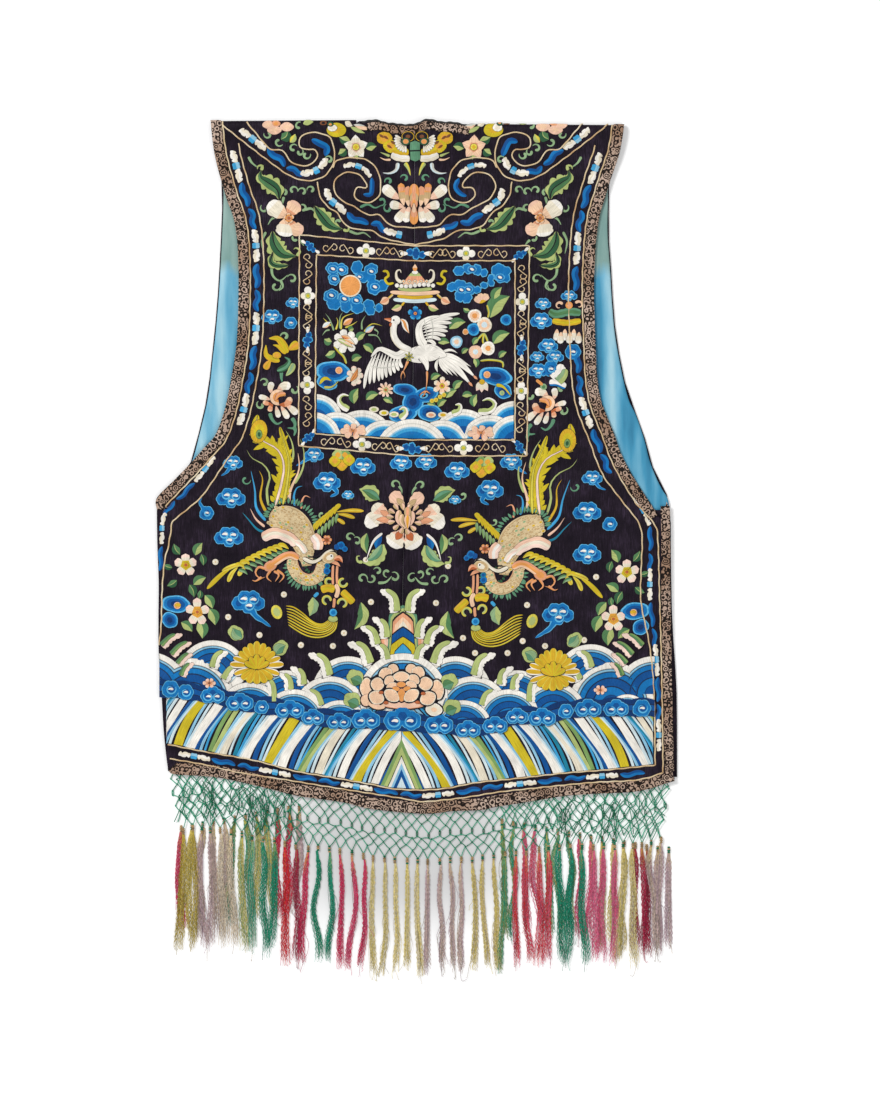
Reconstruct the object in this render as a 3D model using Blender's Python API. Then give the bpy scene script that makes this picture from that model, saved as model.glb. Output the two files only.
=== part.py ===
# An embroidered sleeveless waistcoat with a netted fringe, laid flat with its back up.
# Each cut and sewn piece is one closed solid. World frame in metres: +Z up, +Y towards the
# shoulders, +X to the right of the laid garment, the surface it lies on at z = 0.
# Sizes below are in millimetres, and MM turns them to metres as the meshes are made.

import math

import bpy

for thing in list(bpy.data.objects):
    bpy.data.objects.remove(thing, do_unlink=True)

MM = 0.001

# Driving dimensions
WALL = 2.0              # satin, interlining and lining of a panel together
LINING_WALL = 1.0       # the lining's own layer, where it shows in an armhole
TRIM_WALL = 1.0         # woven ribbon
SEAM_GAP = 0.3          # between neighbouring pieces
FOLD_RADIUS = 3.6       # of the panel's middle, round the shoulder
BACK_REST = 4.6         # height of the back's middle where it lies over the fronts
RISE_RUN = 60.0         # over this length it sinks from the fold to that height
OPENING_SAG = 2.0       # how far the back sinks between the two fronts
SAG_RUN = 50.0          # over this width, from each front's edge
SAG_START = 30.0        # and from this far below the fold
SAG_FULL = 120.0
RIBBON = 13.0           # width of the ribbon on armholes and sides
HEM_RIBBON = 15.0       # width of the ribbon along the hem
BINDING = 2.5           # width of the black neck binding
BINDING_WALL = 2.6
LINING_TUCK = 12.0      # how far the lining reaches in under the back's edge
LINING_INSET = 1.5      # from the front's own edge to the lining's

COLUMNS = 12            # across a half, from the centre-back seam to the edge ribbon
NECK_COLUMNS = 3        # of these, the ones that end at the neck
FOLD_STEPS = 4          # facets round the shoulder

MESH_PITCH = 13.72      # between neighbouring knots of the net
MESH_LEFT = -303.0      # first knot of the back's net
MESH_COUNT = 46         # knots across, one tassel under each
MESH_CORD = 0.95        # half diagonal of a knot, which sets the cord's width
NET_WALL = 1.2
NET_HEADER = 2.5        # the netting's foundation cord along the hem
NET_DROP = 58.0         # from hem to tassel knots at the centre back
NET_DROP_SIDE = 10.0    # how much longer the net hangs at the side seams

TASSEL_WIDTH = 4.6
TASSEL_WALL = 1.8
TASSEL_STRIP = 3.0      # height of the strip that the tassels' roots are fused into
TASSEL_LENGTH = 138.0
TASSEL_REST = 0.15      # the fronts' tassels lie this far above the surface
BACK_NET_REST = 3.2     # height of the middle of the back's net over the fronts' fringes

# Sections across the laid garment. Each row gives the height up the garment and then how far
# right of the frame's centre its edges lie: the back's left edge, the centre-back seam, the
# back's right edge, and the outer edges of the left and right fronts under it.
SECTION_COLUMNS = ("y", "back_left", "seam", "back_right", "front_left", "front_right")
SECTIONS = (
    (519, -258, -4, 257, -256, 254),
    (496, -255, -4, 252, -251, 249),
    (454, -245, -4, 239, -245, 240),
    (413, -231, -4, 228, -245, 238),
    (368, -225, -4, 222, -247, 240),
    (307, -224, -5, 220, -251, 244),
    (246, -228, -6, 222, -256, 251),
    (208, -234, -6, 224, -261, 258),
    (172, -241, -7, 233, -266, 272),
    (141, -252, -8, 245, -274, 282),
    (124, -266, -9, 251, -279, 287),
    (103, -285, -11, 260, -285, 292),
    (83, -302, -12, 271, -296, 301),
    (62, -326, -15, 285, -312, 312),
    (46, -326, -16, 296, -321, 316),
    (37, -326, -18, 314, -322, 316),
    (-43, -324, -19, 315, -321, 317),
    (-127, -324, -19, 316, -321, 320),
    (-192, -320, -20, 318, -318, 324),
    (-248, -315, -20, 319, -312, 324),
)
UNDERARM_Y = 46         # the section where the armhole ribbon meets the side
HEM_LEVEL = -286.0      # sections bow down to the hem's curve from this height
FOLD_LEVEL = 524.5      # and up to the shoulder fold from this one

# Curves along the garment, as (x, y) rows from left to right.
SHOULDER_FOLD = ((-259, 530.6), (-70, 531.9), (68, 526.9), (258, 525.6))
NECK_EDGE = ((-70, 533.1), (-51, 534.4), (-36, 530.6), (-22, 529.4), (-4, 529.4),
             (10, 535.6), (25, 533.1), (50, 530.6), (68, 526.2))
BACK_HEM = ((-314, -279.4), (-306, -284.4), (-249, -288.1), (-210, -296.9), (-149, -311.9),
            (-95, -319.4), (-65, -326.9), (-36, -330.6), (16, -333.9), (45, -330.6),
            (78, -329.4), (96, -325.6), (128, -320.6), (182, -311.9), (266, -306.9),
            (311, -295.6), (320, -292.5))
FRONT_HEM = {-1: ((-314, -282), (-141, -258)), 1: ((96, -271), (324, -289))}
FRONT_KNOTS = {-1: ((-314, -350), (-172, -324), (-141, -319)),
               1: ((96, -337), (296, -372), (324, -374))}

# Straight edges of the front opening, from the neck to the hem.
OPENING_TOP = {-1: -70.0, 1: 67.0}
OPENING_HEM = {-1: -141.0, 1: 96.0}

# Where the fronts' lining shows: its lowest and highest section in each armhole, and how far
# in from the edge its last section ends.
LINING_SPAN = {-1: (103, 454), 1: (46, 454)}
LINING_END_INSET = {-1: 0.0, 1: 8.0}

# The fronts' nets and tassels, which lie under the back's: ends of each net, place of its
# first tassel and number of tassels.
FRONT_NET_SPAN = {-1: (-308.0, -143.0), 1: (98.0, 321.0)}
FRONT_FIRST_TASSEL = {-1: -296.0, 1: 105.0}
FRONT_TASSELS = {-1: 12, 1: 16}

# Soft folds of the back: where the middle of each one is, which way it runs in degrees from
# the X axis, its length, half width and height.
SOFT_FOLDS = (
    # x, y, heading, length, half_width, height
    (-4, 190, 90, 300, 14, 0.9),
    (-190, 60, -58, 190, 17, 1.6),
    (186, 40, -122, 200, 17, 1.5),
    (-262, -90, 84, 190, 15, 1.3),
    (262, -110, 96, 200, 15, 1.2),
    (-120, -215, 66, 150, 18, 1.2),
    (128, -220, 112, 150, 18, 1.3),
    (-92, 265, 72, 170, 15, 1.0),
    (96, 262, 106, 160, 15, 0.9),
    (10, -60, 178, 230, 16, 1.1),
)

# The net: how far each row of knots hangs below the hem, as a share of the net's height,
# and how much of that height the knot itself takes. The fourth row has the doubled cords.
NET_ROWS = (0.0, 0.124, 0.256, 0.404, 0.556, 0.686, 0.802, 1.0)
DOUBLED_ROW = 3
DOUBLED_HEIGHT = 5.7


def surface(name, rgb, roughness):
    material = bpy.data.materials.new(name)
    material.use_nodes = True
    shader = material.node_tree.nodes["Principled BSDF"]
    shader.inputs["Base Color"].default_value = (*rgb, 1.0)
    shader.inputs["Roughness"].default_value = roughness
    return material


SATIN = surface("aubergine_silk_satin", (0.024, 0.018, 0.026), 0.45)
BROCADE = surface("woven_ribbon", (0.30, 0.21, 0.15), 0.7)
LINING = surface("blue_silk_lining", (0.20, 0.48, 0.66), 0.5)
BINDING_BLACK = surface("black_binding", (0.012, 0.012, 0.014), 0.6)
NET_GREEN = surface("green_silk_net", (0.03, 0.33, 0.20), 0.6)
TASSEL_SILK = surface("tassel_silk", (0.55, 0.22, 0.20), 0.6)


def ease(share):
    share = min(max(share, 0.0), 1.0)
    return share * share * (3.0 - 2.0 * share)


def along(curve, x):
    # straight between the curve's rows, and level beyond its ends
    if x <= curve[0][0]:
        return curve[0][1]
    for (x0, y0), (x1, y1) in zip(curve, curve[1:]):
        if x <= x1:
            return y0 + (y1 - y0) * (x - x0) / (x1 - x0)
    return curve[-1][1]


def section_value(name, y):
    # the value of one section column at a height between the rows
    column = SECTION_COLUMNS.index(name)
    rising = [(row[0], row[column]) for row in reversed(SECTIONS)]
    return along(rising, y)


def opening_edge(side, y):
    top, hem = SECTIONS[0][0], FRONT_HEM[side][0][1]
    share = (top - y) / (top - hem)
    return OPENING_TOP[side] + (OPENING_HEM[side] - OPENING_TOP[side]) * share


def fold_line(x):
    # the back leaves the shoulder fold level with the fold's centre
    return along(SHOULDER_FOLD, x) - FOLD_RADIUS


def section_bow(x, y, hem):
    # how far a section's line leaves its level height, to meet the hem and the fold
    down = min(max((FOLD_LEVEL - y) / (FOLD_LEVEL - SECTIONS[-1][0]), 0.0), 1.0)
    to_hem = (along(hem, x) - HEM_LEVEL) * down ** 3
    return to_hem + (fold_line(x) - FOLD_LEVEL) * (1.0 - down) ** 3


def between_fronts(x, y):
    # 0 over the fronts, 1 well inside the gap between them
    left = ease((x - opening_edge(-1, y)) / SAG_RUN)
    return left * ease((opening_edge(1, y) - x) / SAG_RUN)


def back_height(x, y):
    # middle of the back's wall: risen at the shoulders, sunk between the fronts, soft folds
    from_fold = fold_line(x) - y
    rise = (WALL / 2 + 2 * FOLD_RADIUS - BACK_REST) * (1.0 - ease(from_fold / RISE_RUN))
    below = ease((from_fold - SAG_START) / (SAG_FULL - SAG_START))
    sag = OPENING_SAG * between_fronts(x, y) * below
    lift = 0.0
    for fx, fy, heading, length, half_width, height in SOFT_FOLDS:
        turn = math.radians(heading)
        run = (x - fx) * math.cos(turn) + (y - fy) * math.sin(turn)
        off = -(x - fx) * math.sin(turn) + (y - fy) * math.cos(turn)
        lift += height * math.exp(-(off / half_width) ** 2 - (2.2 * run / length) ** 4)
    return BACK_REST + rise - sag + lift * ease(from_fold / RISE_RUN)


def add_object(name, material, points, faces):
    mesh = bpy.data.meshes.new(name)
    mesh.from_pydata([tuple(c * MM for c in p) for p in points], [], faces)
    mesh.materials.append(material)
    mesh.validate()
    mesh.update()
    mesh.shade_smooth()
    mesh.set_sharp_from_angle(angle=math.radians(40.0))
    thing = bpy.data.objects.new(name, mesh)
    bpy.context.collection.objects.link(thing)
    return thing


def closed_wall(name, material, outer, inner, cells):
    # One body from two skins that share their cells, joined along the cells' free edges.
    # Every cell is cut into triangles the same way, so pieces laid on each other stay apart.
    triangles = []
    for cell in cells:
        triangles += [(cell[0], cell[k], cell[k + 1]) for k in range(1, len(cell) - 1)]
    keys = sorted({key for t in triangles for key in t})
    index = {key: i for i, key in enumerate(keys)}
    count = len(keys)
    points = [outer[key] for key in keys] + [inner[key] for key in keys]
    faces = [tuple(index[key] for key in t) for t in triangles]
    edges = {(t[k], t[(k + 1) % 3]) for t in faces for k in range(3)}
    under = [tuple(count + i for i in reversed(t)) for t in faces]
    rim = [(b, a, count + a, count + b) for a, b in sorted(edges) if (b, a) not in edges]
    return add_object(name, material, points, faces + under + rim)


def skin(grid, keys, lift):
    # the grid's points moved out from the middle of the wall along its own direction
    return {key: (grid[key][0], grid[key][1] + grid[key][3] * lift, grid[key][2] + grid[key][4] * lift)
            for key in keys}


def ribbon_width(side, row):
    # measured level across the garment, so it widens where the edge runs at a slant
    column = SECTION_COLUMNS.index("back_left" if side < 0 else "back_right")
    above, below = SECTIONS[max(row - 1, 0)], SECTIONS[min(row + 1, len(SECTIONS) - 1)]
    slope = (above[column] - below[column]) / (above[0] - below[0])
    return RIBBON * math.sqrt(1.0 + min(abs(slope), 1.0) ** 2)


def columns_between(inner, edge, band, count, offset):
    # even columns up to the ribbon's inner edge, then the ribbon's own column
    spread = edge - math.copysign(band, edge) - inner
    xs = [inner + spread * k / (count - 1 - offset) for k in range(count - offset)]
    return xs + [edge]


def half_grid(side):
    # Points of one half as cut, in rows from the back's hem up over the shoulder and down the
    # front. A key is (row, column); a point is x, y, z and the wall's outward direction.
    back_name, front_name = ("back_left", "front_left") if side < 0 else ("back_right", "front_right")
    back_rows, front_rows = [], []
    for number, row in enumerate((SECTIONS[0],) + SECTIONS):
        value = dict(zip(SECTION_COLUMNS, row))
        band = ribbon_width(side, max(number - 1, 0))
        seam = value["seam"] + side * SEAM_GAP / 2
        xs = columns_between(seam, value[back_name], band, COLUMNS, 0)
        points = []
        for j, x in enumerate(xs):
            if number == 0 and j < NECK_COLUMNS:
                y = along(NECK_EDGE, x) - BINDING - SEAM_GAP
            elif number == 0:
                y = fold_line(x)
            else:
                y = value["y"] + section_bow(x, value["y"], BACK_HEM)
            points.append((x, y, back_height(x, y), 0.0, 1.0))
        back_rows.append(points)
        front_edge = value[front_name]
        xs = columns_between(opening_edge(side, value["y"]), front_edge, band, COLUMNS, NECK_COLUMNS)
        points = []
        for x in xs:
            bow = section_bow(x, value["y"], FRONT_HEM[side])
            y = fold_line(x) if number == 0 else value["y"] + bow
            points.append((x, y, WALL / 2, 0.0, -1.0))
        front_rows.append(points)
    for lift_up in (HEM_RIBBON, 0.0):
        xs = [p[0] for p in back_rows[-1]]
        ys = [along(BACK_HEM, x) + lift_up for x in xs]
        back_rows.append([(x, y, back_height(x, y), 0.0, 1.0) for x, y in zip(xs, ys)])
    front_rows.append([(p[0], along(FRONT_HEM[side], p[0]), WALL / 2, 0.0, -1.0)
                       for p in front_rows[-1]])
    grid, row_number = {}, 0
    for points in reversed(back_rows):
        grid.update({(row_number, j): p for j, p in enumerate(points)})
        row_number += 1
    over, under = back_rows[0][NECK_COLUMNS:], front_rows[0]
    for step in range(1, FOLD_STEPS):
        turn = math.pi * step / FOLD_STEPS
        share = step / FOLD_STEPS
        for j, (p, q) in enumerate(zip(over, under)):
            x = p[0] + (q[0] - p[0]) * share
            y = p[1] + (q[1] - p[1]) * share + FOLD_RADIUS * math.sin(turn)
            z = WALL / 2 + FOLD_RADIUS + FOLD_RADIUS * math.cos(turn)
            grid[(row_number, j + NECK_COLUMNS)] = (x, y, z, math.sin(turn), math.cos(turn))
        row_number += 1
    for points in front_rows:
        grid.update({(row_number, j + NECK_COLUMNS): p for j, p in enumerate(points)})
        row_number += 1
    return grid, len(back_rows)


def grid_cells(grid, side, rows=None, columns=None):
    # cells turned so that their outer faces look out of the cloth
    cells = []
    for row, column in sorted(grid):
        if rows is not None and row not in rows or columns is not None and column not in columns:
            continue
        corners = [(row, column), (row, column + 1), (row + 1, column + 1), (row + 1, column)]
        if all(corner in grid for corner in corners):
            cells.append(corners if side > 0 else [corners[0], corners[3], corners[2], corners[1]])
    return cells


def laid_ribbon(name, grid, cells, moved=None):
    # ribbon made from its panel's own points, moved out by the seam gap
    keys = {key for cell in cells for key in cell}
    shifted = dict(grid)
    for key, (dx, dy) in (moved or {}).items():
        x, y, z, ny, nz = grid[key]
        shifted[key] = (x + dx, y + dy, z, ny, nz)
    low = WALL / 2 + SEAM_GAP
    return closed_wall(name, BROCADE, skin(shifted, keys, low + TRIM_WALL),
                       skin(shifted, keys, low), cells)


def both_halves(left, right, rows):
    # the chosen rows of both halves as one grid, with columns counted from the seam
    joined = {}
    for grid, side in ((left, -1), (right, 1)):
        for (row, column), point in grid.items():
            if row in rows and column > 0:
                joined[(row, side * column)] = point
    for row in rows:
        a, b = left[(row, 0)], right[(row, 0)]
        joined[(row, 0)] = tuple((u + v) / 2 for u, v in zip(a, b))
    return joined


def make_panels_and_ribbons():
    halves = {}
    for side, word in ((-1, "left"), (1, "right")):
        grid, back_count = half_grid(side)
        halves[side] = grid
        cells = grid_cells(grid, side)
        closed_wall(f"half_{word}", SATIN, skin(grid, grid, WALL / 2), skin(grid, grid, -WALL / 2), cells)
    top = back_count - 1
    ribbon_column = COLUMNS - 1
    # sections count down from the top, rows count up from the hem
    underarm = top - 1 - [row[0] for row in SECTIONS].index(UNDERARM_Y)
    for side, word in ((-1, "left"), (1, "right")):
        rows = range(underarm, top + FOLD_STEPS // 2)
        laid_ribbon(f"trim_armhole_{word}", halves[side],
                    grid_cells(halves[side], side, rows, (ribbon_column,)))
    ends = {(1, column): (0.0, SEAM_GAP) for column in (ribbon_column, COLUMNS)}
    ends.update({(underarm, column): (0.0, -SEAM_GAP) for column in (ribbon_column, COLUMNS)})
    laid_ribbon("trim_side_right", halves[1],
                grid_cells(halves[1], 1, range(1, underarm), (ribbon_column,)), ends)
    hem = both_halves(halves[-1], halves[1], (0, 1))
    laid_ribbon("trim_hem", hem, grid_cells(hem, 1, (0,)))
    neck = both_halves(halves[-1], halves[1], (top - 1, top))
    neck_columns = range(-NECK_COLUMNS, NECK_COLUMNS)
    laid_ribbon("trim_neck", neck, grid_cells(neck, 1, (top - 1,), neck_columns),
                {(top - 1, -NECK_COLUMNS): (SEAM_GAP, 0.0), (top, -NECK_COLUMNS): (SEAM_GAP, 0.0)})
    # the black binding stands round the neck's cut edge
    edge = {}
    for column in range(-NECK_COLUMNS, NECK_COLUMNS + 1):
        x, y, z, _, _ = neck[(top, column)]
        x -= math.copysign(2 * SEAM_GAP, column) if abs(column) == NECK_COLUMNS else 0.0
        rise = BINDING if abs(column) < NECK_COLUMNS else BINDING / 2
        edge[(0, column)] = (x, y + SEAM_GAP, z, 0.0, 1.0)
        edge[(1, column)] = (x, y + SEAM_GAP + rise, z, 0.0, 1.0)
    closed_wall("binding_neck", BINDING_BLACK, skin(edge, edge, BINDING_WALL - WALL / 2),
                skin(edge, edge, -WALL / 2), grid_cells(edge, 1))
    return sorted((point[0], point[1]) for key, point in hem.items() if key[0] == 0)


def make_lining(side, word):
    # the fronts' lining, built where the armholes show it and a little way under the back
    back_name, front_name = ("back_left", "front_left") if side < 0 else ("back_right", "front_right")
    low, high = LINING_SPAN[side]
    rows = [row[0] for row in SECTIONS if low <= row[0] <= high]
    grid = {}
    for number, y in enumerate(reversed(rows)):
        inset = LINING_INSET + (LINING_END_INSET[side] if number == 0 else 0.0)
        outer = section_value(front_name, y) - side * inset
        inner = section_value(back_name, y) - side * LINING_TUCK
        for column, x in enumerate((inner, (inner + outer) / 2, outer)):
            grid[(number, column)] = (x, y, WALL + SEAM_GAP, 0.0, 1.0)
    closed_wall(f"lining_{word}", LINING, skin(grid, grid, LINING_WALL), skin(grid, grid, 0.0),
                grid_cells(grid, side))


def net_height(x):
    # middle of the back's net and fringe: over the fronts' fringes at the sides, low between
    return BACK_NET_REST - OPENING_SAG * between_fronts(x, along(BACK_HEM, x))


def net_drop(x):
    return NET_DROP + NET_DROP_SIDE * (x / 320.0) ** 2


def make_back_net(hem_line):
    # A lattice of square-cut cords. Odd rows hang under the tassel places, even rows between
    # them; each knot is a small diamond and each cord joins the facing sides of two knots.
    points, cells = {}, []

    def place(row, k):
        x = MESH_LEFT + MESH_PITCH * (k if row % 2 else k + 0.5)
        drop = NET_HEADER + NET_ROWS[row] * (net_drop(x) - NET_HEADER)
        return x, along(hem_line, x) - SEAM_GAP - drop

    def add(key, x, y):
        points[key] = (x, y, net_height(x), 0.0, 1.0)

    for row in range(1, len(NET_ROWS)):
        for k in range(MESH_COUNT if row % 2 else MESH_COUNT - 1):
            x, y = place(row, k)
            tall = DOUBLED_HEIGHT / 2 if row == DOUBLED_ROW else 0.0
            add((row, k, "n"), x, y + tall + MESH_CORD)
            add((row, k, "s"), x, y - tall - MESH_CORD)
            for word, dx in (("w", -MESH_CORD), ("e", MESH_CORD)):
                add((row, k, word), x + dx, y + tall)
                if tall:
                    add((row, k, word + "_low"), x + dx, y - tall)
            if tall:
                cells.append([(row, k, c) for c in ("n", "w", "w_low", "s", "e_low", "e")])
            else:
                cells.append([(row, k, c) for c in ("n", "w", "s", "e")])
    for k in range(MESH_COUNT - 1):
        x, y = place(0, k)
        for word, dx, dy in (("w", -MESH_CORD, 0), ("e", MESH_CORD, 0), ("s", 0, -MESH_CORD)):
            add((0, k, word), x + dx, y + dy)
        for word, dx in (("tw", -MESH_CORD), ("te", MESH_CORD)):
            add((0, k, word), x + dx, along(hem_line, x + dx) - 2 * SEAM_GAP)
        cells.append([(0, k, c) for c in ("w", "s", "e", "te", "tw")])
        if k:
            cells.append([(0, k - 1, "e"), (0, k, "w"), (0, k, "tw"), (0, k - 1, "te")])
    for row in range(len(NET_ROWS) - 1):
        for k in range(MESH_COUNT if row % 2 else MESH_COUNT - 1):
            low = "_low" if row == DOUBLED_ROW else ""
            left, right = (k - 1, k) if row % 2 else (k, k + 1)
            if (row + 1, left, "n") in points:
                cells.append([(row, k, "w" + low), (row + 1, left, "n"), (row + 1, left, "e"), (row, k, "s")])
            if (row + 1, right, "n") in points:
                cells.append([(row, k, "s"), (row + 1, right, "w"), (row + 1, right, "n"), (row, k, "e" + low)])
    closed_wall("net_back", NET_GREEN, skin(points, points, NET_WALL / 2),
                skin(points, points, -NET_WALL / 2), cells)


def make_front_net(side, word):
    # the fronts' nets lie on the floor under the back's, and stay plain walls
    low_x, high_x = FRONT_NET_SPAN[side]
    grid, steps = {}, 8
    for k in range(steps + 1):
        x = low_x + (high_x - low_x) * k / steps
        grid[(0, k)] = (x, along(FRONT_KNOTS[side], x) + SEAM_GAP, NET_WALL / 2, 0.0, 1.0)
        grid[(1, k)] = (x, along(FRONT_HEM[side], x) - SEAM_GAP, NET_WALL / 2, 0.0, 1.0)
    closed_wall(f"net_front_{word}", NET_GREEN, skin(grid, grid, NET_WALL / 2),
                skin(grid, grid, -NET_WALL / 2), grid_cells(grid, 1))


def make_fringe(name, roots, knot_line, height, bends, length, seed):
    # A row of tassels. The strip is a box with the tassels' roots as part of its lower side;
    # each tassel is a flat skein that sways to either side and narrows at its end.
    points, faces = [], []
    half, thick = TASSEL_WIDTH / 2, TASSEL_WALL / 2

    def ring(x, y, z, wide, deep):
        start = len(points)
        points.extend([(x - wide, y, z - deep), (x + wide, y, z - deep),
                       (x + wide, y, z + deep), (x - wide, y, z + deep)])
        return start

    stations = []
    for x in roots:
        for dx in (-half, half):
            start = len(points)
            y, z = knot_line(x), height(x)
            points.extend([(x + dx, y, z - thick), (x + dx, y, z + thick),
                           (x + dx, y - TASSEL_STRIP, z - thick), (x + dx, y - TASSEL_STRIP, z + thick)])
            stations.append(start)
    for k, (a, b) in enumerate(zip(stations, stations[1:])):
        faces += [(a, a + 1, b + 1, b), (a + 1, a + 3, b + 3, b + 1), (a, b, b + 2, a + 2)]
        if k % 2:
            faces.append((a + 2, b + 2, b + 3, a + 3))
    first, last = stations[0], stations[-1]
    faces += [(first, first + 2, first + 3, first + 1), (last, last + 1, last + 3, last + 2)]
    for number, x in enumerate(roots):
        a, b = stations[2 * number], stations[2 * number + 1]
        previous = (a + 2, b + 2, b + 3, a + 3)
        sway = math.sin(2.4 * (number + seed)) * 1.6
        drift = math.sin(1.7 * number + seed) * 2.6
        reach = length * (1.0 + 0.035 * math.sin(3.1 * number + seed))
        top = knot_line(x) - TASSEL_STRIP
        for step in range(1, bends + 1):
            share = step / bends
            cx = x + drift * share + sway * math.sin(2 * math.pi * (share * 1.5 + 0.13 * number)) * share
            wide = half * (1.0 - 0.45 * share ** 2)
            start = ring(cx, top - reach * share, height(x), wide, thick * (1.0 - 0.3 * share ** 2))
            current = tuple(range(start, start + 4))
            for k in range(4):
                m = (k + 1) % 4
                faces.append((previous[k], previous[m], current[m], current[k]))
            previous = current
        faces.append(previous)
    add_object(name, TASSEL_SILK, points, faces)


def make_fringes(hem_line):
    roots = [MESH_LEFT + MESH_PITCH * k for k in range(MESH_COUNT)]
    make_fringe("fringe_back", roots,
                lambda x: along(hem_line, x) - net_drop(x) - MESH_CORD - 3 * SEAM_GAP,
                net_height, 5, TASSEL_LENGTH, 0.0)
    for side, word in ((-1, "left"), (1, "right")):
        roots = [FRONT_FIRST_TASSEL[side] + MESH_PITCH * k for k in range(FRONT_TASSELS[side])]
        make_fringe(f"fringe_front_{word}", roots,
                    lambda x, s=side: along(FRONT_KNOTS[s], x) - SEAM_GAP,
                    lambda x: TASSEL_WALL / 2 + TASSEL_REST, 4, TASSEL_LENGTH, 5.0 + side)


hem_of_back = make_panels_and_ribbons()
make_lining(-1, "left")
make_lining(1, "right")
make_back_net(hem_of_back)
make_front_net(-1, "left")
make_front_net(1, "right")
make_fringes(hem_of_back)
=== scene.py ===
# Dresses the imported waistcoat: silk satin, satin-stitch embroidery, couched cords, woven ribbon,
# lining, knotted net and tassels. The garment lies flat, back up, and is seen from above.
import math

import bmesh
import bpy
import numpy as np
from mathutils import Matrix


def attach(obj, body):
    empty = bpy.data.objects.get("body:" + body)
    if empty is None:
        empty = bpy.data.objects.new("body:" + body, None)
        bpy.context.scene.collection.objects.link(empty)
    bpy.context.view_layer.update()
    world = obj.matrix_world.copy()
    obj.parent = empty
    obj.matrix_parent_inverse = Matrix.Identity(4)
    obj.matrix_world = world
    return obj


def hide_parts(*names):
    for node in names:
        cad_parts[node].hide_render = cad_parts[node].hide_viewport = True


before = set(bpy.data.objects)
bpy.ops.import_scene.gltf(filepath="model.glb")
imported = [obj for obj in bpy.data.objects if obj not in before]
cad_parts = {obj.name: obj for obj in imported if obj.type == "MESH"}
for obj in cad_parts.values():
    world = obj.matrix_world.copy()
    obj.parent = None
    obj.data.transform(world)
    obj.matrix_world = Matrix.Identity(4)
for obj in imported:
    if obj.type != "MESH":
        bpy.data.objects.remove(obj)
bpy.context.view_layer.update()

millimetre = 0.001

# The photograph's frame, and how it sits on the garment. Places below are given in its pixels.
picture = dict(width=880, height=1100, mmPerPixel=1.25, originX=418.0, originY=546.5)

# How the cloth lies, in millimetres, as in the construction.
cloth = dict(wall=2.0, foldRadius=3.6, backRest=4.6, riseRun=60.0, sag=2.0, sagRun=50.0,
             sagStart=30.0, sagFull=120.0, seamGap=0.3, pucker=0.32)

# Soft folds of the back: middle, heading in degrees, length, half width and height.
softFolds = np.array([
    # x, y, heading, length, halfWidth, height
    (-4, 190, 90, 300, 14, 0.9), (-190, 60, -58, 190, 17, 1.6), (186, 40, -122, 200, 17, 1.5),
    (-262, -90, 84, 190, 15, 1.3), (262, -110, 96, 200, 15, 1.2), (-120, -215, 66, 150, 18, 1.2),
    (128, -220, 112, 150, 18, 1.3), (-92, 265, 72, 170, 15, 1.0), (96, 262, 106, 160, 15, 0.9),
    (10, -60, 178, 230, 16, 1.1)])

shoulderFold = np.array([(-259, 530.6), (-70, 531.9), (68, 526.9), (258, 525.6)])
openingX = dict(topLeft=-70.0, topRight=67.0, hemLeft=-141.0, hemRight=96.0, topY=519.0, hemY=-282.0,
                hemYRight=-271.0)

# Edges of the laid garment as rows of x, y in picture pixels.
leftArmhole = np.array([(211, 123.5), (213.5, 147), (217, 165), (222, 183), (227, 200), (233, 216),
                        (236.5, 234), (238, 252), (238.7, 276), (238.5, 301), (237.8, 326), (236, 350),
                        (231, 380), (225, 409), (216, 434), (205, 447), (190, 464), (174.5, 480),
                        (157, 498), (157, 510)])
rightArmhole = np.array([(623.7, 127.5), (622, 140), (619, 155), (614, 170), (609.5, 183), (605, 198),
                         (600, 214), (597, 232), (595.3, 252), (594.2, 276), (594, 301), (594.8, 326),
                         (595.7, 350), (597, 376), (600.3, 398), (605, 412), (614, 434), (622, 456),
                         (635, 480), (650, 503), (657.5, 515)])
leftSide = np.array([(157, 510), (157.5, 545), (158.8, 581), (158.6, 615), (158.7, 648), (160.2, 672),
                     (161.8, 695), (163.6, 727), (166, 752), (168.2, 769)])
rightSide = np.array([(670, 500), (670.2, 540), (670.2, 581), (670.6, 615), (671.2, 648), (671.6, 675),
                      (672.2, 700), (673, 740), (674.4, 781)])
hemEdge = np.array([(168.2, 769.5), (173.5, 774), (196, 775.5), (219, 777.5), (250, 784), (275, 790),
                    (299, 796), (342, 802), (366, 808), (389, 811), (410, 813), (431, 813.6), (454, 811),
                    (480, 810), (495, 807), (520, 803), (564, 796), (598, 793.5), (631, 792),
                    (650, 788.5), (667, 783), (674.4, 781)])
seamLine = np.array([(414.5, 118), (414.5, 260), (413.5, 350), (411, 434), (408, 480), (405.5, 505),
                     (403.5, 540), (402.5, 600), (402, 700), (402, 820)])
frontLeftEdge = np.array([(212, 123), (217, 150), (221.7, 183), (222.3, 203), (220.6, 245), (218, 292),
                          (215, 328), (211.6, 359), (207, 397), (197.5, 438), (190.3, 463), (178, 483),
                          (165, 502), (160, 520), (161, 600), (163, 690), (168, 771)])
frontRightEdge = np.array([(622, 126), (616.5, 150), (609.8, 178), (609, 204), (608.7, 234), (611, 267),
                           (613, 301), (616, 334), (622, 368), (629.5, 399), (637, 415), (645.5, 440),
                           (650.5, 460), (657, 477), (663.5, 490), (668.5, 498), (670.6, 512), (671, 560),
                           (672.2, 620), (674.6, 655), (676.8, 700), (677, 777)])


def linear(code):
    # sRGB hex to linear: c/12.92 below 0.04045, else ((c+0.055)/1.055)^2.4
    value = np.array([int(code[k:k + 2], 16) / 255.0 for k in (1, 3, 5)])
    return np.where(value <= 0.04045, value / 12.92, ((value + 0.055) / 1.055) ** 2.4)


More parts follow.
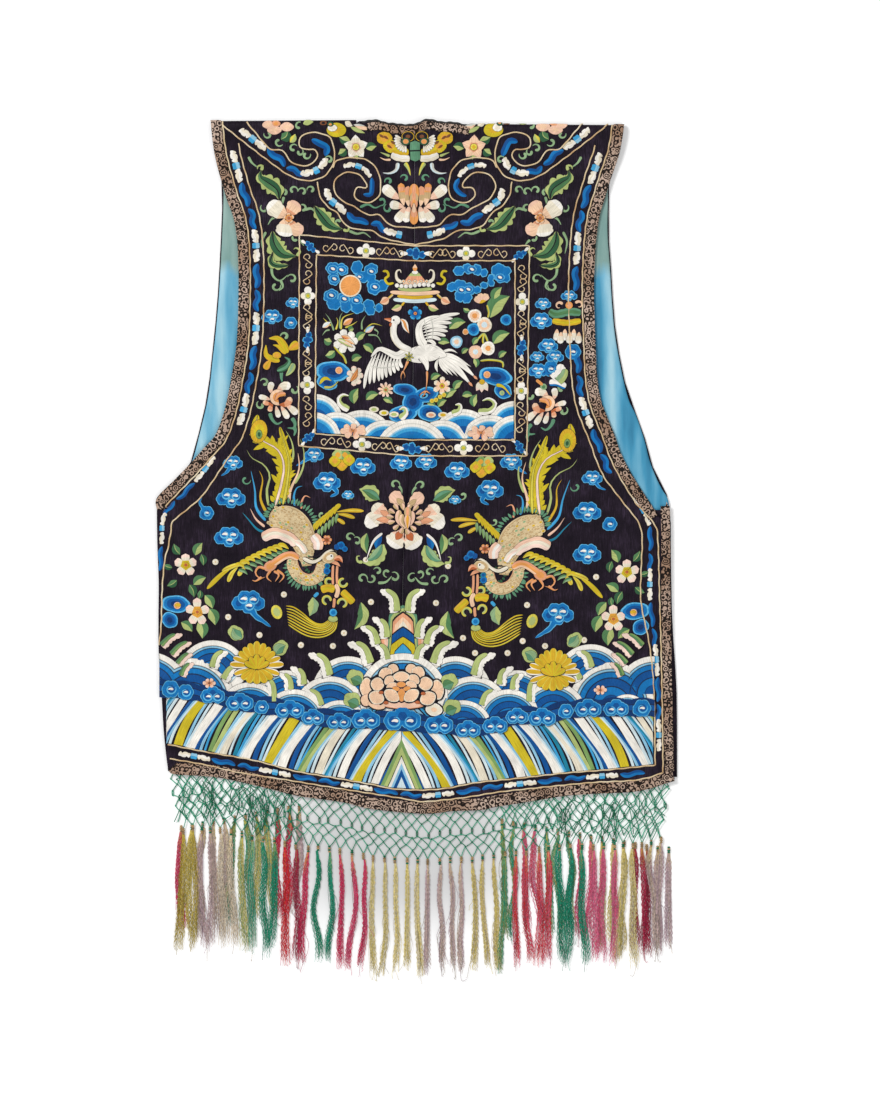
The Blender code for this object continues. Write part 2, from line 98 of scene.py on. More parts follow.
def ease(share):
    share = np.clip(share, 0.0, 1.0)
    return share * share * (3.0 - 2.0 * share)


def smoothPath(points, spacing=2.0, closed=False):
    # Catmull-Rom through the points a, b, c, d:
    # p(t) = (2b + (c-a)t + (2a-5b+4c-d)t^2 + (3b-a-3c+d)t^3) / 2, then evened out by length
    points = np.asarray(points, float)
    if closed:
        around = np.vstack([points[-1:], points, points[:2]])
    else:
        around = np.vstack([2 * points[0] - points[1], points, 2 * points[-1] - points[-2]])
    a, b, c, d = around[:-3], around[1:-2], around[2:-1], around[3:]
    t = np.linspace(0, 1, 12, endpoint=False)[None, :, None]
    a, b, c, d = (v[:, None, :] for v in (a, b, c, d))
    curve = 0.5 * (2 * b + (c - a) * t + (2 * a - 5 * b + 4 * c - d) * t ** 2 + (3 * b - a - 3 * c + d)
                   * t ** 3)
    curve = np.vstack([curve.reshape(-1, 2), points[:1] if closed else points[-1:]])
    run = np.concatenate([[0], np.cumsum(np.hypot(*np.diff(curve, axis=0).T))])
    count = max(int(round(run[-1] / spacing)) + 1, 3)
    even = np.linspace(0, run[-1], count)
    return np.column_stack([np.interp(even, run, curve[:, k]) for k in (0, 1)])


def normals(path):
    # left-hand normal of a path on the picture: the tangent (dx, dy) turned to (dy, -dx)
    tangent = np.gradient(path, axis=0)
    tangent /= np.maximum(np.hypot(*tangent.T), 1e-9)[:, None]
    return np.column_stack([tangent[:, 1], -tangent[:, 0]])


def offsetPath(path, distance):
    return path + normals(path) * np.asarray(distance).reshape(-1, 1)


def toMillimetres(px, py):
    scale = picture["mmPerPixel"]
    return (np.asarray(px, float) - picture["originX"]) * scale, (picture["originY"]
                                                                  - np.asarray(py, float)) * scale


def foldY(x):
    return np.interp(x, shoulderFold[:, 0], shoulderFold[:, 1]) - cloth["foldRadius"]


def betweenFronts(x, y):
    # 0 over the fronts, 1 well inside the gap between them
    shareLeft = (openingX["topY"] - y) / (openingX["topY"] - openingX["hemY"])
    shareRight = (openingX["topY"] - y) / (openingX["topY"] - openingX["hemYRight"])
    left = openingX["topLeft"] + (openingX["hemLeft"] - openingX["topLeft"]) * shareLeft
    right = openingX["topRight"] + (openingX["hemRight"] - openingX["topRight"]) * shareRight
    return ease((x - left) / cloth["sagRun"]) * ease((right - x) / cloth["sagRun"])


def backHeight(x, y):
    # middle of the back's wall: its rest height, risen at the shoulders, sunk between the fronts,
    # plus soft folds h*exp(-(off/w)^2 - (2.2 run/l)^4) and small puckers from the stitching
    fromFold = foldY(x) - y
    rise = (cloth["wall"] / 2 + 2 * cloth["foldRadius"]
            - cloth["backRest"]) * (1 - ease(fromFold / cloth["riseRun"]))
    sag = cloth["sag"] * betweenFronts(x, y)
    sag = sag * ease((fromFold - cloth["sagStart"]) / (cloth["sagFull"] - cloth["sagStart"]))
    lift = np.zeros_like(np.asarray(x, float))
    for fx, fy, heading, length, halfWidth, height in softFolds:
        turn = math.radians(heading)
        run = (x - fx) * math.cos(turn) + (y - fy) * math.sin(turn)
        off = -(x - fx) * math.sin(turn) + (y - fy) * math.cos(turn)
        lift = lift + height * np.exp(-(off / halfWidth) ** 2 - (2.2 * run / length) ** 4)
    pucker = (np.sin(x / 7.3 + 1.3 * np.sin(y / 11.0)) * np.sin(y / 8.1 + 1.1 * np.sin(x / 13.7))
              + 0.7 * np.sin(x / 17.1 - y / 23.0 + 0.8) * np.sin(x / 29.0 + y / 15.3))
    pucker = cloth["pucker"] * (0.5 + 0.5 * pucker / 1.7)
    return cloth["backRest"] + rise - sag + (lift + pucker) * ease(fromFold / cloth["riseRun"])


def onCloth(px, py, lift):
    # A point of the picture, raised by lift millimetres above the back's face. Past the shoulder
    # fold it goes round it: y = f + r sin a, z = c + r cos a, with a = (y - f) / r.
    x, y = toMillimetres(px, py)
    fold = foldY(x)
    radius = cloth["foldRadius"]
    past = np.maximum(y - fold, 0.0)
    turn = np.minimum(past / radius, math.pi / 2)
    onShoulder = np.where((x < openingX["topLeft"] - 2) | (x > openingX["topRight"] + 2), 1.0, 0.0)
    turn = turn * onShoulder
    outward = cloth["wall"] / 2 + np.asarray(lift, float)
    flatY = np.where(onShoulder > 0, np.minimum(y, fold), y)
    z = backHeight(x, flatY) + outward * np.cos(turn) - radius * (1 - np.cos(turn))
    y = flatY + (radius + outward) * np.sin(turn)
    return np.stack([x, y, z], axis=-1) * millimetre


def meshFrom(name, points, quads, attributes=None, uv=None, weld=True):
    # attributes: name -> (N, 3) colours or vectors on the points; uv: (N, 2) on the points
    mesh = bpy.data.meshes.new(name)
    points = np.asarray(points, np.float32).reshape(-1, 3)
    quads = np.asarray(quads, np.int32).reshape(-1, 4)
    mesh.vertices.add(len(points))
    mesh.vertices.foreach_set("co", points.ravel())
    mesh.loops.add(quads.size)
    mesh.loops.foreach_set("vertex_index", quads.ravel())
    mesh.polygons.add(len(quads))
    mesh.polygons.foreach_set("loop_start", np.arange(0, quads.size, 4, dtype=np.int32))
    for key, values in (attributes or {}).items():
        values = np.asarray(values, np.float32)
        if key.startswith("silk"):
            layer = mesh.attributes.new(key, "FLOAT_COLOR", "POINT")
            layer.data.foreach_set("color",
                                   np.column_stack([values, np.ones(len(values), np.float32)]).ravel())
        else:
            layer = mesh.attributes.new(key, "FLOAT_VECTOR", "POINT")
            layer.data.foreach_set("vector", values.ravel())
    if uv is not None:
        layer = mesh.uv_layers.new(name="UVMap")
        layer.data.foreach_set("uv", np.asarray(uv, np.float32)[quads.ravel()].ravel())
    mesh.update()
    mesh.validate()
    if weld:
        work = bmesh.new()
        work.from_mesh(mesh)
        bmesh.ops.remove_doubles(work, verts=work.verts, dist=2e-6)
        work.to_mesh(mesh)
        work.free()
    mesh.polygons.foreach_set("use_smooth", np.ones(len(mesh.polygons), bool))
    mesh.update()
    thing = bpy.data.objects.new(name, mesh)
    bpy.context.scene.collection.objects.link(thing)
    return thing


def gridQuads(rows, columns, start=0):
    index = start + np.arange(rows * columns).reshape(rows, columns)
    return np.stack([index[:-1, :-1], index[:-1, 1:], index[1:, 1:], index[1:, :-1]],
                    axis=-1).reshape(-1, 4)


def closedShell(name, outer, inner, quads, attributes=None, uv=None):
    # two skins with the same quads, joined along their free edges
    count = len(outer)
    edges = np.concatenate([quads[:, [k, (k + 1) % 4]] for k in range(4)])
    code, back = edges[:, 0] * count + edges[:, 1], edges[:, 1] * count + edges[:, 0]
    free = edges[~np.isin(code, back)]
    rim = np.column_stack([free[:, 1], free[:, 0], free[:, 0] + count, free[:, 1] + count])
    allQuads = np.vstack([quads, quads[:, ::-1] + count, rim])
    doubled = {key: np.vstack([values, values]) for key, values in (attributes or {}).items()}
    uvBoth = None if uv is None else np.vstack([uv, uv])
    return meshFrom(name, np.vstack([outer, inner]), allQuads, doubled, uvBoth, weld=False)


def newMaterial(name, **settings):
    material = bpy.data.materials.new(name)
    material.use_nodes = True
    shader = material.node_tree.nodes["Principled BSDF"]
    for key, value in settings.items():
        shader.inputs[key.replace("_", " ")].default_value = value
    return material, shader


def addNode(tree, kind, settings=None, links=None, **fields):
    # one node with its fields, its sockets' values and its incoming links
    node = tree.nodes.new(kind)
    for key, value in fields.items():
        setattr(node, key, value)
    for key, value in (settings or {}).items():
        node.inputs[key].default_value = value
    for key, source in (links or {}).items():
        tree.links.new(source, node.inputs[key])
    return node


def setRamp(node, stops):
    # stops: (position, hex colour or grey)
    ramp = node.color_ramp
    while len(ramp.elements) < len(stops):
        ramp.elements.new(0.5)
    for element, (position, value) in zip(ramp.elements, stops):
        element.position = position
        rgb = linear(value) if isinstance(value, str) else (value, value, value)
        element.color = (*rgb, 1.0)


def satinMaterial():
    # Silk satin, piece dyed aubergine: long floats give a soft sheen that shifts with the grain,
    # and the stitching draws it into small dull dimples.
    material, shader = newMaterial("aubergineSilkSatin", Roughness=0.36, Specular_IOR_Level=0.07)
    tree = material.node_tree
    place = addNode(tree, "ShaderNodeTexCoord").outputs["Object"]
    # floats of the weave 0.7 mm long
    grain = addNode(tree, "ShaderNodeMapping", {"Scale": (1400, 90, 90)}, {"Vector": place})
    threads = addNode(tree, "ShaderNodeTexNoise", {"Scale": 1.0, "Detail": 2.0},
                      {"Vector": grain.outputs[0]})
    cloud = addNode(tree, "ShaderNodeTexNoise", {"Scale": 34.0, "Detail": 4.0, "Roughness": 0.6},
                    {"Vector": place})
    both = addNode(tree, "ShaderNodeMath", {2: 0.0}, {0: threads.outputs["Fac"], 1: cloud.outputs["Fac"]},
                   operation="MULTIPLY")
    ramp = addNode(tree, "ShaderNodeValToRGB", None, {"Fac": both.outputs[0]})
    setRamp(ramp, [(0.12, "#130D16"), (0.28, "#201823"), (0.42, "#352A3B")])
    tree.links.new(ramp.outputs[0], shader.inputs["Base Color"])
    creases = addNode(tree, "ShaderNodeTexNoise", {"Scale": 150.0, "Detail": 3.0}, {"Vector": place})
    height = addNode(tree, "ShaderNodeMath", None, {0: creases.outputs["Fac"], 1: threads.outputs["Fac"]},
                     operation="ADD")
    bump = addNode(tree, "ShaderNodeBump", {"Strength": 0.5, "Distance": 0.0009},
                   {"Height": height.outputs[0]})
    tree.links.new(bump.outputs[0], shader.inputs["Normal"])
    return material


def stitchMaterial():
    # Satin stitch in floss silk: each patch has parallel strands that catch the light as streaks.
    # Attribute silk is its dye, stitch is the place across and along its strands and the distance
    # to its rim in millimetres, where the dark ground shows between neighbours.
    material, shader = newMaterial("flossSilkSatinStitch", Roughness=0.4, Sheen_Weight=0.02,
                                   Specular_IOR_Level=0.12)
    tree = material.node_tree
    dye = addNode(tree, "ShaderNodeAttribute", attribute_name="silk").outputs["Color"]
    stitch = addNode(tree, "ShaderNodeAttribute", attribute_name="stitch").outputs["Vector"]
    parts = addNode(tree, "ShaderNodeSeparateXYZ", None, {0: stitch})
    flat = addNode(tree, "ShaderNodeCombineXYZ", None, {0: parts.outputs[0], 1: parts.outputs[1]})
    # strands of 0.3 mm wouldn't show at this size, so the streaks are drawn about 1 mm apart
    stretch = addNode(tree, "ShaderNodeMapping", {"Scale": (0.95, 0.07, 1.0)},
                      {"Vector": flat.outputs[0]})
    streaks = addNode(tree, "ShaderNodeTexNoise", {"Scale": 1.0, "Detail": 3.0, "Roughness": 0.65},
                      {"Vector": stretch.outputs[0]})
    shade = addNode(tree, "ShaderNodeMapRange", {"From Min": 0.32, "From Max": 0.68, "To Min": 0.74,
                                                 "To Max": 1.16}, {"Value": streaks.outputs["Fac"]})
    place = addNode(tree, "ShaderNodeTexCoord").outputs["Object"]
    age = addNode(tree, "ShaderNodeTexNoise", {"Scale": 60.0, "Detail": 2.0}, {"Vector": place})
    worn = addNode(tree, "ShaderNodeMapRange", {"From Min": 0.3, "From Max": 0.7, "To Min": 0.88,
                                                "To Max": 1.1}, {"Value": age.outputs["Fac"]})
    factor = addNode(tree, "ShaderNodeMath", None, {0: shade.outputs[0], 1: worn.outputs[0]},
                     operation="MULTIPLY")
    tinted = addNode(tree, "ShaderNodeVectorMath", None, {0: dye}, operation="SCALE")
    tree.links.new(factor.outputs[0], tinted.inputs["Scale"])
    rim = addNode(tree, "ShaderNodeMapRange", {"From Min": 0.22, "From Max": 0.5, "To Min": 1.0,
                                               "To Max": 0.0}, {"Value": parts.outputs[2]})
    mixed = addNode(tree, "ShaderNodeMix", None, {"Factor": rim.outputs[0]}, data_type="RGBA")
    tree.links.new(tinted.outputs[0], mixed.inputs["A"])
    mixed.inputs["B"].default_value = (*linear("#2A2024"), 1.0)
    tree.links.new(mixed.outputs["Result"], shader.inputs["Base Color"])
    bump = addNode(tree, "ShaderNodeBump", {"Strength": 0.55, "Distance": 0.0005},
                   {"Height": streaks.outputs["Fac"]})
    tree.links.new(bump.outputs[0], shader.inputs["Normal"])
    return material


def goldCordMaterial():
    # Gold-wrapped silk cord, couched in pairs: pale gilt paper worn to buff, in a steep twist.
    material, shader = newMaterial("coucheGiltCord", Roughness=0.5, Specular_IOR_Level=0.5)
    tree = material.node_tree
    stitch = addNode(tree, "ShaderNodeAttribute", attribute_name="stitch").outputs["Vector"]
    twist = addNode(tree, "ShaderNodeMapping", {"Rotation": (0, 0, 0.9), "Scale": (1.0, 1.0, 1.0)},
                    {"Vector": stitch})
    wave = addNode(tree, "ShaderNodeTexWave", {"Scale": 0.32, "Distortion": 1.2, "Detail": 1.0},
                   {"Vector": twist.outputs[0]})
    place = addNode(tree, "ShaderNodeTexCoord").outputs["Object"]
    age = addNode(tree, "ShaderNodeTexNoise", {"Scale": 55.0, "Detail": 3.0}, {"Vector": place})
    ramp = addNode(tree, "ShaderNodeValToRGB", None, {"Fac": age.outputs["Fac"]})
    setRamp(ramp, [(0.3, "#CFA878"), (0.48, "#E9D0A4"), (0.7, "#F6E9CC")])
    # painted shade: the colour is darkened in the grooves of the twist
    grooveShade = addNode(tree, "ShaderNodeMix", {"B": (0.72, 0.54, 0.36, 1)}, {"A": ramp.outputs[0]},
                   data_type="RGBA", blend_type="MULTIPLY")
    tree.links.new(wave.outputs["Fac"], grooveShade.inputs["Factor"])
    # half of the painted shade in the twist's grooves is enough at this size
    soft = addNode(tree, "ShaderNodeMix", {"Factor": 0.35}, {"A": ramp.outputs[0],
                                                             "B": grooveShade.outputs["Result"]},
                   data_type="RGBA")
    tree.links.new(soft.outputs["Result"], shader.inputs["Base Color"])
    bump = addNode(tree, "ShaderNodeBump", {"Strength": 0.5, "Distance": 0.0004},
                   {"Height": wave.outputs["Fac"]})
    tree.links.new(bump.outputs[0], shader.inputs["Normal"])
    return material


def ribbonMaterial():
    # Jacquard ribbon: buff scrolls woven over black. Its UV map runs across and along in millimetres.
    material, shader = newMaterial("jacquardRibbon", Roughness=0.6, Sheen_Weight=0.03,
                                   Specular_IOR_Level=0.12)
    tree = material.node_tree
    uv = addNode(tree, "ShaderNodeTexCoord").outputs["UV"]
    bend = addNode(tree, "ShaderNodeTexNoise", {"Scale": 0.22, "Detail": 1.0}, {"Vector": uv})
    moved = addNode(tree, "ShaderNodeMix", {"Factor": 0.5}, {"A": uv, "B": bend.outputs["Color"]},
                    data_type="RGBA", blend_type="LINEAR_LIGHT")
    cells = addNode(tree, "ShaderNodeTexVoronoi", {"Scale": 0.16, "Randomness": 0.75},
                    {"Vector": moved.outputs["Result"]})
    rings = addNode(tree, "ShaderNodeMath", {1: 17.0}, {0: cells.outputs["Distance"]},
                    operation="MULTIPLY")
    scroll = addNode(tree, "ShaderNodeMath", None, {0: rings.outputs[0]}, operation="SINE")
    leaf = addNode(tree, "ShaderNodeTexNoise", {"Scale": 0.55, "Detail": 2.0}, {"Vector": uv})
    mixed = addNode(tree, "ShaderNodeMath", {2: -0.9}, {0: leaf.outputs["Fac"]}, operation="MULTIPLY_ADD")
    mixed.inputs[1].default_value = 2.2
    both = addNode(tree, "ShaderNodeMath", None, {0: scroll.outputs[0], 1: mixed.outputs[0]},
                   operation="ADD")
    ramp = addNode(tree, "ShaderNodeValToRGB", None, {"Fac": both.outputs[0]})
    setRamp(ramp, [(0.0, "#1D1613"), (0.14, "#55453B"), (0.3, "#A08A7C"), (0.9, "#C4B0A2")])
    place = addNode(tree, "ShaderNodeTexCoord").outputs["Object"]
    age = addNode(tree, "ShaderNodeTexNoise", {"Scale": 16.0, "Detail": 3.0}, {"Vector": place})
    tone = addNode(tree, "ShaderNodeValToRGB", None, {"Fac": age.outputs["Fac"]})
    setRamp(tone, [(0.35, "#CDB8A6"), (0.62, "#FFFAF6")])
    aged = addNode(tree, "ShaderNodeMix", {"Factor": 1.0}, {"A": ramp.outputs[0], "B": tone.outputs[0]},
                   data_type="RGBA", blend_type="MULTIPLY")
    tree.links.new(aged.outputs["Result"], shader.inputs["Base Color"])
    weave = addNode(tree, "ShaderNodeTexNoise", {"Scale": 1.4, "Detail": 2.0}, {"Vector": uv})
    height = addNode(tree, "ShaderNodeMath", None, {0: ramp.outputs[0], 1: weave.outputs["Fac"]},
                     operation="ADD")
    bump = addNode(tree, "ShaderNodeBump", {"Strength": 0.6, "Distance": 0.0006},
                   {"Height": height.outputs[0]})
    tree.links.new(bump.outputs[0], shader.inputs["Normal"])
    return material


def liningMaterial():
    # Plain-woven silk lining, light blue below and faded to a grey teal towards the shoulders, with
    # painted shade: darker teal streaks for its deep folds.
    material, shader = newMaterial("lightBlueSilkLining", Roughness=0.5, Sheen_Weight=0.1,
                                   Specular_IOR_Level=0.35)
    tree = material.node_tree
    place = addNode(tree, "ShaderNodeTexCoord").outputs["Object"]
    parts = addNode(tree, "ShaderNodeSeparateXYZ", None, {0: place})
    stretched = addNode(tree, "ShaderNodeMapping", {"Scale": (60, 9, 1)}, {"Vector": place})
    runs = addNode(tree, "ShaderNodeTexNoise", {"Scale": 1.0, "Detail": 4.0},
                   {"Vector": stretched.outputs[0]})
    uneven = addNode(tree, "ShaderNodeMath", {1: 0.05}, {0: runs.outputs["Fac"], 2: parts.outputs[1]},
                     operation="MULTIPLY_ADD")
    fade = addNode(tree, "ShaderNodeMapRange", {"From Min": 0.362, "From Max": 0.378},
                   {"Value": uneven.outputs[0]})
    # painted shade: the deep folds are drawn as long streaks of darker teal in the colour: tone = 0.7
    # fold + 0.3 grain
    wide = addNode(tree, "ShaderNodeMapping", {"Scale": (34, 4.5, 1)}, {"Vector": place})
    foldShade = addNode(tree, "ShaderNodeTexNoise", {"Scale": 1.0, "Detail": 1.5},
                    {"Vector": wide.outputs[0]})
    grain = addNode(tree, "ShaderNodeMath", {1: 0.3}, {0: runs.outputs["Fac"]}, operation="MULTIPLY")
    tone = addNode(tree, "ShaderNodeMath", {1: 0.7}, {0: foldShade.outputs["Fac"], 2: grain.outputs[0]},
                   operation="MULTIPLY_ADD")
    blue = addNode(tree, "ShaderNodeValToRGB", None, {"Fac": tone.outputs[0]})
    setRamp(blue, [(0.33, "#0F6388"), (0.43, "#3A90B4"), (0.51, "#6FB0CB"), (0.6, "#A2CDDB")])
    faded = addNode(tree, "ShaderNodeValToRGB", None, {"Fac": runs.outputs["Fac"]})
    setRamp(faded, [(0.3, "#6F9590"), (0.7, "#93AFA8")])
    mixed = addNode(tree, "ShaderNodeMix", None, {"Factor": fade.outputs[0], "A": blue.outputs[0],
                                                  "B": faded.outputs[0]}, data_type="RGBA")
    tree.links.new(mixed.outputs["Result"], shader.inputs["Base Color"])
    bump = addNode(tree, "ShaderNodeBump", {"Strength": 0.35, "Distance": 0.0012},
                   {"Height": runs.outputs["Fac"]})
    tree.links.new(bump.outputs[0], shader.inputs["Normal"])
    return material


def threadMaterial(name, roughness):
    # Twisted silk thread: dyed by the attribute silk, with painted shade that makes it a little darker in
    # the hollows of the twist.
    material, shader = newMaterial(name, Roughness=roughness, Sheen_Weight=0.05, Specular_IOR_Level=0.15)
    tree = material.node_tree
    dye = addNode(tree, "ShaderNodeAttribute", attribute_name="silk").outputs["Color"]
    place = addNode(tree, "ShaderNodeTexCoord").outputs["Object"]
    twistHollows = addNode(tree, "ShaderNodeTexNoise", {"Scale": 420.0, "Detail": 2.0}, {"Vector": place})
    # painted shade: the noise darkens the dye where the twist's hollows would lie
    shade = addNode(tree, "ShaderNodeMapRange", {"From Min": 0.3, "From Max": 0.7, "To Min": 0.68,
                                                 "To Max": 1.15}, {"Value": twistHollows.outputs["Fac"]})
    tinted = addNode(tree, "ShaderNodeVectorMath", None, {0: dye}, operation="SCALE")
    tree.links.new(shade.outputs[0], tinted.inputs["Scale"])
    tree.links.new(tinted.outputs[0], shader.inputs["Base Color"])
    bump = addNode(tree, "ShaderNodeBump", {"Strength": 0.5, "Distance": 0.0004},
                   {"Height": twistHollows.outputs["Fac"]})
    tree.links.new(bump.outputs[0], shader.inputs["Normal"])
    return material


satinSilk = satinMaterial()
flossSilk = stitchMaterial()
giltCord = goldCordMaterial()
jacquard = ribbonMaterial()
liningSilk = liningMaterial()
netThread = threadMaterial("twistedNetSilk", 0.55)
tasselThread = threadMaterial("crimpedTasselSilk", 0.6)


def finishPiece(thing, material, slot, *nodes):
    # gives a piece its material and its body, and hides the solids that it stands for; its slot is not
    # used
    thing.data.materials.clear()
    thing.data.materials.append(material)
    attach(thing, "root")
    if nodes:
        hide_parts(*nodes)
    return thing


# Panels: satin halves, each cut in one over the shoulder
panel = dict(columns=64, neckColumns=18, backRows=170, foldRows=8, frontRows=24)


def edgeX(path, y):
    # x of an edge at the height y of the picture
    order = np.argsort(path[:, 1], kind="stable")
    return np.interp(y, path[order, 1], path[order, 0])


def makePanel(side, name, node):
    # P(u, v): v runs from the hem over the shoulder to the front's hem, u from seam to edge.
    # x = seam + (edge - seam) u, y = top + (hem(x) - top) v; the wall is 2 mm.
    edge = smoothPath(np.vstack([leftArmhole, leftSide[1:]]) if side < 0 else
                      np.vstack([rightArmhole, [(665, 517.5)], rightSide[1:]]), 1.5)
    seam, hem = smoothPath(seamLine, 3.0), smoothPath(hemEdge, 2.0)
    top = 124.5 if side < 0 else 128.0
    v = np.linspace(1, 0, panel["backRows"])[:, None]
    u = np.linspace(0, 1, panel["columns"])[None, :]
    level = top + (edge[-1, 1] - top) * v
    halfGap = side * cloth["seamGap"] / 2 / picture["mmPerPixel"]
    px = edgeX(seam, level) + halfGap + (edgeX(edge, level) - edgeX(seam, level) - halfGap) * u
    hemY = np.interp(px, hem[:, 0], hem[:, 1])
    py = level + (hemY - edge[-1, 1]) * v ** 2.2
    x, y = toMillimetres(px, py)
    # the top row follows the fold at the shoulder and the cut edge at the neck
    neck = panel["neckColumns"]
    y[-1, neck:] = foldY(x[-1, neck:])
    y[-1, :neck] = neckTop(px[-1, :neck])
    back = np.stack([x, y, backHeight(x, y), np.zeros_like(x), np.ones_like(x)], axis=-1)
    turn = np.linspace(0, math.pi, panel["foldRows"] + 2)[1:-1, None]
    overX, overY = x[-1:, neck:], y[-1:, neck:]
    radius = cloth["foldRadius"]
    fold = np.stack(np.broadcast_arrays(overX, overY + radius * np.sin(turn),
                                        cloth["wall"] / 2 + radius + radius * np.cos(turn),
                                        np.sin(turn), np.cos(turn)), axis=-1)
    w = np.linspace(0, 1, panel["frontRows"])[:, None]
    frontEdge = smoothPath(frontLeftEdge if side < 0 else frontRightEdge, 2.0)
    frontLevel = top + (frontEdge[-1, 1] - top) * w
    lowX, lowY = (305, 753) if side < 0 else (495, 763)
    neckX = 362 if side < 0 else 472
    opened = neckX + (lowX - neckX) * w
    uf = np.linspace(0, 1, panel["columns"] - neck)[None, :]
    fx = opened + (edgeX(frontEdge, frontLevel) - opened) * uf
    fy = frontLevel + (lowY - frontEdge[-1, 1]) * (1 - uf) * w ** 2
    fx, fy = toMillimetres(fx, fy)
    fy[0] = overY[0]
    fx[0] = overX[0]
    front = np.stack([fx, fy, np.full_like(fx, cloth["wall"] / 2), np.zeros_like(fx), -np.ones_like(fx)],
                     axis=-1)
    rest = np.concatenate([fold, front])
    columns, remains = panel["columns"], len(rest)
    points = np.vstack([back.reshape(-1, 5), rest.reshape(-1, 5)])
    backIndex = np.arange(panel["backRows"] * columns).reshape(panel["backRows"], columns)
    restIndex = backIndex.size + np.arange(remains * (columns - neck)).reshape(remains, columns - neck)
    restIndex = np.vstack([backIndex[-1:, neck:], restIndex])
    quads = np.vstack([np.stack([g[:-1, :-1], g[:-1, 1:], g[1:, 1:], g[1:, :-1]], axis=-1).reshape(-1, 4)
                       for g in (backIndex, restIndex)])
    if side < 0:
        quads = quads[:, ::-1]
    middle, normal = points[:, :3], np.column_stack([np.zeros(len(points)), points[:, 3:]])
    half = cloth["wall"] / 2
    shell = closedShell(name, (middle + normal * half) * millimetre, (middle - normal * half)
                        * millimetre, quads)
    finishPiece(shell, satinSilk, "satin", node)
    return shell


neckEdge = np.array([(362, 121.3), (377, 120.5), (389, 123.3), (400, 124.3), (415, 124.3), (426, 119.5),
                     (438, 121.5), (458, 123.3), (472, 126.5)])


neckDrop = np.r_[0.2, np.full(7, 1.2), 0.2]


def neckTop(px):
    top = np.interp(px, neckEdge[:, 0], neckEdge[:, 1] + neckDrop)
    return (picture["originY"] - top) * picture["mmPerPixel"]


print("panels")
makePanel(-1, "satinHalfLeft", "half_left")
makePanel(1, "satinHalfRight", "half_right")


# Ribbons along the edges
ribbon = dict(armhole=10.5, side=9.0, hem=11.6, neck=8.0, thickness=1.0, crown=0.35, columns=7)


def makeRibbon(name, node, path, width, inward, lift=0.35):
    # R(s, t): the edge path moved in by width * t, crowned by (1 - (2t - 1)^2)^0.5
    path = smoothPath(path, 2.2)
    t = np.linspace(0, 1, ribbon["columns"])
    width = np.broadcast_to(np.asarray(width, float),
                            (len(path),)) if np.ndim(width) else np.full(len(path), width)
    normal = normals(path) * inward
    x = path[:, :1] + normal[:, :1] * width[:, None] * t
    y = path[:, 1:] + normal[:, 1:] * width[:, None] * t
    crown = np.sqrt(np.clip(1 - (2 * t - 1) ** 2, 0, 1)) * ribbon["crown"]
    crown = np.broadcast_to(crown, x.shape)
    outer = onCloth(x, y, lift + ribbon["thickness"] - ribbon["crown"] + crown).reshape(-1, 3)
    inner = onCloth(x, y, np.full_like(x, lift)).reshape(-1, 3)
    run = np.concatenate([[0], np.cumsum(np.hypot(*np.diff(path, axis=0).T))]) * picture["mmPerPixel"]
    uv = np.stack(np.broadcast_arrays(width[:, None] * t * picture["mmPerPixel"], run[:, None]),
                  axis=-1).reshape(-1, 2)
    quads = gridQuads(*x.shape)
    a, b, d = (outer[quads[0, k]] for k in (0, 1, 3))
    if np.cross(b - a, d - a)[2] < 0:
        quads = quads[:, ::-1]
    return finishPiece(closedShell(name, outer, inner, quads, None, uv), jacquard, "brocade", node)


print("ribbons")
makeRibbon("ribbonArmholeLeft", "trim_armhole_left",
           np.vstack([[(210.6, 119.5)], leftArmhole]), ribbon["armhole"], 1)
makeRibbon("ribbonArmholeRight", "trim_armhole_right",
           np.vstack([[(624.2, 124)], rightArmhole]), ribbon["armhole"], -1)
makeRibbon("ribbonSideRight", "trim_side_right",
           np.vstack([[(669.5, 506)], rightSide[1:-1], [(673.9, 771)]]), ribbon["side"], -1)
makeRibbon("ribbonHem", "trim_hem", hemEdge, ribbon["hem"], 1)
makeRibbon("ribbonNeck", "trim_neck", np.vstack([[(366, 124)], neckEdge[1:-1] + (0, 1.9), [(470, 128)]]),
           ribbon["neck"], -1)


def sideways(points):
    # unit vectors level with the floor and across each run of points (..., S, 3)
    along = np.gradient(points, axis=-2)
    across = np.stack([along[..., 1], -along[..., 0], np.zeros(along.shape[:-1])], axis=-1)
    length = np.linalg.norm(across, axis=-1, keepdims=True)
    return np.where(length > 1e-9, across / np.maximum(length, 1e-9), (1.0, 0.0, 0.0))


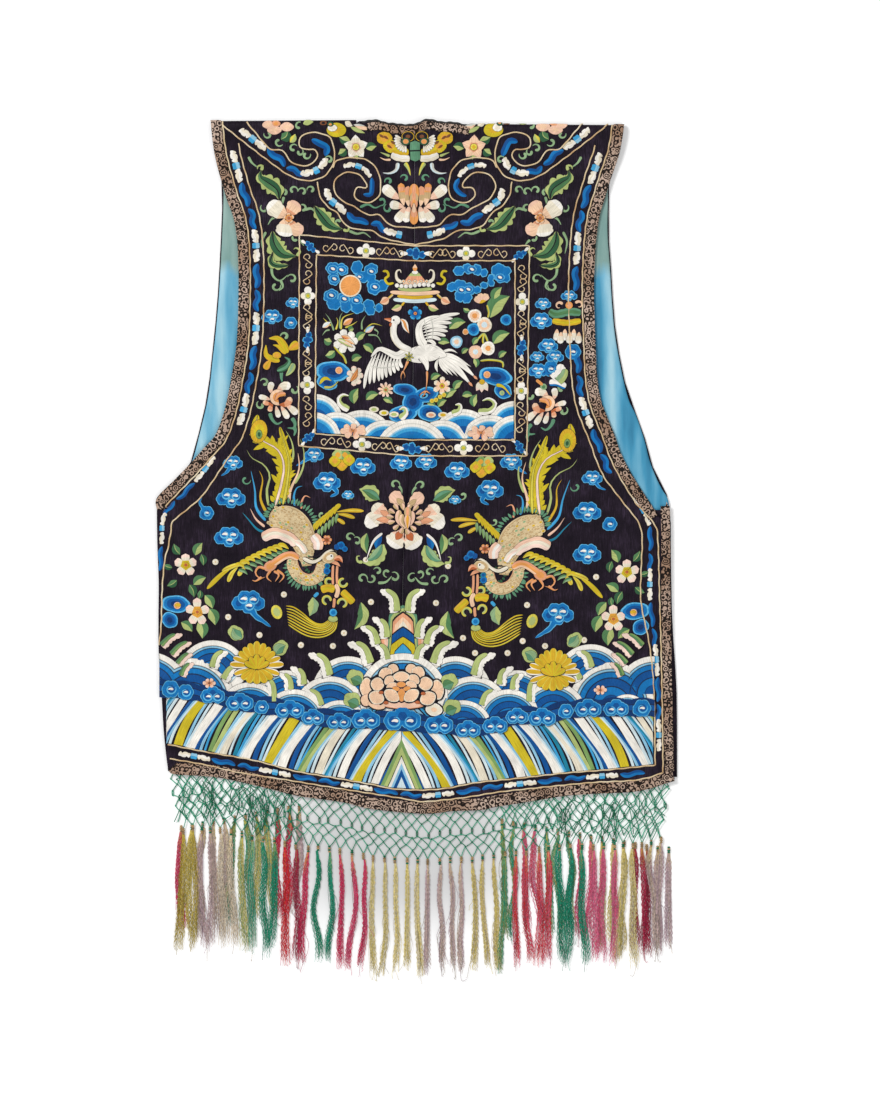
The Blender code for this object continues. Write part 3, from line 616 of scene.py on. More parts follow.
def tubes(runs, radius, sides=4, flatness=1.0):
    # T(s, a) = p(s) + r(s) (sideways cos a + upward sin a * flatness); runs (M, S, 3) in metres
    runs = np.asarray(runs, float)
    count, stations = runs.shape[:2]
    across = sideways(runs)
    along = np.gradient(runs, axis=-2)
    along /= np.maximum(np.linalg.norm(along, axis=-1, keepdims=True), 1e-12)
    upward = np.cross(across, along)
    upward *= np.where(upward[..., 2:] < 0, -1.0, 1.0)
    angle = np.arange(sides) * 2 * math.pi / sides + math.pi / 2
    radius = np.broadcast_to(np.asarray(radius, float), (count, stations))[..., None, None]
    ring = (across[:, :, None, :] * np.cos(angle)[None, None, :, None]
            + upward[:, :, None, :] * np.sin(angle)[None, None, :, None] * flatness)
    points = (runs[:, :, None, :] + ring * radius).reshape(-1, 3)
    ringIndex = np.arange(count * stations * sides).reshape(count, stations, sides)
    after = np.roll(ringIndex, -1, axis=2)
    quads = np.stack([ringIndex[:, :-1], after[:, :-1], after[:, 1:], ringIndex[:, 1:]],
                     axis=-1).reshape(-1, 4)
    # ends closed by folding the ring onto its first points
    caps = []
    for end in (0, stations - 1):
        ring0 = ringIndex[:, end]
        for k in range(1, sides - 1, 2):
            last = ring0[:, min(k + 2, sides - 1)]
            cap = np.stack([ring0[:, 0], ring0[:, k], ring0[:, k + 1], last], axis=-1)
            caps.append(cap if end else cap[:, ::-1])
    return points, quads, np.vstack(caps)


class Thread:
    # gathers tubes and knots of one piece, with a dye for each point
    def __init__(self):
        self.points, self.quads, self.dyes, self.count = [], [], [], 0

    def add(self, points, quads, dyes):
        self.points.append(points)
        self.quads.append(quads + self.count)
        self.dyes.append(dyes)
        self.count += len(points)

    def addTubes(self, runs, radius, dyes, sides=4, flatness=1.0):
        # dyes: (M, S, 3), or anything that spreads to it
        runs = np.asarray(runs, float)
        points, quads, caps = tubes(runs, radius, sides, flatness)
        dyes = np.broadcast_to(dyes, runs.shape)
        dyes = np.repeat(dyes[:, :, None, :], sides, axis=2).reshape(-1, 3)
        self.add(points, np.vstack([quads, caps]), dyes)

    def addKnots(self, centres, radii, dyes, rows=6, columns=8):
        # ellipsoids: centre + (a cos u sin v, b sin u sin v, c cos v)
        centres = np.asarray(centres, float)
        v = np.linspace(0, math.pi, rows)[:, None]
        u = np.linspace(0, 2 * math.pi, columns, endpoint=False)[None, :]
        unit = np.stack(np.broadcast_arrays(np.cos(u) * np.sin(v), np.sin(u) * np.sin(v), np.cos(v)),
                        axis=-1)
        radii = np.broadcast_to(radii, centres.shape)
        points = centres[:, None, None, :] + unit[None] * radii[:, None, None, :]
        index = np.arange(len(centres) * rows * columns).reshape(len(centres), rows, columns)
        after = np.roll(index, -1, axis=2)
        quads = np.stack([index[:, 1:], after[:, 1:], after[:, :-1], index[:, :-1]],
                         axis=-1).reshape(-1, 4)
        dyes = np.broadcast_to(dyes, centres.shape)
        self.add(points.reshape(-1, 3), quads, np.repeat(dyes, rows * columns, axis=0))

    def finish(self, name, material, slot, *nodes):
        thing = meshFrom(name, np.vstack(self.points), np.vstack(self.quads),
                         {"silk": np.vstack(self.dyes)})
        return finishPiece(thing, material, slot, *nodes)


# Linings of the fronts, seen in the armholes
lining = dict(rows=110, columns=16, tuck=9.0, inset=1.2, low=2.35, thickness=0.85, crease=0.75)


def makeLining(side, name, node, top, bottom):
    # L(u, v) between the armhole's edge, tucked under, and the front's edge, with creases
    # h = sum of |sin| ridges that run up the cloth, kept low where the back covers it
    inner = smoothPath(leftArmhole if side < 0 else rightArmhole, 2.0)
    outer = smoothPath(frontLeftEdge if side < 0 else frontRightEdge, 2.0)
    level = np.linspace(bottom, top, lining["rows"])[:, None]
    u = np.linspace(0, 1, lining["columns"])[None, :]
    edge = edgeX(inner, level)
    start = edge - side * lining["tuck"]
    end = edgeX(outer, level) - side * lining["inset"]
    end = np.where(side * (end - edge) < 0.2, edge + side * 0.2, end)
    px = start + (end - start) * u
    py = np.broadcast_to(level, px.shape)
    outside = ease((side * (px - edge) - 0.5) / 5.0) * ease(side * (end - px) / 2.5 + 0.2)
    ridge = (np.abs(np.sin(px * 0.30 + 0.8 * np.sin(py * 0.031) + side)) * 0.6
             + 0.5 * np.sin(py * 0.11 + px * 0.2) * np.sin(py * 0.043 + 1.0))
    x, y = toMillimetres(px, py)
    low = lining["low"] + np.zeros_like(x)
    high = lining["low"] + lining["thickness"] + lining["crease"] * np.clip(ridge, 0, 1) * outside
    quads = gridQuads(*px.shape)
    if side > 0:
        quads = quads[:, ::-1]
    quads = quads[:, ::-1]
    outerPoints = np.stack([x, y, high], axis=-1).reshape(-1, 3) * millimetre
    innerPoints = np.stack([x, y, low], axis=-1).reshape(-1, 3) * millimetre
    a, b, d = (outerPoints[quads[0, k]] for k in (0, 1, 3))
    if np.cross(b - a, d - a)[2] < 0:
        quads = quads[:, ::-1]
    piece = finishPiece(closedShell(name, outerPoints, innerPoints, quads), liningSilk, "lining", node)
    return piece


print("linings")
makeLining(-1, "liningFrontLeft", "lining_left", 183.5, 464.0)
makeLining(1, "liningFrontRight", "lining_right", 183.0, 510.0)

# The neck's black binding and the end of the front's ribbon at the right underarm
bindingSilk = newMaterial("blackSilkBinding", Roughness=0.55, Base_Color=(*linear("#14110F"), 1),
                          Sheen_Weight=0.15)[0]
binding = dict(radius=1.55, flatness=0.85)
neckPath = smoothPath(neckEdge + np.array([0.0, 0.9]), 1.2)
neckWave = np.sin(np.arange(len(neckPath)) * 0.9) * 0.28 + np.sin(np.arange(len(neckPath)) * 0.37
                                                                  + 1) * 0.3
neckX, neckY = toMillimetres(neckPath[:, 0], neckPath[:, 1] + neckWave)
neckRun = np.stack([neckX, neckY, backHeight(neckX, neckY) + 0.35], axis=-1)[None] * millimetre
neckTube, neckQuads, neckCaps = tubes(neckRun, binding["radius"] * millimetre, 8, binding["flatness"])
finishPiece(meshFrom("neckBinding", neckTube, np.vstack([neckQuads, neckCaps])), bindingSilk,
            "binding", "binding_neck")

makeRibbon("ribbonFrontUnderarm", "trim_side_right", [(663.5, 496), (667, 500), (669.6, 508),
                                                      (670.4, 519)], 7.0, -1, -3.4)

# Net: cords of twisted green silk, knotted by hand, slack between the knots
net = dict(pitch=13.72, left=-303.0, columns=46, cord=0.6, drop=58.0, sideDrop=10.0, doubledRow=3,
           doubledDrop=5.7, shares=(0, .124, .256, .404, .556, .686, .802, 1.0), stations=6, sides=5)
netGreens = np.array([linear(code) for code in ("#3FA583", "#2F9472", "#4BAE8C", "#35997A", "#268463")])
dice = np.random.default_rng(11)


def hemAt(x):
    path = smoothPath(hemEdge, 2.0)
    hx, hy = toMillimetres(path[:, 0], path[:, 1])
    return np.interp(x, hx, hy)


def netHeight(x):
    return 1.3 + 1.9 * ease((np.abs(x - 2) - 90) / 110)


def hangingCords(start, end, slack, stations):
    # a cord from a to b bows sideways by slack * 4 t (1 - t)
    t = np.linspace(0, 1, stations)[None, :, None]
    line = start[:, None, :] * (1 - t) + end[:, None, :] * t
    bow = 4 * t * (1 - t) * slack[:, None, None]
    across = end - start
    across = np.stack([-across[:, 1], across[:, 0], np.zeros(len(across))], axis=-1)
    across /= np.maximum(np.linalg.norm(across, axis=-1, keepdims=True), 1e-9)
    return line + across[:, None, :] * bow


def makeNet(name, node, left, columns, pitch, drop, sideDrop, topY, z, crumple, seed):
    # knots in rows; odd and even rows are half a pitch apart; a doubled bar hangs in one row
    dice = np.random.default_rng(seed)
    thread = Thread()
    rows = []
    for row, share in enumerate(net["shares"]):
        shift = 0.5 if row % 2 == 0 else 0.0
        k = np.arange(columns - (1 if shift else 0))
        x = left + pitch * (k + shift)
        x = x + dice.normal(0, 0.75, len(x)) * (row > 0)
        crowd = 1 - 0.035 * ease((np.abs(x) - 230) / 90) * share
        x = x * crowd
        y = topY(x) - (drop + sideDrop * (x / 320) ** 2) * share + dice.normal(0, 0.8, len(x)) * (row > 0)
        rows.append(np.stack([x, y, z(x) + dice.uniform(-0.2, 0.3, len(x))], axis=-1))
    below = [r.copy() for r in rows]
    below[net["doubledRow"]] = below[net["doubledRow"]] - np.array([0, net["doubledDrop"], 0])
    greens = netGreens
    for row in range(len(rows) - 1):
        upper, lower = below[row], rows[row + 1]
        pairs = []
        for k in range(len(lower)):
            around = (k, k + 1) if len(lower) < len(upper) else (k - 1, k)
            pairs += [(a, k) for a in around if 0 <= a < len(upper)]
        pairs = np.array(pairs)
        runs = hangingCords(upper[pairs[:, 0]], lower[pairs[:, 1]], dice.normal(0, 0.55, len(pairs)),
                            net["stations"])
        dye = greens[dice.integers(0, len(greens), len(pairs))][:, None,
                                                                :] * dice.uniform(0.8, 1.15,
                                                                                  (len(pairs), 1, 1))
        thread.addTubes(runs * millimetre, net["cord"] * millimetre, dye, net["sides"])
    if crumple:
        # the net's sides hang in bunches: slack dark cords cross the even mesh
        side = dice.uniform(150, 292, crumple) * dice.choice([-1, 1], crumple)
        top = np.stack([side, topY(side) - dice.uniform(2, 20, crumple),
                        z(side) + dice.uniform(0, 0.9, crumple)], axis=-1)
        end = top - np.stack([dice.normal(0, 9, crumple), dice.uniform(26, 52, crumple), 0 * side],
                             axis=-1)
        runs = hangingCords(top, end, dice.normal(0, 3.5, crumple), 9)
        greens = np.array([linear("#1C6B4C"), linear("#2A8A66")])[dice.integers(0, 2, crumple)]
        dye = greens[:, None, :] * dice.uniform(0.6, 1.1, (crumple, 1, 1))
        thread.addTubes(runs * millimetre, net["cord"] * 0.9 * millimetre, dye, 4)
    bars = rows[net["doubledRow"]]
    for aside in (-0.75, 0.75):
        start, end = bars + (aside, 0, 0), below[net["doubledRow"]] + (aside * 0.6, 0, 0)
        runs = hangingCords(start, end, np.full(len(bars), aside * 0.4), 4)
        thread.addTubes(runs * millimetre, net["cord"] * millimetre, greens[2] * 0.95, net["sides"])
    for row, knots in enumerate(rows[1:], 1):
        size = np.array([1.15, 1.35, 1.0]) * (1.0 if row < len(rows) - 1 else 0.6)
        dye = greens[dice.integers(0, len(greens), len(knots))] * 0.9
        thread.addKnots(knots * millimetre, size * millimetre, dye, 5, 6)
    thread.addKnots(below[net["doubledRow"]] * millimetre, np.array([1.2, 1.3, 1.0]) * millimetre,
                    greens[1], 5, 6)
    thread.finish(name, netThread, "net", node)
    return rows[-1]


print("nets")
backEnds = makeNet("knottedNetBack", "net_back", net["left"], net["columns"], net["pitch"], net["drop"],
                   net["sideDrop"], lambda x: hemAt(x) + 0.5, netHeight, 60, 3)
makeNet("knottedNetFrontLeft", "net_front_left", -311.0, 13, 13.0, 62.0, 0.0,
        lambda x: np.interp(x, (-314, -141), (-282, -258)) - 1.0, lambda x: 1.15 + 0 * x, 0, 4)
makeNet("knottedNetFrontRight", "net_front_right", 102.0, 17, 13.2, 76.0, 0.0,
        lambda x: np.interp(x, (96, 324), (-271, -289)) - 1.0, lambda x: 1.15 + 0 * x, 0, 5)

# Tassels: skeins of crimped silk, each wrapped at its head and frayed at its end
tassel = dict(length=138.0, threads=11, thread=0.5, spread=2.45, strays=4, crimp=0.75, wavelength=6.0,
              stations=44, coilTurns=4, coilRadius=2.3, coilLength=8.0)
tasselDyes = {key: linear(code) for key, code in dict(green="#22A080", deepGreen="#167A54",
                                                      crimson="#CE2456", rose="#E0567C", pink="#E0799A",
                                                      red="#D4302E", maroon="#A02C44", straw="#D8C66E",
                                                      olive="#B09A34", mauve="#C2A6AE", beige="#D6C3AA",
                                                      cream="#E9DEC8", yellow="#D8C45E").items()}
backTasselOrder = [
    # right end in picture pixels, main dye, second dye
    (178, "crimson", "rose"), (186, "olive", "straw"), (194, "olive", "straw"), (216, "mauve", "beige"),
    (232, "beige", "cream"), (246, "straw", "green"), (262, "green", "beige"),
    (278, "green", "deepGreen"),
    (292, "red", "crimson"), (306, "maroon", "crimson"), (314, "crimson", "rose"),
    (333, "green", "deepGreen"),
    (371, "crimson", "pink"), (419, "straw", "cream"), (464, "mauve", "beige"), (494, "straw", "beige"),
    (514, "green", "olive"), (550, "red", "pink"), (584, "green", "deepGreen"), (617, "pink", "rose"),
    (641, "straw", "cream"), (648, "maroon", "crimson"), (690, "mauve", "beige")]


def makeTassels(name, node, heads, lengths, leans, order, z, seed):
    # strand: p(t) = head + (lean t^1.3 + wander, -length t), its threads spread and crimped about it
    dice = np.random.default_rng(seed)
    thread = Thread()
    count, stations = len(heads), tassel["stations"]
    t = np.linspace(0, 1, stations)[None, :]
    length = lengths[:, None]
    wander = (dice.normal(0, 2.2, (count, 1)) * np.sin(math.pi * t * dice.uniform(0.8, 1.8, (count, 1)))
              + dice.normal(0, 1.0, (count, 1)) * np.sin(math.pi * t * 3.1
                                                         + dice.uniform(0, 6, (count, 1))))
    centreX = heads[:, :1] + leans[:, None] * t ** 1.3 + wander
    baseZ = z(heads[:, 0])[:, None]
    crowded = 1 + 0.45 * ease((np.abs(heads[:, :1]) - 110) / 40)
    px = heads[:, 0] / picture["mmPerPixel"] + picture["originX"]
    limits = np.array([o[0] for o in order])
    pick = np.minimum(np.searchsorted(limits, px), len(order) - 1)
    first = np.array([tasselDyes[order[k][1]] for k in pick])
    second = np.array([tasselDyes[order[k][2]] for k in pick])
    for n in range(tassel["threads"]):
        place = (n + 0.5) / tassel["threads"] * 2 - 1
        gather = 0.4 + 0.6 * ease(t * 7)
        loosen = (1 + 0.7 * t ** 2 * dice.uniform(0.2, 1.8, (count, 1))) * crowded
        phase = dice.uniform(0, 6.28, (count, 1))
        wave = 2 * math.pi * length * t / (tassel["wavelength"] * dice.uniform(0.8, 1.35, (count, 1)))
        crimp = tassel["crimp"] * np.sin(wave + phase) * ease(t * 10)
        x = centreX + place * tassel["spread"] * gather * loosen + crimp
        slack = 1 - dice.uniform(0, 0.10, (count, 1)) ** 1.0
        y = heads[:, 1:2] - tassel["coilLength"] * 0.5 - length * t * slack + 0.2 * np.cos(wave + phase)
        lift = 0.55 * (1 - place ** 2) * dice.uniform(0.2, 1.3,
                                                      (count, 1)) + 0.25 * np.sin(wave * 0.5 + phase * 2)
        runs = np.stack([x, y, np.maximum(baseZ + lift, 0.5)], axis=-1)
        share = np.clip(dice.uniform(-0.25, 0.75, (count, 1)) + 0.15 * np.sin(t * 9 + phase), 0,
                        1)[..., None]
        dye = first[:, None, :] * (1 - share) + second[:, None, :] * share
        nearKnot = (0.75 * (dice.random((count, 1)) < 0.3) * (1 - ease(t * 4)))[..., None]
        dye = dye * (1 - nearKnot) + tasselDyes["yellow"] * nearKnot
        dye = dye * dice.uniform(0.82, 1.12, (count, 1, 1))
        radius = tassel["thread"] * (1 - 0.55 * ease((t - 0.86) / 0.14)) * millimetre
        thread.addTubes(runs * millimetre, np.broadcast_to(radius, x.shape), dye, 3)
    # single fibres that have come loose and curl away from the strand
    u = np.linspace(0, 1, 22)[None, :]
    for n in range(tassel["strays"]):
        begin, reach = dice.uniform(0.1, 0.7, (count, 1)), dice.uniform(0.3, 0.55, (count, 1))
        share = np.minimum(begin + reach * u, 1.05)
        middle = np.stack([np.interp(share[k], t[0], centreX[k]) for k in range(count)])
        curlAway = (dice.normal(0, 3.4, (count, 1)) * np.sin(u * dice.uniform(2.5, 7, (count, 1)))
                    + dice.normal(0, 4.0, (count, 1)) * u ** 2)
        y = heads[:, 1:2] - tassel["coilLength"] * 0.5 - length * share + 1.2 * np.sin(u * 19 + n)
        runs = np.stack([middle + curlAway, y, np.maximum(baseZ + 0.9, 0.5) + 0 * y], axis=-1)
        dye = (first if n % 2 else second)[:, None, :] * dice.uniform(0.45, 1.0, (count, 1, 1))
        thread.addTubes(runs * millimetre, tassel["thread"] * 0.55 * millimetre,
                        np.broadcast_to(dye, (count, 22, 3)), 3)
    # heads wrapped with a few turns of buff thread
    turns = np.linspace(-0.5, 0.5, tassel["coilTurns"])
    buff = linear("#A98C62")
    for k, place in enumerate(turns):
        centre = np.stack([heads[:, 0], heads[:, 1] + place * tassel["coilLength"] * -0.8,
                           baseZ[:, 0] + 0.45], axis=-1)
        size = np.array([tassel["coilRadius"] * (0.78 + 0.22 * math.cos(place * 2.6)), 1.25, 1.35])
        dye = buff * dice.uniform(0.6, 1.25, (count, 1))
        dye = np.where(dice.random((count, 1)) < 0.3, tasselDyes["deepGreen"] * 0.8, dye)
        thread.addKnots(centre * millimetre, size * millimetre, dye, 5, 7)
    return thread.finish(name, tasselThread, "tassels", node)


print("tassels")
endX = backEnds[:, 0]
heads = backEnds[:, :2] - np.array([0, 3.0])
backLengths = tassel["length"] + 4 + dice.normal(0, 5, len(endX)) + 3 * (np.abs(endX) > 230)
makeTassels("tasselsBack", "fringe_back", heads, backLengths, dice.normal(0, 3.5, len(endX)),
            backTasselOrder, lambda x: netHeight(x) * 0.55 + 0.6, 21)
frontLeftOrder = [(182, "crimson", "rose"), (200, "straw", "olive"), (225, "beige", "mauve"),
                  (246, "green", "olive"), (270, "straw", "green"), (292, "crimson", "red"),
                  (330, "mauve", "beige")]
frontRightOrder = [(520, "green", "olive"), (545, "pink", "red"), (575, "green", "straw"),
                   (600, "rose", "pink"), (628, "straw", "cream"), (655, "maroon", "crimson"),
                   (690, "mauve", "beige")]
frontX = -296 + 13.4 * np.arange(12)
headsLeft = np.stack([frontX, np.interp(frontX, (-314, -172, -141), (-350, -324, -319)) - 6], axis=-1)
makeTassels("tasselsFrontLeft", "fringe_front_left", headsLeft, 130 + dice.normal(0, 6, 12),
            dice.normal(0, 4, 12), frontLeftOrder, lambda x: 0.7 + 0 * x, 22)
frontX = 105 + 13.9 * np.arange(16)
headsRight = np.stack([frontX, np.interp(frontX, (96, 296, 324), (-337, -372, -374)) - 6], axis=-1)
makeTassels("tasselsFrontRight", "fringe_front_right", headsRight, 130 + dice.normal(0, 6, 16),
            dice.normal(0, 4, 16), frontRightOrder, lambda x: 0.7 + 0 * x, 23)

# Embroidery. Every motif is drawn in the picture's pixels and sewn on to the back's face.
silk = {name: linear(code) for name, code in dict(rim="#5DB2DC", white="#EFEAE0", cream="#E6DCC6",
                                                  grey="#C9C8BE", ice="#CFE0E4", light="#8CC0DA",
                                                  sky="#3FA0D2", mid="#1272B4", deep="#0C4F90",
                                                  navy="#0C3468", teal="#1E7F9B", ink="#1C1720",
                                                  yellow="#CCB727", lemon="#D6C84E", gold="#D2A92A",
                                                  amber="#E0A23C", lime="#AEBB74", leaf="#7A9C5C",
                                                  moss="#507C50", forest="#2F5A3C", sage="#8CAA7E",
                                                  sea="#5E9070", peach="#EEC6A4", coral="#E09E78",
                                                  rust="#B9653C", orange="#E39A55", pink="#F1D3C3",
                                                  blush="#EBC0A6", tan="#C3A578", buff="#D9C297",
                                                  brown="#7A4B2E").items()}


def banded(limits, names, steps=3):
    # places that double at each band's limit, so that the dyes change sharply there
    limits = [0.0] + list(limits)
    edge = 0.01
    places = np.concatenate([np.linspace(a + edge, b - edge, steps) for a,
                             b in zip(limits[:-1], limits[1:])])
    places[0], places[-1] = limits[0], limits[-1]
    dyes = np.repeat(np.array([silk[name] for name in names]), steps, axis=0)
    return places, dyes


profiles = dict(
    fin=lambda t: (1 - 0.42 * t) * np.sqrt(np.clip(1 - ((t - 0.84) / 0.16) ** 2 * (t > 0.84), 0, 1)),
    lobe=lambda t: np.where(t < 0.66, 0.3 + 0.7 * np.sin(np.pi / 2 * t / 0.66) ** 1.3,
                            np.sqrt(np.clip(1 - ((t - 0.66) / 0.34) ** 2, 0, 1))),
    # half widths along a blade, as shares of its greatest
    leaf=lambda t: np.sin(np.pi * t ** 0.85) ** 1.05,
    drop=lambda t: np.sqrt(np.clip(1 - t, 0, 1)) * np.sin(np.pi * np.clip(t, 0, 1) ** 0.5) ** 0.6 * 1.15,
    petal=lambda t: np.clip(t + 0.02, 0, 1) ** 0.6 * np.sqrt(np.clip(1 - t ** 4, 0, 1)) * 1.2,
    plume=lambda t: np.clip(t * 6, 0, 1) ** 0.5 * np.sqrt(np.clip(1 - t ** 8, 0, 1)),
    strip=lambda t: np.sqrt(np.clip(1 - (2 * t - 1) ** 12, 0, 1)),
    taper=lambda t: np.sqrt(np.clip(1 - (2 * t - 1) ** 12, 0, 1)) * (1 - 0.75 * t),
    spindle=lambda t: np.sin(np.pi * t) ** 0.7)


class Hoop:
    # gathers the patches of one piece: each is a grid of places, dyes, strand places and rim distances
    def __init__(self):
        self.parts = []
        self.place = lambda x, y: (x, y)

    def sew(self, px, py, dyes, across, along, rim, lift):
        shape = px.shape
        px, py = self.place(px, py)
        flat = [np.broadcast_to(v, shape).ravel() for v in (px, py, lift, across, along, rim)]
        colours = np.broadcast_to(dyes, shape + (3,)).reshape(-1, 3)
        quads = gridQuads(*shape)
        x, y = flat[0][quads], -flat[1][quads]
        area = ((x[:, 2] - x[:, 0]) * (y[:, 3] - y[:, 1]) - (x[:, 3] - x[:, 1])
                * (y[:, 2] - y[:, 0])).sum()
        self.parts.append((flat, colours, quads if area > 0 else quads[:, ::-1]))

    def blade(self, spine, shape, half, lift, along=None, across=None, dome=0.45, grain="along", steps=9,
              rim=True, scallop=None):
        # B(t, s) = c(t) + n(t) h(t) s, with t along the spine and s from -1 to 1 across it,
        # domed by (1 - s^2)^0.5
        path = smoothPath(spine, 0.8)
        run = np.concatenate([[0], np.cumsum(np.hypot(*np.diff(path, axis=0).T))])
        length = run[-1]
        if along is not None:
            t, dyesT = banded(*along, steps=max(3, steps // len(along[1])))
        else:
            t = 0.5 - 0.5 * np.cos(np.linspace(0, math.pi, steps + 4))
        if across is not None:
            s, dyesS = banded(*across, steps=3)
            s = s * 2 - 1
        else:
            s = np.array([-1, -0.72, -0.35, 0, 0.35, 0.72, 1])
        side = normals(path)
        centre = np.stack([np.interp(t * length, run, path[:, k]) for k in (0, 1)], axis=-1)
        side = np.stack([np.interp(t * length, run, side[:, k]) for k in (0, 1)], axis=-1)
        side /= np.maximum(np.hypot(*side.T), 1e-9)[:, None]
        width = profiles[shape](t) * half
        if scallop:
            # the rim swells and shrinks: h (1 + depth (|cos(n pi t)| - 0.6))
            width = width * (1 + scallop[1] * (np.abs(np.cos(scallop[0] * math.pi * t)) - 0.6))
        px = centre[:, :1] + side[:, :1] * width[:, None] * s
        py = centre[:, 1:] + side[:, 1:] * width[:, None] * s
        dyes = dyesT[:, None, :] if along is not None else dyesS[None, :, :]
        scale = picture["mmPerPixel"]
        acrossMm = width[:, None] * s * scale + path[0, 0] * 3.7
        alongMm = np.broadcast_to(t[:, None] * length * scale + path[0, 1] * 2.9, px.shape)
        if grain == "slant":
            acrossMm, alongMm = (alongMm - 1.4 * np.abs(acrossMm - path[0, 0] * 3.7)) * 0.8, acrossMm
        elif grain == "across":
            acrossMm, alongMm = alongMm, acrossMm
        ends = np.minimum(t, 1 - t)[:, None] * length + 0.15
        edge = np.minimum((1 - np.abs(s)) * width[:, None],
                          ends) * scale if rim else np.full(px.shape, 9.0)
        raised = lift + dome * np.sqrt(np.clip(1 - s ** 2, 0, 1)) * np.clip(width / max(half, 1e-6), 0,
                                                                            1)[:, None]
        self.sew(px, py, dyes, acrossMm, alongMm, edge, raised)

    def disc(self, centre, radius, lift, bands, lobes=0, depth=0.0, squash=1.0, turn=0.0, dome=0.4,
             arc=(0, 360), rim=True, steps=None, power=1.0):
        # D(r, a) = centre + r R(a) (cos a, squash sin a),
        # R = radius (1 + depth (|cos(lobes a / 2)|^power - 1))
        r, dyesR = banded(*bands, steps=2 if len(bands[1]) > 2 else 3)
        count = steps or max(13, lobes * 5 + 1)
        a = np.radians(np.linspace(arc[0], arc[1], count))[:, None]
        reach = radius * (1 + depth * (np.abs(np.cos(lobes * a / 2)) ** power - 1))
        cosT, sinT = math.cos(math.radians(turn)), math.sin(math.radians(turn))
        x, y = r * reach * np.cos(a), r * reach * np.sin(a) * squash
        px, py = centre[0] + x * cosT - y * sinT, centre[1] + x * sinT + y * cosT
        scale = picture["mmPerPixel"]
        edge = (1 - r) * reach * scale if rim else np.full(px.shape, 9.0)
        self.sew(px, py, dyesR[None], a * radius * scale * 0.7 + centre[0], r * reach * scale + centre[1],
                 edge, lift + dome * np.sqrt(np.clip(1 - r ** 2, 0, 1)))

    def finish(self, name, slot="embroidery", material=None):
        if not self.parts:
            return None
        flat = [np.concatenate([part[0][k] for part in self.parts]) for k in range(6)]
        counts = np.cumsum([0] + [len(part[1]) for part in self.parts])
        quads = np.vstack([part[2] + start for part, start in zip(self.parts, counts)])
        points = onCloth(flat[0], flat[1], flat[2])
        stitch = np.stack([flat[3], flat[4], flat[5]], axis=-1)
        dyes = np.vstack([part[1] for part in self.parts])
        thing = meshFrom(name, points, quads, {"silk": dyes, "stitch": stitch}, weld=False)
        print(name, len(quads) * 2, "triangles")
        return finishPiece(thing, material or flossSilk, slot)


class Cords:
    # couched gilt cords, laid singly or in pairs
    def __init__(self):
        self.points, self.quads, self.stitch, self.count = [], [], [], 0

    def couch(self, path, lift=0.35, radius=0.85, pair=0.0, closed=False, sides=5, smooth=True):
        path = smoothPath(path, 1.9, closed) if smooth else np.asarray(path, float)
        # hand-laid: it strays by a fraction of a millimetre
        wobble = 0.22 * np.sin(np.arange(len(path)) * 0.83 + path[0, 0]) * (0 if closed else 1)
        path = offsetPath(path, wobble)
        for aside in ((-pair / 2, pair / 2) if pair else (0.0,)):
            laid = offsetPath(path, aside)
            run = onCloth(laid[:, 0], laid[:, 1], lift + radius * 0.6)[None]
            points, quads, caps = tubes(run, radius * millimetre, sides, 0.85)
            self.points.append(points)
            self.quads.append(np.vstack([quads, caps]) + self.count)
            length = np.concatenate([[0],
                                     np.cumsum(np.hypot(*np.diff(laid,
                                                                 axis=0).T))]) * picture["mmPerPixel"]
            ring = np.arange(sides) / sides * radius * 6.28
            place = np.stack(np.broadcast_arrays(ring[None, :], length[:, None], 9.0),
                             axis=-1).reshape(-1, 3)
            self.stitch.append(place)
            self.count += len(points)

    def finish(self, name):
        thing = meshFrom(name, np.vstack(self.points), np.vstack(self.quads),
                         {"stitch": np.vstack(self.stitch)}, weld=False)
        print(name, len(thing.data.polygons) * 2, "triangles")
        return finishPiece(thing, giltCord, "couched_cord")


dice = np.random.default_rng(5)


def axisX(y):
    return np.interp(y, [120, 350, 440, 520, 600, 780], [415, 414, 411, 404.5, 402.5, 401])


def mirrored(points):
    # the other side's place of a point or path
    points = np.asarray(points, float)
    return np.column_stack([2 * axisX(points[..., 1].ravel()) - points[..., 0].ravel(),
                            points[..., 1].ravel()]).reshape(points.shape)


def polar(centre, radius, degrees):
    turn = math.radians(degrees)
    return (centre[0] + radius * math.cos(turn), centre[1] + radius * math.sin(turn))


def leafAt(hoop, base, tip, half, names=("forest", "moss"), bend=0.12, lift=0.3, rib="lime", scallop=None,
           shape="leaf"):
    # two halves of different greens beside a thin midrib
    base, tip = np.array(base, float), np.array(tip, float)
    along = tip - base
    middle = (base + tip) / 2 + np.array([along[1], -along[0]]) * bend
    hoop.blade([base, middle, tip], shape, half, lift, across=((0.46, 0.54, 1.0),
                                                               (names[0], rib, names[1])), grain="slant",
               scallop=scallop, steps=13 if not scallop else 23)


def tendril(hoop, path, width=1.1, name="sea", lift=0.22, tip=True):
    hoop.blade(path, "taper" if tip else "strip", width, lift, across=((1.0,), (name,)), dome=0.35,
               rim=False, steps=max(8, len(path) * 4))


def curl(centre, radius, start, sweep, end=0.25, count=9):
    # a spiral: r = R (1 - (1 - end) t), a = start + sweep t
    t = np.linspace(0, 1, count)
    r = radius * (1 - (1 - end) * t)
    a = np.radians(start + sweep * t)
    return np.column_stack([centre[0] + r * np.cos(a), centre[1] + r * np.sin(a)])


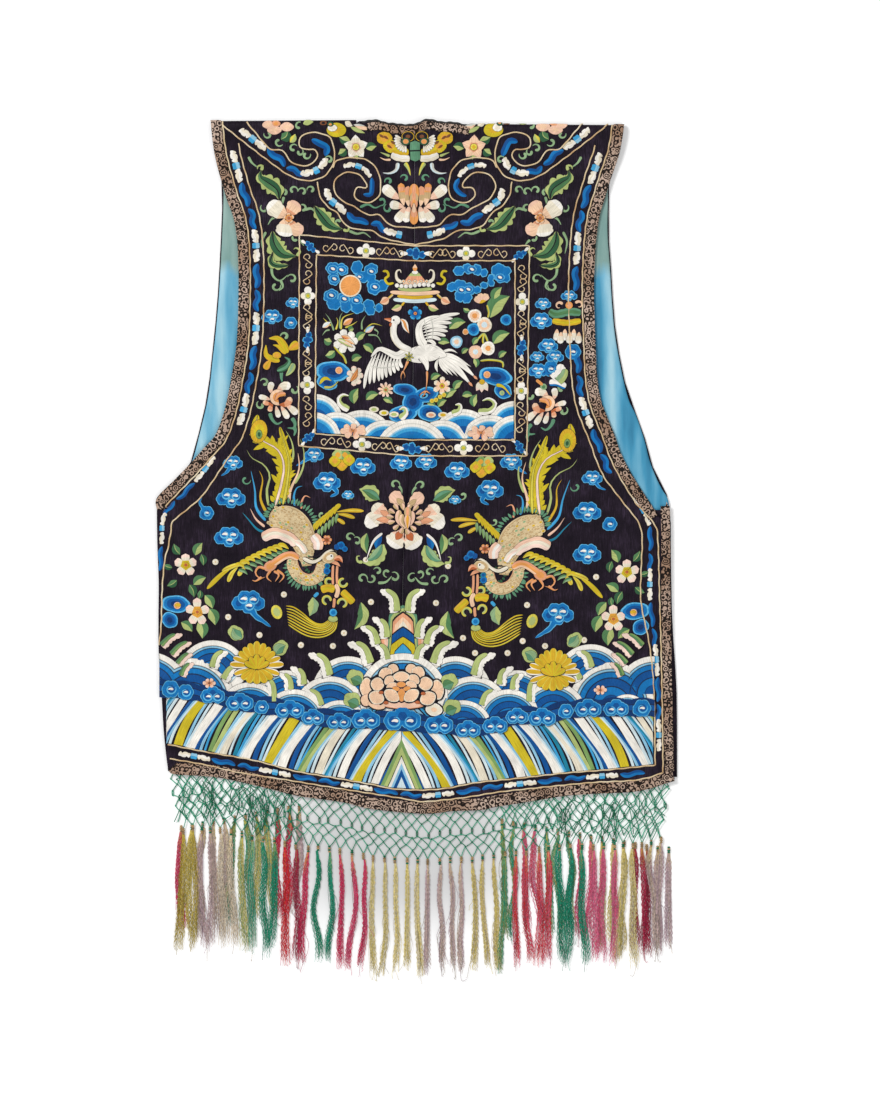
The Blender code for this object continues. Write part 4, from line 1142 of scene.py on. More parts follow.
def flowerAt(hoop, centre, radius, count=5, names=("blush", "pink", "white"), heart="gold", turn=-90,
             lift=0.35, half=None, squash=1.0, heartSize=0.26, shape="petal"):
    half = half or radius * 0.42 * 5 / count
    for k in range(count):
        a = turn + 360 * k / count + dice.uniform(-4, 4)
        tip = polar((0, 0), radius * dice.uniform(0.92, 1.06), a)
        tip = (centre[0] + tip[0], centre[1] + tip[1] * squash)
        hoop.blade([centre, ((centre[0] + tip[0]) / 2, (centre[1] + tip[1]) / 2), tip], shape, half,
                   lift + 0.03 * k, along=((0.38, 0.66, 1.0), names), steps=9)
    if heart:
        hoop.disc(centre, radius * heartSize, lift + 0.25, ((0.5, 1.0), ("rust", heart)), dome=0.4,
                  steps=11)


def peonyAt(hoop, centre, rx, ry, names=("coral", "peach", "white"), turn=0.0, lift=0.3,
            rings=((8, 1.0), (6, 0.7), (4, 0.42)), heart="gold"):
    # rings of ruffled petals, each ring higher and smaller
    for ring, (count, reach) in enumerate(rings):
        for k in range(count):
            a = turn + 360 * (k + 0.5 * ring) / count + dice.uniform(-5, 5)
            d = polar((0, 0), 1.0, a)
            start = (centre[0] + d[0] * rx * reach * 0.12, centre[1] + d[1] * ry * reach * 0.12)
            size = reach * dice.uniform(0.92, 1.05)
            tip = (centre[0] + d[0] * rx * size, centre[1] + d[1] * ry * size)
            width = 0.5 * (rx + ry) * reach * 3.0 / count * 0.8
            hoop.blade([start, ((start[0] + tip[0]) / 2, (start[1] + tip[1]) / 2), tip], "petal", width,
                       lift + 0.16 * ring + 0.02 * (k % 3), along=((0.42, 0.74, 1.0), names), steps=9,
                       scallop=(3.0, 0.10))
    if heart:
        hoop.disc(centre, min(rx, ry) * 0.16, lift + 0.6, ((0.5, 1.0), ("rust", heart)), dome=0.5,
                  steps=13)


def waveHump(hoop, centre, radius, lift, bands=((0.34, 0.52, 0.66, 0.72, 0.80, 0.86, 1.0),
                                               ("navy", "deep", "mid", "light", "mid", "light", "white")),
             arc=(180, 360), squash=1.0):
    hoop.disc(centre, radius, lift, bands, arc=arc, squash=squash, dome=0.45, steps=25, rim=True)


def sprayAt(hoop, base, tip, half, lift=0.5, names=("white", "sage", "moss"), bend=0.18, side=1):
    # a wave's crest: one broad fin, scalloped and pale on its inner side, green on its outer side
    base, tip = np.array(base, float), np.array(tip, float)
    along = tip - base
    length = math.hypot(*along)
    inside = np.array([along[1], -along[0]]) / length * side
    path = smoothPath([base, (base + tip) / 2 - inside * length * bend, tip], 1.0)
    hoop.blade((path + inside * half * 0.42)[::3], "fin", half * 1.12, lift, across=((1.0,), (names[0],)),
               scallop=(max(3, int(length / 4.2)), 0.30), dome=0.5, steps=41)
    hoop.blade((path - inside * half * 0.34)[:int(len(path) * 0.86):3], "fin", half * 0.80, lift + 0.4,
               across=((0.5, 1.0), (names[1], names[2])), dome=0.5, steps=17)


# The borders' filling: blue streaks, and knots of white and light blue
def fillBorder(hoop, middle, width, lift=0.2, start=10.0, spacing=69.0, gap=None):
    path = smoothPath(middle, 1.0)
    length = len(path) * 1.0
    side = normals(path)

    def at(s, off=0.0):
        k = int(np.clip(s, 0, len(path) - 1))
        return path[k] + side[k] * off

    def piece(s, long, half, names, wave, shape, scallop=None, above=0.0):
        places = [at(s + long * share, wave * hand) for share,
                  hand in ((0, 1), (0.35, -1), (0.68, 1), (1, -1))]
        hoop.blade(places, shape, half, lift + above, across=((0.5, 1.0), names), dome=0.4, steps=15,
                   scallop=scallop)

    s = start
    while s < length - 10:
        for long, half, names, wave, shape, scallop in ((12.5, 0.27, ("white", "cream"), 0.06, "strip",
                                                         (2, 0.4)),
                                                        (6.6, 0.33, ("sky", "light"), 0.0, "strip",
                                                         (1, 0.1)),
                                                        (12.5, 0.27, ("cream", "white"), -0.06, "strip",
                                                         (2, 0.4)), (25.0, 0.29, ("mid", "deep"), 0.10,
                                                                     "plume", None),
                                                        (22.0, 0.26, ("deep", "mid"), -0.12, "plume",
                                                         None)):
            if s + long < length - 1 and not (gap and gap[0] < at(s + long / 2)[1] < gap[1]):
                piece(s, long, width * half, names, width * wave, shape, scallop,
                      0.15 if names[0] in ("sky", "white") else 0.0)
            s += long + (0.2 if names[0] in ("white", "sky") else 1.5)
        s += spacing - 33.0 - 37.0


cords = Cords()
borders = Hoop()


def straight(points, spacing=2.0):
    # a path of straight runs, evened out by length
    points = np.asarray(points, float)
    run = np.concatenate([[0], np.cumsum(np.hypot(*np.diff(points, axis=0).T))])
    even = np.linspace(0, run[-1], int(run[-1] / spacing) + 2)
    return np.column_stack([np.interp(even, run, points[:, k]) for k in (0, 1)])


def bothSides(places):
    return [(np.asarray(p, float), 1) for p in places] + [(mirrored(p), -1) for p in places]


print("borders")
armLeftPath, armRightPath = smoothPath(leftArmhole[:-1], 4.0), smoothPath(rightArmhole, 4.0)
armLeftCord = offsetPath(armLeftPath, 11.8)
armRightCord = offsetPath(armRightPath, -11.8)
armLeftInner = offsetPath(armLeftPath, 25.5)
armRightInner = offsetPath(armRightPath, -25.5)
armLeftInner = np.vstack([armLeftInner[(armLeftInner[:, 1] > 143) & (armLeftInner[:, 1] < 440)],
                          [(227, 460), (209, 487), (199, 499.5), (178, 517), (172.5, 522), (171, 532),
                           (168, 549), (165, 560), (162.5, 588), (161.4, 625), (159.2, 645)]])
armRightInner = np.vstack([armRightInner[(armRightInner[:, 1] > 143) & (armRightInner[:, 1] < 480)],
                           [(625, 505), (638, 522), (642, 538), (641, 570), (641, 603), (649, 643),
                            (653, 679), (654.5, 720), (655, 765)]])
armRightCord = np.vstack([armRightCord[armRightCord[:, 1] < 506], [(654, 524), (657.7, 540), (659.5, 600),
                                                                   (661, 650), (662, 700), (662.6, 740),
                                                                   (662.8, 772)]])
hemLower = np.array([(170, 758.6), (207, 765), (237, 772), (288, 780), (330, 787), (400, 798),
                     (421, 801.5), (443, 800), (468, 797), (498, 792), (530, 788.5), (564, 785),
                     (598, 782), (631, 780.5), (650, 777), (662.5, 772.5)])
hemUpper = np.array([(168, 744.3), (207, 752), (253, 760), (293, 770.5), (330, 777), (375, 785),
                     (391, 788.5), (420, 790), (448, 788), (477, 782.5), (520, 778), (564, 773),
                     (610, 769.5), (655, 765)])
for path in (armLeftCord[armLeftCord[:, 0] > 158], armRightCord, armLeftInner, armRightInner, hemLower,
             hemUpper):
    cords.couch(path, radius=0.95, lift=0.3)

armLeftMiddle, armRightMiddle = offsetPath(armLeftPath, 18.4)[5::4], offsetPath(armRightPath, -18.4)[5::4]
fillBorder(borders, armLeftMiddle[armLeftMiddle[:, 1] < 452], 12.0, start=10)
lowerLeft = np.array([(216, 455), (200, 476), (186, 492), (171, 506), (163, 520), (162, 540),
                      (160.5, 565), (160, 590)])
fillBorder(borders, lowerLeft, 8.5, start=2, spacing=62)
fillBorder(borders, armRightMiddle[armRightMiddle[:, 1] < 486], 12.0, start=10, gap=(286, 346))
fillBorder(borders, [(632, 494), (644, 512), (650, 530), (650, 560), (650, 600), (654.5, 640),
                     (657.5, 680), (658.5, 720), (659, 762)], 9.0, start=4, spacing=62)
hemMiddle = np.column_stack([hemLower[:, 0], (hemLower[:, 1] + np.interp(hemLower[:, 0], hemUpper[:, 0],
                                                                         hemUpper[:, 1])) / 2])
fillBorder(borders, hemMiddle, 9.5, start=9, spacing=69)

scrollBand = [(222, 125), (246, 144), (271, 163), (290, 176), (308, 181), (325, 176), (334, 162),
              (334, 149), (330, 138), (319, 133.5), (308, 133.5), (300, 139), (300, 147), (308, 150),
              (315, 150), (317.6, 156), (312, 164), (301, 166), (290, 161), (283, 151), (270, 149),
              (256, 133.5), (247, 123)]
yokeOuter = [(317.6, 182), (320, 196), (328, 207), (337, 213), (345.5, 225), (357, 229.5), (372, 231),
             (383.5, 238), (399, 242), (415, 245)]
yokeInner = [(415, 228), (401, 227), (390, 225), (379, 215), (368, 215), (354.5, 207), (341, 200),
             (334, 189), (337, 178), (348, 172.5), (359, 175), (366, 183), (366, 188), (357, 188),
             (354.5, 196), (361, 202), (372, 202), (380, 194), (380, 178), (375, 167), (366, 160),
             (350, 158), (337, 161), (333, 168)]
for path in (scrollBand, yokeOuter, yokeInner):
    for laid, hand in bothSides([path]):
        cords.couch(laid, radius=0.95, lift=0.3)
for path, width in (([(236, 126), (256, 142), (277, 157), (288, 168), (304, 173.5), (319, 169),
                      (326, 158), (325, 147), (316, 141), (307, 142)], 12.0),
                    ([(326, 183), (329, 198), (338, 206), (350, 216), (361, 222), (375, 224), (387, 231),
                      (400, 235), (413, 236.5)], 12.0), ([(338, 169), (350, 165), (362, 168), (370, 176),
                                                          (373, 187), (368, 196), (361, 195)], 9.0)):
    for laid, hand in bothSides([path]):
        fillBorder(borders, laid, width, start=6, spacing=62)
borders.finish("embroideryBorders")

# The sea along the hem: slanting stripes, humped waves, crests and a row of clouds
print("sea")
sea = Hoop()
stripeOrder = [("white", 8.0), ("ice", 3.0), ("light", 3.0), ("sky", 2.5), ("teal", 3.5), ("ice", 2.5),
               ("cream", 7.0), ("ice", 3.0), ("light", 3.0), ("lime", 5.0), ("leaf", 4.0), ("sky", 2.0),
               ("light", 3.0), ("deep", 4.0), ("white", 8.5), ("ice", 2.5), ("light", 3.0),
               ("yellow", 9.0), ("ice", 2.5), ("light", 3.0), ("deep", 4.5)]
stripeGap = {"deep": 0.7, "leaf": 0.6, "yellow": 0.6, "teal": 0.6, "cream": 0.0, "white": 0.0}


def stripeEdge(x):
    return np.interp(x, hemUpper[:, 0], hemUpper[:, 1]) - 1.2


def sewStripes(hand):
    # S(v, u): x = base(u) + hand (34 v + 22 v^2), y = cord - H v, cut at the centre axis and the side
    x, k = 2.0, 8
    v = np.linspace(0, 1, 15)[:, None]
    while x < 330:
        name, width = stripeOrder[k % len(stripeOrder)]
        width *= 1.0 + 0.1 * math.sin(k * 1.7)
        u = np.linspace(0, 1, 5)[None, :]
        base = x + width * u
        away = base - (30 * v + 26 * v ** 2 + 2.0 * np.sin(v * 5 + k))
        away = np.maximum(away, 0.25)
        height = 74.0
        px = 401.5 - hand * away
        low, high = (166.5, 900) if hand > 0 else (-100, 653.0)
        px = np.clip(px, low, high)
        py = stripeEdge(np.clip(401.5 - hand * base, 168, 655)) - height * v
        sea.sew(px, py, silk[name], (base - x) * 1.25 + k * 3, v * height * 1.25 + x, 9.0,
                0.25 + 0.35 * np.sqrt(np.clip(1 - (2 * u - 1) ** 2, 0, 1)) + 0 * v)
        x += width + stripeGap.get(name, 0.05)
        k += 1


sewStripes(1)
sewStripes(-1)
# the chevron in the middle
for size, name, up in ((21, "leaf", 0.0), (17.5, "lime", 0.02), (14, "ink", 0.05), (13.3, "white", 0.07),
                       (10.5, "light", 0.1), (8, "deep", 0.13), (4.6, "ice", 0.17)):
    t = np.linspace(0, 1, 9)[:, None]
    s = np.linspace(-1, 1, 7)[None, :]
    px = 401.5 + size * s * (1 - t)
    py = stripeEdge(px) - size * 2.35 * t
    sea.sew(px, py, silk[name], s * size + 0 * t, t * size * 2 + 0 * s, 9.0, 0.66 + up + 0 * px)

seaBands = ((0.22, 0.24, 0.42, 0.445, 0.62, 0.645, 0.76, 0.785, 0.83, 0.85, 1.0),
            ("deep", "navy", "mid", "ink", "deep", "ink", "mid", "ink", "light", "ink", "white"))
cloudRow = [(171, 689, 8, 10), (186, 692, 8, 9), (213, 695, 12, 9.5), (240, 702, 15, 10),
            (262, 707, 8.5, 8), (290, 709, 17, 10), (313, 717, 11, 9), (339, 721, 13, 9),
            (366, 719, 14.5, 11), (439, 724, 14.5, 11), (468, 729, 13, 9.5), (495, 725, 13, 9.5),
            (517, 716, 11, 9), (542, 717, 15, 10), (566, 711, 9, 8.5), (588, 708, 14, 10),
            (616, 708, 13, 9.5), (642, 708, 11, 10)]


def seaFoot(x):
    return np.interp(x, [c[0] for c in cloudRow], [c[1] + 0.75 * c[3] for c in cloudRow])


# the water under the clouds: a deep band with a wavy upper edge
footX = np.linspace(159.5, 654.5, 160)[None, :]
footV, footDyes = banded((0.3, 0.34, 0.66, 0.7, 1.0), ("navy", "ink", "deep", "ink", "navy"), steps=2)
footV = footV[:, None]
footY = seaFoot(footX) - (15 + 3
                          * np.abs(np.sin(footX
                                          * 0.11))) * footV + 1.5 * np.abs(np.sin(footX
                                                                                  * 0.16)) * (1 - footV)
sea.sew(footX + 0 * footV, footY, footDyes[:, None, :], footX * 1.25 + 0 * footV, footY * 1.25, 9.0,
        1.95 + 0 * footY)
humps = [  # x, y, radius, layer: the upper ones lie behind
    (213, 676, 36, 0), (348, 692, 36, 0), (286, 700, 30, 0), (150, 690, 38, 1), (192, 701, 43, 1),
    (250, 716, 34, 2),
    (294, 722, 33, 3), (330, 713, 37, 2), (340, 730, 30, 4), (176, 712, 22, 3)]
for x, y, radius, layer in humps:
    for (mx, my), hand in bothSides([(x, y)]):
        if hand < 0:
            my += 4 if mx > 560 else 0
        count, reach = 25, np.linspace(0, 1, 25)[:, None]
        r, dyesR = banded(*seaBands, steps=2)
        a = math.pi + math.pi * reach
        px = np.clip(mx + r * radius * np.cos(a), 159.5 if my < 745 else 167, 654.5)
        py = np.minimum(my + r * radius * np.sin(a), seaFoot(px))
        sea.sew(px, py, dyesR[None], a * radius + 0 * r, r * radius * 1.25 + 0 * a, (1 - r) * radius
                * 1.25 + 0 * a, 0.75 + 0.22 * layer + 0.3 * np.sqrt(np.clip(1 - r ** 2, 0, 1)) + 0 * a)
waveHump(sea, (403, 698), 45, 1.7, bands=seaBands)
crests = [  # base, tip, half width, bend
    ((303, 685), (292, 666), 4.2, -0.2), ((329, 676), (309, 652), 4.8, -0.2),
    ((370, 664), (347, 641), 5.0, -0.2),
    ((377, 645), (360, 625), 4.4, -0.2), ((386, 638), (373, 616), 4.4, -0.2),
    ((396, 612), (380, 588), 4.6, -0.22),
    ((387, 660), (374, 643), 4.2, -0.2), ((321, 706), (305, 689), 4.0, -0.2),
    ((290, 690), (280, 672), 4.0, -0.2)]
for base, tip, half, bend in crests:
    for (b, t), hand in bothSides([(base, tip)]):
        sprayAt(sea, b, t, half, lift=1.25, names=("white", "lime", "lime"), bend=-bend, side=hand)
for base, tip, half, bend in (((213, 668), (229, 650), 4.2, 0.2), ((224, 680), (245, 666), 4.2, 0.2),
                              ((273, 702), (258, 672), 4.0, -0.2), ((162, 646), (182, 633), 3.6, 0.1),
                              ((172, 655), (192, 641), 3.6, 0.1), ((178, 664), (194, 652), 3.4, 0.1),
                              ((182, 676), (193, 662), 3.4, 0.12)):
    for (b, t), hand in bothSides([(base, tip)]):
        names = ("pink", "leaf", "moss") if b[0] < 190 or b[0] > 610 else ("white", "lime", "lime")
        sprayAt(sea, b, t, half, lift=1.25, names=names, bend=abs(bend), side=-hand if bend > 0 else hand)


def spiralCloud(hoop, centre, half, tall, lift, tail=None):
    # two spirals that face each other inside one scalloped outline, each with a white comma
    x, y = centre
    places = [(x - half * 0.42, y + tall * 0.12, tall * 0.82), (x + half * 0.42, y + tall * 0.12,
                                                                tall * 0.82),
              (x, y - tall * 0.22, tall * 0.8)]
    if lift < 1:
        places = [(x - half * 0.5, y + tall * 0.1, tall * 0.62), (x + half * 0.5, y + tall * 0.1,
                                                                  tall * 0.62),
                  (x - half * 0.2, y - tall * 0.36, tall * 0.6), (x + half * 0.24, y - tall * 0.36,
                                                                  tall * 0.6),
                  (x, y + tall * 0.38, tall * 0.6)]
    if half < tall * 1.15:
        places = [(x, y, tall * 0.95), (x - half * 0.3, y + 1.5, tall * 0.7)]
    if tail:
        hoop.blade([centre] + tail, "taper", tall * 0.38, lift - 0.1,
                   across=((0.2, 0.8, 1.0), ("rim", "mid", "rim")), dome=0.3, scallop=(3.5, 0.2),
                   steps=17)
    for k, (px, py, size) in enumerate(places):
        hoop.disc((px, py), size, lift, ((1.0,), ("rim",)), lobes=6, depth=0.12, dome=0.1, turn=k * 31,
                  steps=29)
    for k, (px, py, size) in enumerate(places):
        hoop.disc((px, py), size - 1.05, lift + 0.18, ((0.5, 1.0), ("deep", "mid")), lobes=6, depth=0.10,
                  dome=0.3, rim=False, turn=k * 31, steps=29)
    wide = half >= tall * 1.15
    eyes = [(x + hand * half * 0.36, y + tall * 0.14, hand) for hand in (-1, 1)]
    if not wide:
        eyes = [(x, y, 1)]
    elif lift < 1:
        eyes = [(x - half * 0.24, y - tall * 0.26, -1), (x + half * 0.26, y - tall * 0.2, 1),
                (x + half * 0.03, y + tall * 0.28, 1)]
    for ex, ey, hand in eyes:
        hoop.blade(curl((ex, ey), tall * (0.56 if lift > 1 else 0.44), 90 - 120 * hand, 330 * hand, 0.45,
                        13), "spindle", 0.8, lift + 0.55, across=((1.0,), ("rim",)), dome=0.1, rim=False,
                   steps=19)
        hoop.blade([(ex - tall * 0.26, ey + tall * 0.04), (ex, ey - tall * 0.04),
                    (ex + tall * 0.26, ey + tall * 0.04)], "petal", tall * 0.14, lift + 0.65,
                   across=((1.0,), ("white",)), dome=0.3, rim=False, steps=9)


for x, y, half, tall in cloudRow:
    spiralCloud(sea, (x, y), half, tall, 2.25)
spiralCloud(sea, (402.5, 719), 21, 13, 2.4)
sea.finish("embroideryWaves")

# The badge: a white bird between rocks and waves, within a double frame
print("badge")
badge = Hoop()
frameOuter = [(299.6, 235), (412.5, 246), (529.5, 246), (526.8, 456), (412.5, 456), (298.7, 446)]
frameInner = [(316.5, 255), (412.5, 261), (515, 261), (515, 440), (412.5, 440), (315.2, 434)]
for corners, pair in ((frameOuter, 0.0), (frameInner, 0.0)):
    cords.couch(straight(corners + corners[:1], 2.2), radius=0.9, lift=0.3, pair=pair, smooth=False)


def cornerFlower(centre, turn):
    for a, reach, size, name in ((0, 5.6, 4.0, "white"), (180, 5.6, 4.0, "white"),
                                 (90, 3.9, 3.7, "cream"), (270, 3.9, 3.7, "white")):
        badge.disc(polar(centre, reach, a + turn), size, 0.3, ((1.0,), (name,)), dome=0.5, steps=15)
    badge.disc(centre, 3.0, 0.7, ((0.5, 1.0), ("yellow", "lime")), dome=0.3, steps=13)


def blueUnit(centre, turn, size=1.0):
    # a sprig of blue leaves with a white drop at each end
    for reach, aside, half, name in ((5.5, 1.2, 3.9, "mid"), (-5.5, -1.2, 3.9, "mid"),
                                     (0, 2.6, 3.6, "sky"), (0, -2.6, 3.6, "sky"), (0, 0, 4.4, "deep")):
        place = polar(polar(centre, reach * size, turn), aside * size, turn + 90)
        badge.disc(place, half * size, 0.3, ((0.6, 0.84, 1.0), ("deep", name, "rim")), lobes=5,
                   depth=0.16, turn=turn, steps=21)
    for hand in (-1, 1):
        badge.blade([polar(centre, 6.5 * hand * size, turn), polar(centre, 10 * hand * size, turn),
                     polar(centre, 14.5 * hand * size, turn)], "petal", 2.7 * size, 0.5,
                    across=((1.0,), ("white",)), dome=0.4, steps=9)


for place, turn in (((366, 251), 2), ((308.0, 296), 90), ((307.3, 385), 90), ((466, 253.6), 2),
                    ((522.3, 302), 90), ((521.2, 391), 90), ((362, 444.5), 2), ((463.5, 448), 2)):
    cornerFlower(place, turn)
for place, turn, size in (((310.5, 247), 35, 0.78), ((307.8, 340), 90, 0.92), ((416, 253.7), 0, 1.1),
                          ((521.6, 348), 90, 0.92), ((520, 255), 140, 0.78), ((412, 448.5), 0, 1.1),
                          ((308.5, 437.5), 130, 0.78), ((519.5, 447), 45, 0.8)):
    blueUnit(place, turn, size)


def scrollRun(start, end):
    # S-scrolls of gilt cord: each is two opposite curls on a short stem
    start, end = np.array(start, float), np.array(end, float)
    along = end - start
    length = math.hypot(*along)
    along /= length
    off = np.array([along[1], -along[0]])
    heading = math.degrees(math.atan2(along[1], along[0]))
    count = max(2, int(round(length / 15.0)))
    for k in range(count):
        middle = start + along * length * (k + 0.5) / count
        hand = 1 if k % 2 else -1
        first = curl(middle - along * 3.6 + off * 0.3 * hand, 3.9, heading - 80 * hand, -250 * hand, 0.5,
                     12)[::-1]
        second = curl(middle + along * 3.6 - off * 0.3 * hand, 3.9, heading + 100 * hand, -250 * hand,
                      0.5, 12)
        cords.couch(np.vstack([first, second]), radius=0.68, lift=0.28, sides=4)


frameMiddle = [((376, 251), (404, 253)), ((322, 247.5), (355, 250)), ((308, 253), (308, 286)),
               ((308, 306), (308, 328)), ((307.6, 352), (307.4, 375)), ((307.4, 395), (307.8, 428)),
               ((430, 253.5), (455, 253.6)), ((477, 253.6), (508, 253.6)), ((522.4, 266), (522.3, 292)),
               ((522.2, 312), (521.8, 336)), ((521.6, 360), (521.4, 381)), ((521.3, 401), (520.5, 434)),
               ((320, 440.5), (352, 444)), ((372, 445.5), (400, 448)), ((425, 448), (453, 448)),
               ((474, 448), (507, 448))]
for start, end in frameMiddle:
    scrollRun(start, end)


def lobeCloud(places, lift=0.3, commas=()):
    # scalloped lobes in light blue, mid blue and dark blue, with white commas
    for k, (x, y, size) in enumerate(places):
        badge.disc((x, y), size, lift, ((1.0,), ("rim",)), lobes=6, depth=0.14, dome=0.1, turn=k * 37,
                   steps=29, squash=0.85)
    for k, (x, y, size) in enumerate(places):
        badge.disc((x, y), size - 1.3, lift + 0.15, ((1.0,), ("mid",)), lobes=6, depth=0.14, dome=0.3,
                   rim=False, turn=k * 37, steps=29, squash=0.85)
    for k, (x, y, size) in enumerate(commas):
        badge.disc((x, y), size * 2.1, lift + 0.42, ((0.84, 1.0), ("mid", "rim")), dome=0.1, rim=False,
                   squash=0.78, steps=19, lobes=5, depth=0.06)
        badge.disc((x, y + 0.3), size * 1.2, lift + 0.5, ((1.0,), ("navy",)), dome=0.1, rim=False,
                   squash=0.7, steps=15)
        badge.disc((x, y), size * 0.95, lift + 0.62, ((1.0,), ("white",)), dome=0.25, rim=False,
                   squash=0.6, turn=24, steps=13)


lobeCloud([(333, 268.5, 8), (342, 269.5, 7.5), (334, 279, 7.5), (357, 267.5, 7.5), (371, 270, 8),
           (362, 277, 8), (370, 277, 7), (374, 287, 9), (383, 285.5, 7), (331, 296, 8.5), (334, 304, 8),
           (344, 299, 7.5), (346, 306, 7.5), (356, 301, 8), (358, 308, 7.5), (369, 304.5, 6.5),
           (370, 310, 6.5), (379, 308, 5)], commas=[(333, 269, 2.4), (341.5, 270, 2.4), (334.5, 279, 2.4),
                                                    (371.5, 271.5, 2.2), (359.5, 277, 1.9),
                                                    (375, 287, 2.4), (331.5, 295.5, 2.4),
                                                    (344.5, 299, 2.4), (356.5, 300.5, 2.4)])
badge.disc((350.4, 286.2), 11.3, 1.0, ((0.86, 1.0), ("orange", "cream")), dome=0.5, steps=37)
lobeCloud([(459, 271, 6.5), (468, 269, 6.5), (477, 270, 6.5), (484, 273, 5), (498, 270, 8), (506, 271, 6),
           (500, 277, 7.5), (506, 278, 5.5), (491, 278, 4.5), (452, 287, 6), (460, 286, 8),
           (469, 289, 7.5), (460, 296, 7), (467, 298, 6.5), (477, 290, 5), (484, 285.5, 4.6),
           (491, 283, 4.6)], commas=[(472, 269.5, 2.3), (500, 277.5, 2.3), (461.5, 290, 2.2),
                                     (468.5, 289.5, 2.2)])

# jewelled canopy
for x0, x1, y, half, name, lift in ((398, 432, 289.8, 1.9, "lime", .55),
                                    (390, 440, 293.2, 2.2, "peach", .5),
                                    (397, 433, 297.2, 1.9, "gold", .52),
                                    (393, 437, 300.6, 2.2, "ice", .45)):
    badge.blade([(x0, y - 1), ((x0 + x1) / 2, y + 0.6), (x1, y - 1)], "strip", half, lift,
                across=((1.0,), (name,)), dome=0.45, steps=19)
badge.blade([(415, 286), (415, 279), (415, 272)], "taper", 14.5, 0.6,
            along=((0.35, 0.7, 1.0), ("peach", "coral", "lime")), steps=15)
for k in range(9):
    badge.disc((397 + k * 4.5, 285.6 + 0.9 * math.sin(k * 0.8)), 2.4, 0.95, ((1.0,), ("white",)),
               dome=0.5, steps=11)
for k in range(5):
    badge.disc((403.5 + k * 5.8, 281.5), 1.9, 1.0, ((0.45, 1.0), ("orange", "cream")), dome=0.4, steps=11)
badge.disc((415, 272.5), 3.4, 1.0, ((1.0,), ("white",)), squash=0.6, steps=13)
badge.blade([(415, 272), (415, 268), (415, 264)], "leaf", 2.6, 1.2,
            along=((0.5, 1.0), ("orange", "peach")), steps=9)
for hand in (-1, 1):
    badge.blade([(415 + hand * 13, 283), (415 + hand * 18, 279), (415 + hand * 18.6, 272),
                 (415 + hand * 15, 270), (415 + hand * 13.8, 273.5)], "taper", 2.3, 0.8,
                across=((1.0,), ("cream",)), steps=15)
    badge.blade([(415 + hand * 21, 283), (415 + hand * 27, 284), (415 + hand * 30, 279),
                 (415 + hand * 26.5, 276), (415 + hand * 28, 271.5), (415 + hand * 32.5, 271.5)], "strip",
                1.5, 0.5, across=((1.0,), ("yellow",)), steps=19)
    badge.blade([(415 + hand * 22, 294.5), (415 + hand * 26.5, 298.5)], "strip", 1.4, 0.6,
                across=((0.5, 1.0), ("gold", "buff")))
    badge.blade([(415 + hand * 26, 298), (415 + hand * 31, 301.5), (415 + hand * 35.5, 303)], "leaf", 4.3,
                0.7, across=((0.3, 0.7, 1.0), ("peach", "coral", "peach")))
    badge.blade([(415 + hand * 10.5, 302), (415 + hand * 13.5, 306)], "strip", 1.3, 0.55,
                across=((1.0,), ("gold",)))
    badge.blade([(415 + hand * 13, 305.5), (415 + hand * 18.5, 308.5), (415 + hand * 24, 309.5)], "leaf",
                3.6, 0.65, across=((0.5, 1.0), ("lime", "peach")))
flowerAt(badge, (415.3, 313.6), 7.4, 5, ("deep", "mid", "sky"), heart="orange", lift=0.5, half=3.4)

# peony sprig on the left
for path, name in (([(334, 331), (330, 320), (325, 313)], "sage"), ([(336, 330), (338, 322), (336, 317)],
                                                                    "lemon"),
                   ([(341, 330), (343, 318), (355, 313)], "lemon"), ([(340, 329), (340, 318), (343, 312)],
                                                                     "sage"),
                   ([(345, 328), (352, 325), (358, 321)], "lemon"), ([(362, 330), (362, 322), (366, 315)],
                                                                     "sage"),
                   ([(364, 332), (372, 324), (383, 326)], "lemon"), ([(368, 335), (377, 336), (382, 344)],
                                                                     "sage"),
                   ([(330, 330), (326, 331), (322, 336)], "sage"), ([(331, 326), (326, 321), (323, 318)],
                                                                    "lemon"),
                   ([(374, 329), (378, 332), (377, 336)], "sage")):
    badge.blade(path, "taper", 1.3, 0.3, across=((1.0,), (name,)), dome=0.3, steps=11)
for centre, size, dyes in (((326.5, 325), 4.6, ("peach", "ice", "white")),
                           ((348, 322), 5.4, ("coral", "orange", "peach")),
                           ((369.5, 329.5), 5.0, ("blush", "ice", "light"))):
    badge.blade([(centre[0] - size * 0.9, centre[1] + size * 0.6), centre,
                 (centre[0] + size, centre[1] - size * 0.7)], "leaf", size * 0.62, 0.5,
                across=((0.35, 0.7, 1.0), dyes))
for base, tip in (((357, 341), (366, 333)), ((332, 342), (324, 339)), ((363, 345), (373, 354)),
                  ((352, 361), (362, 357)), ((335, 351), (325, 356)), ((349, 331), (354, 329))):
    leafAt(badge, base, tip, 4.2, ("lime", "moss"), bend=0.15, lift=0.35)
badge.blade([(334, 346), (339, 352), (344, 357), (346.5, 364)], "strip", 1.4, 0.35,
            across=((0.5, 1.0), ("yellow", "lime")), steps=11)
peonyAt(badge, (345.5, 341), 13.5, 12.5, ("pink", "white", "white"), lift=0.55,
        rings=((7, 1.0), (5, 0.72)), heart=None)
for dx, dy, dyes in ((1, -2, ("rust", "orange", "peach")), (3.5, 1.0, ("orange", "peach", "cream")),
                     (-3, 1.5, ("lime", "cream", "lime")), (1.5, 4.0, ("lime", "peach", "cream"))):
    badge.blade([(340 + dx, 338 + dy), (346 + dx, 340 + dy), (352 + dx, 344 + dy)], "leaf", 2.6,
                1.25 + dy * 0.02, across=((0.35, 0.65, 1.0), dyes), dome=0.6)


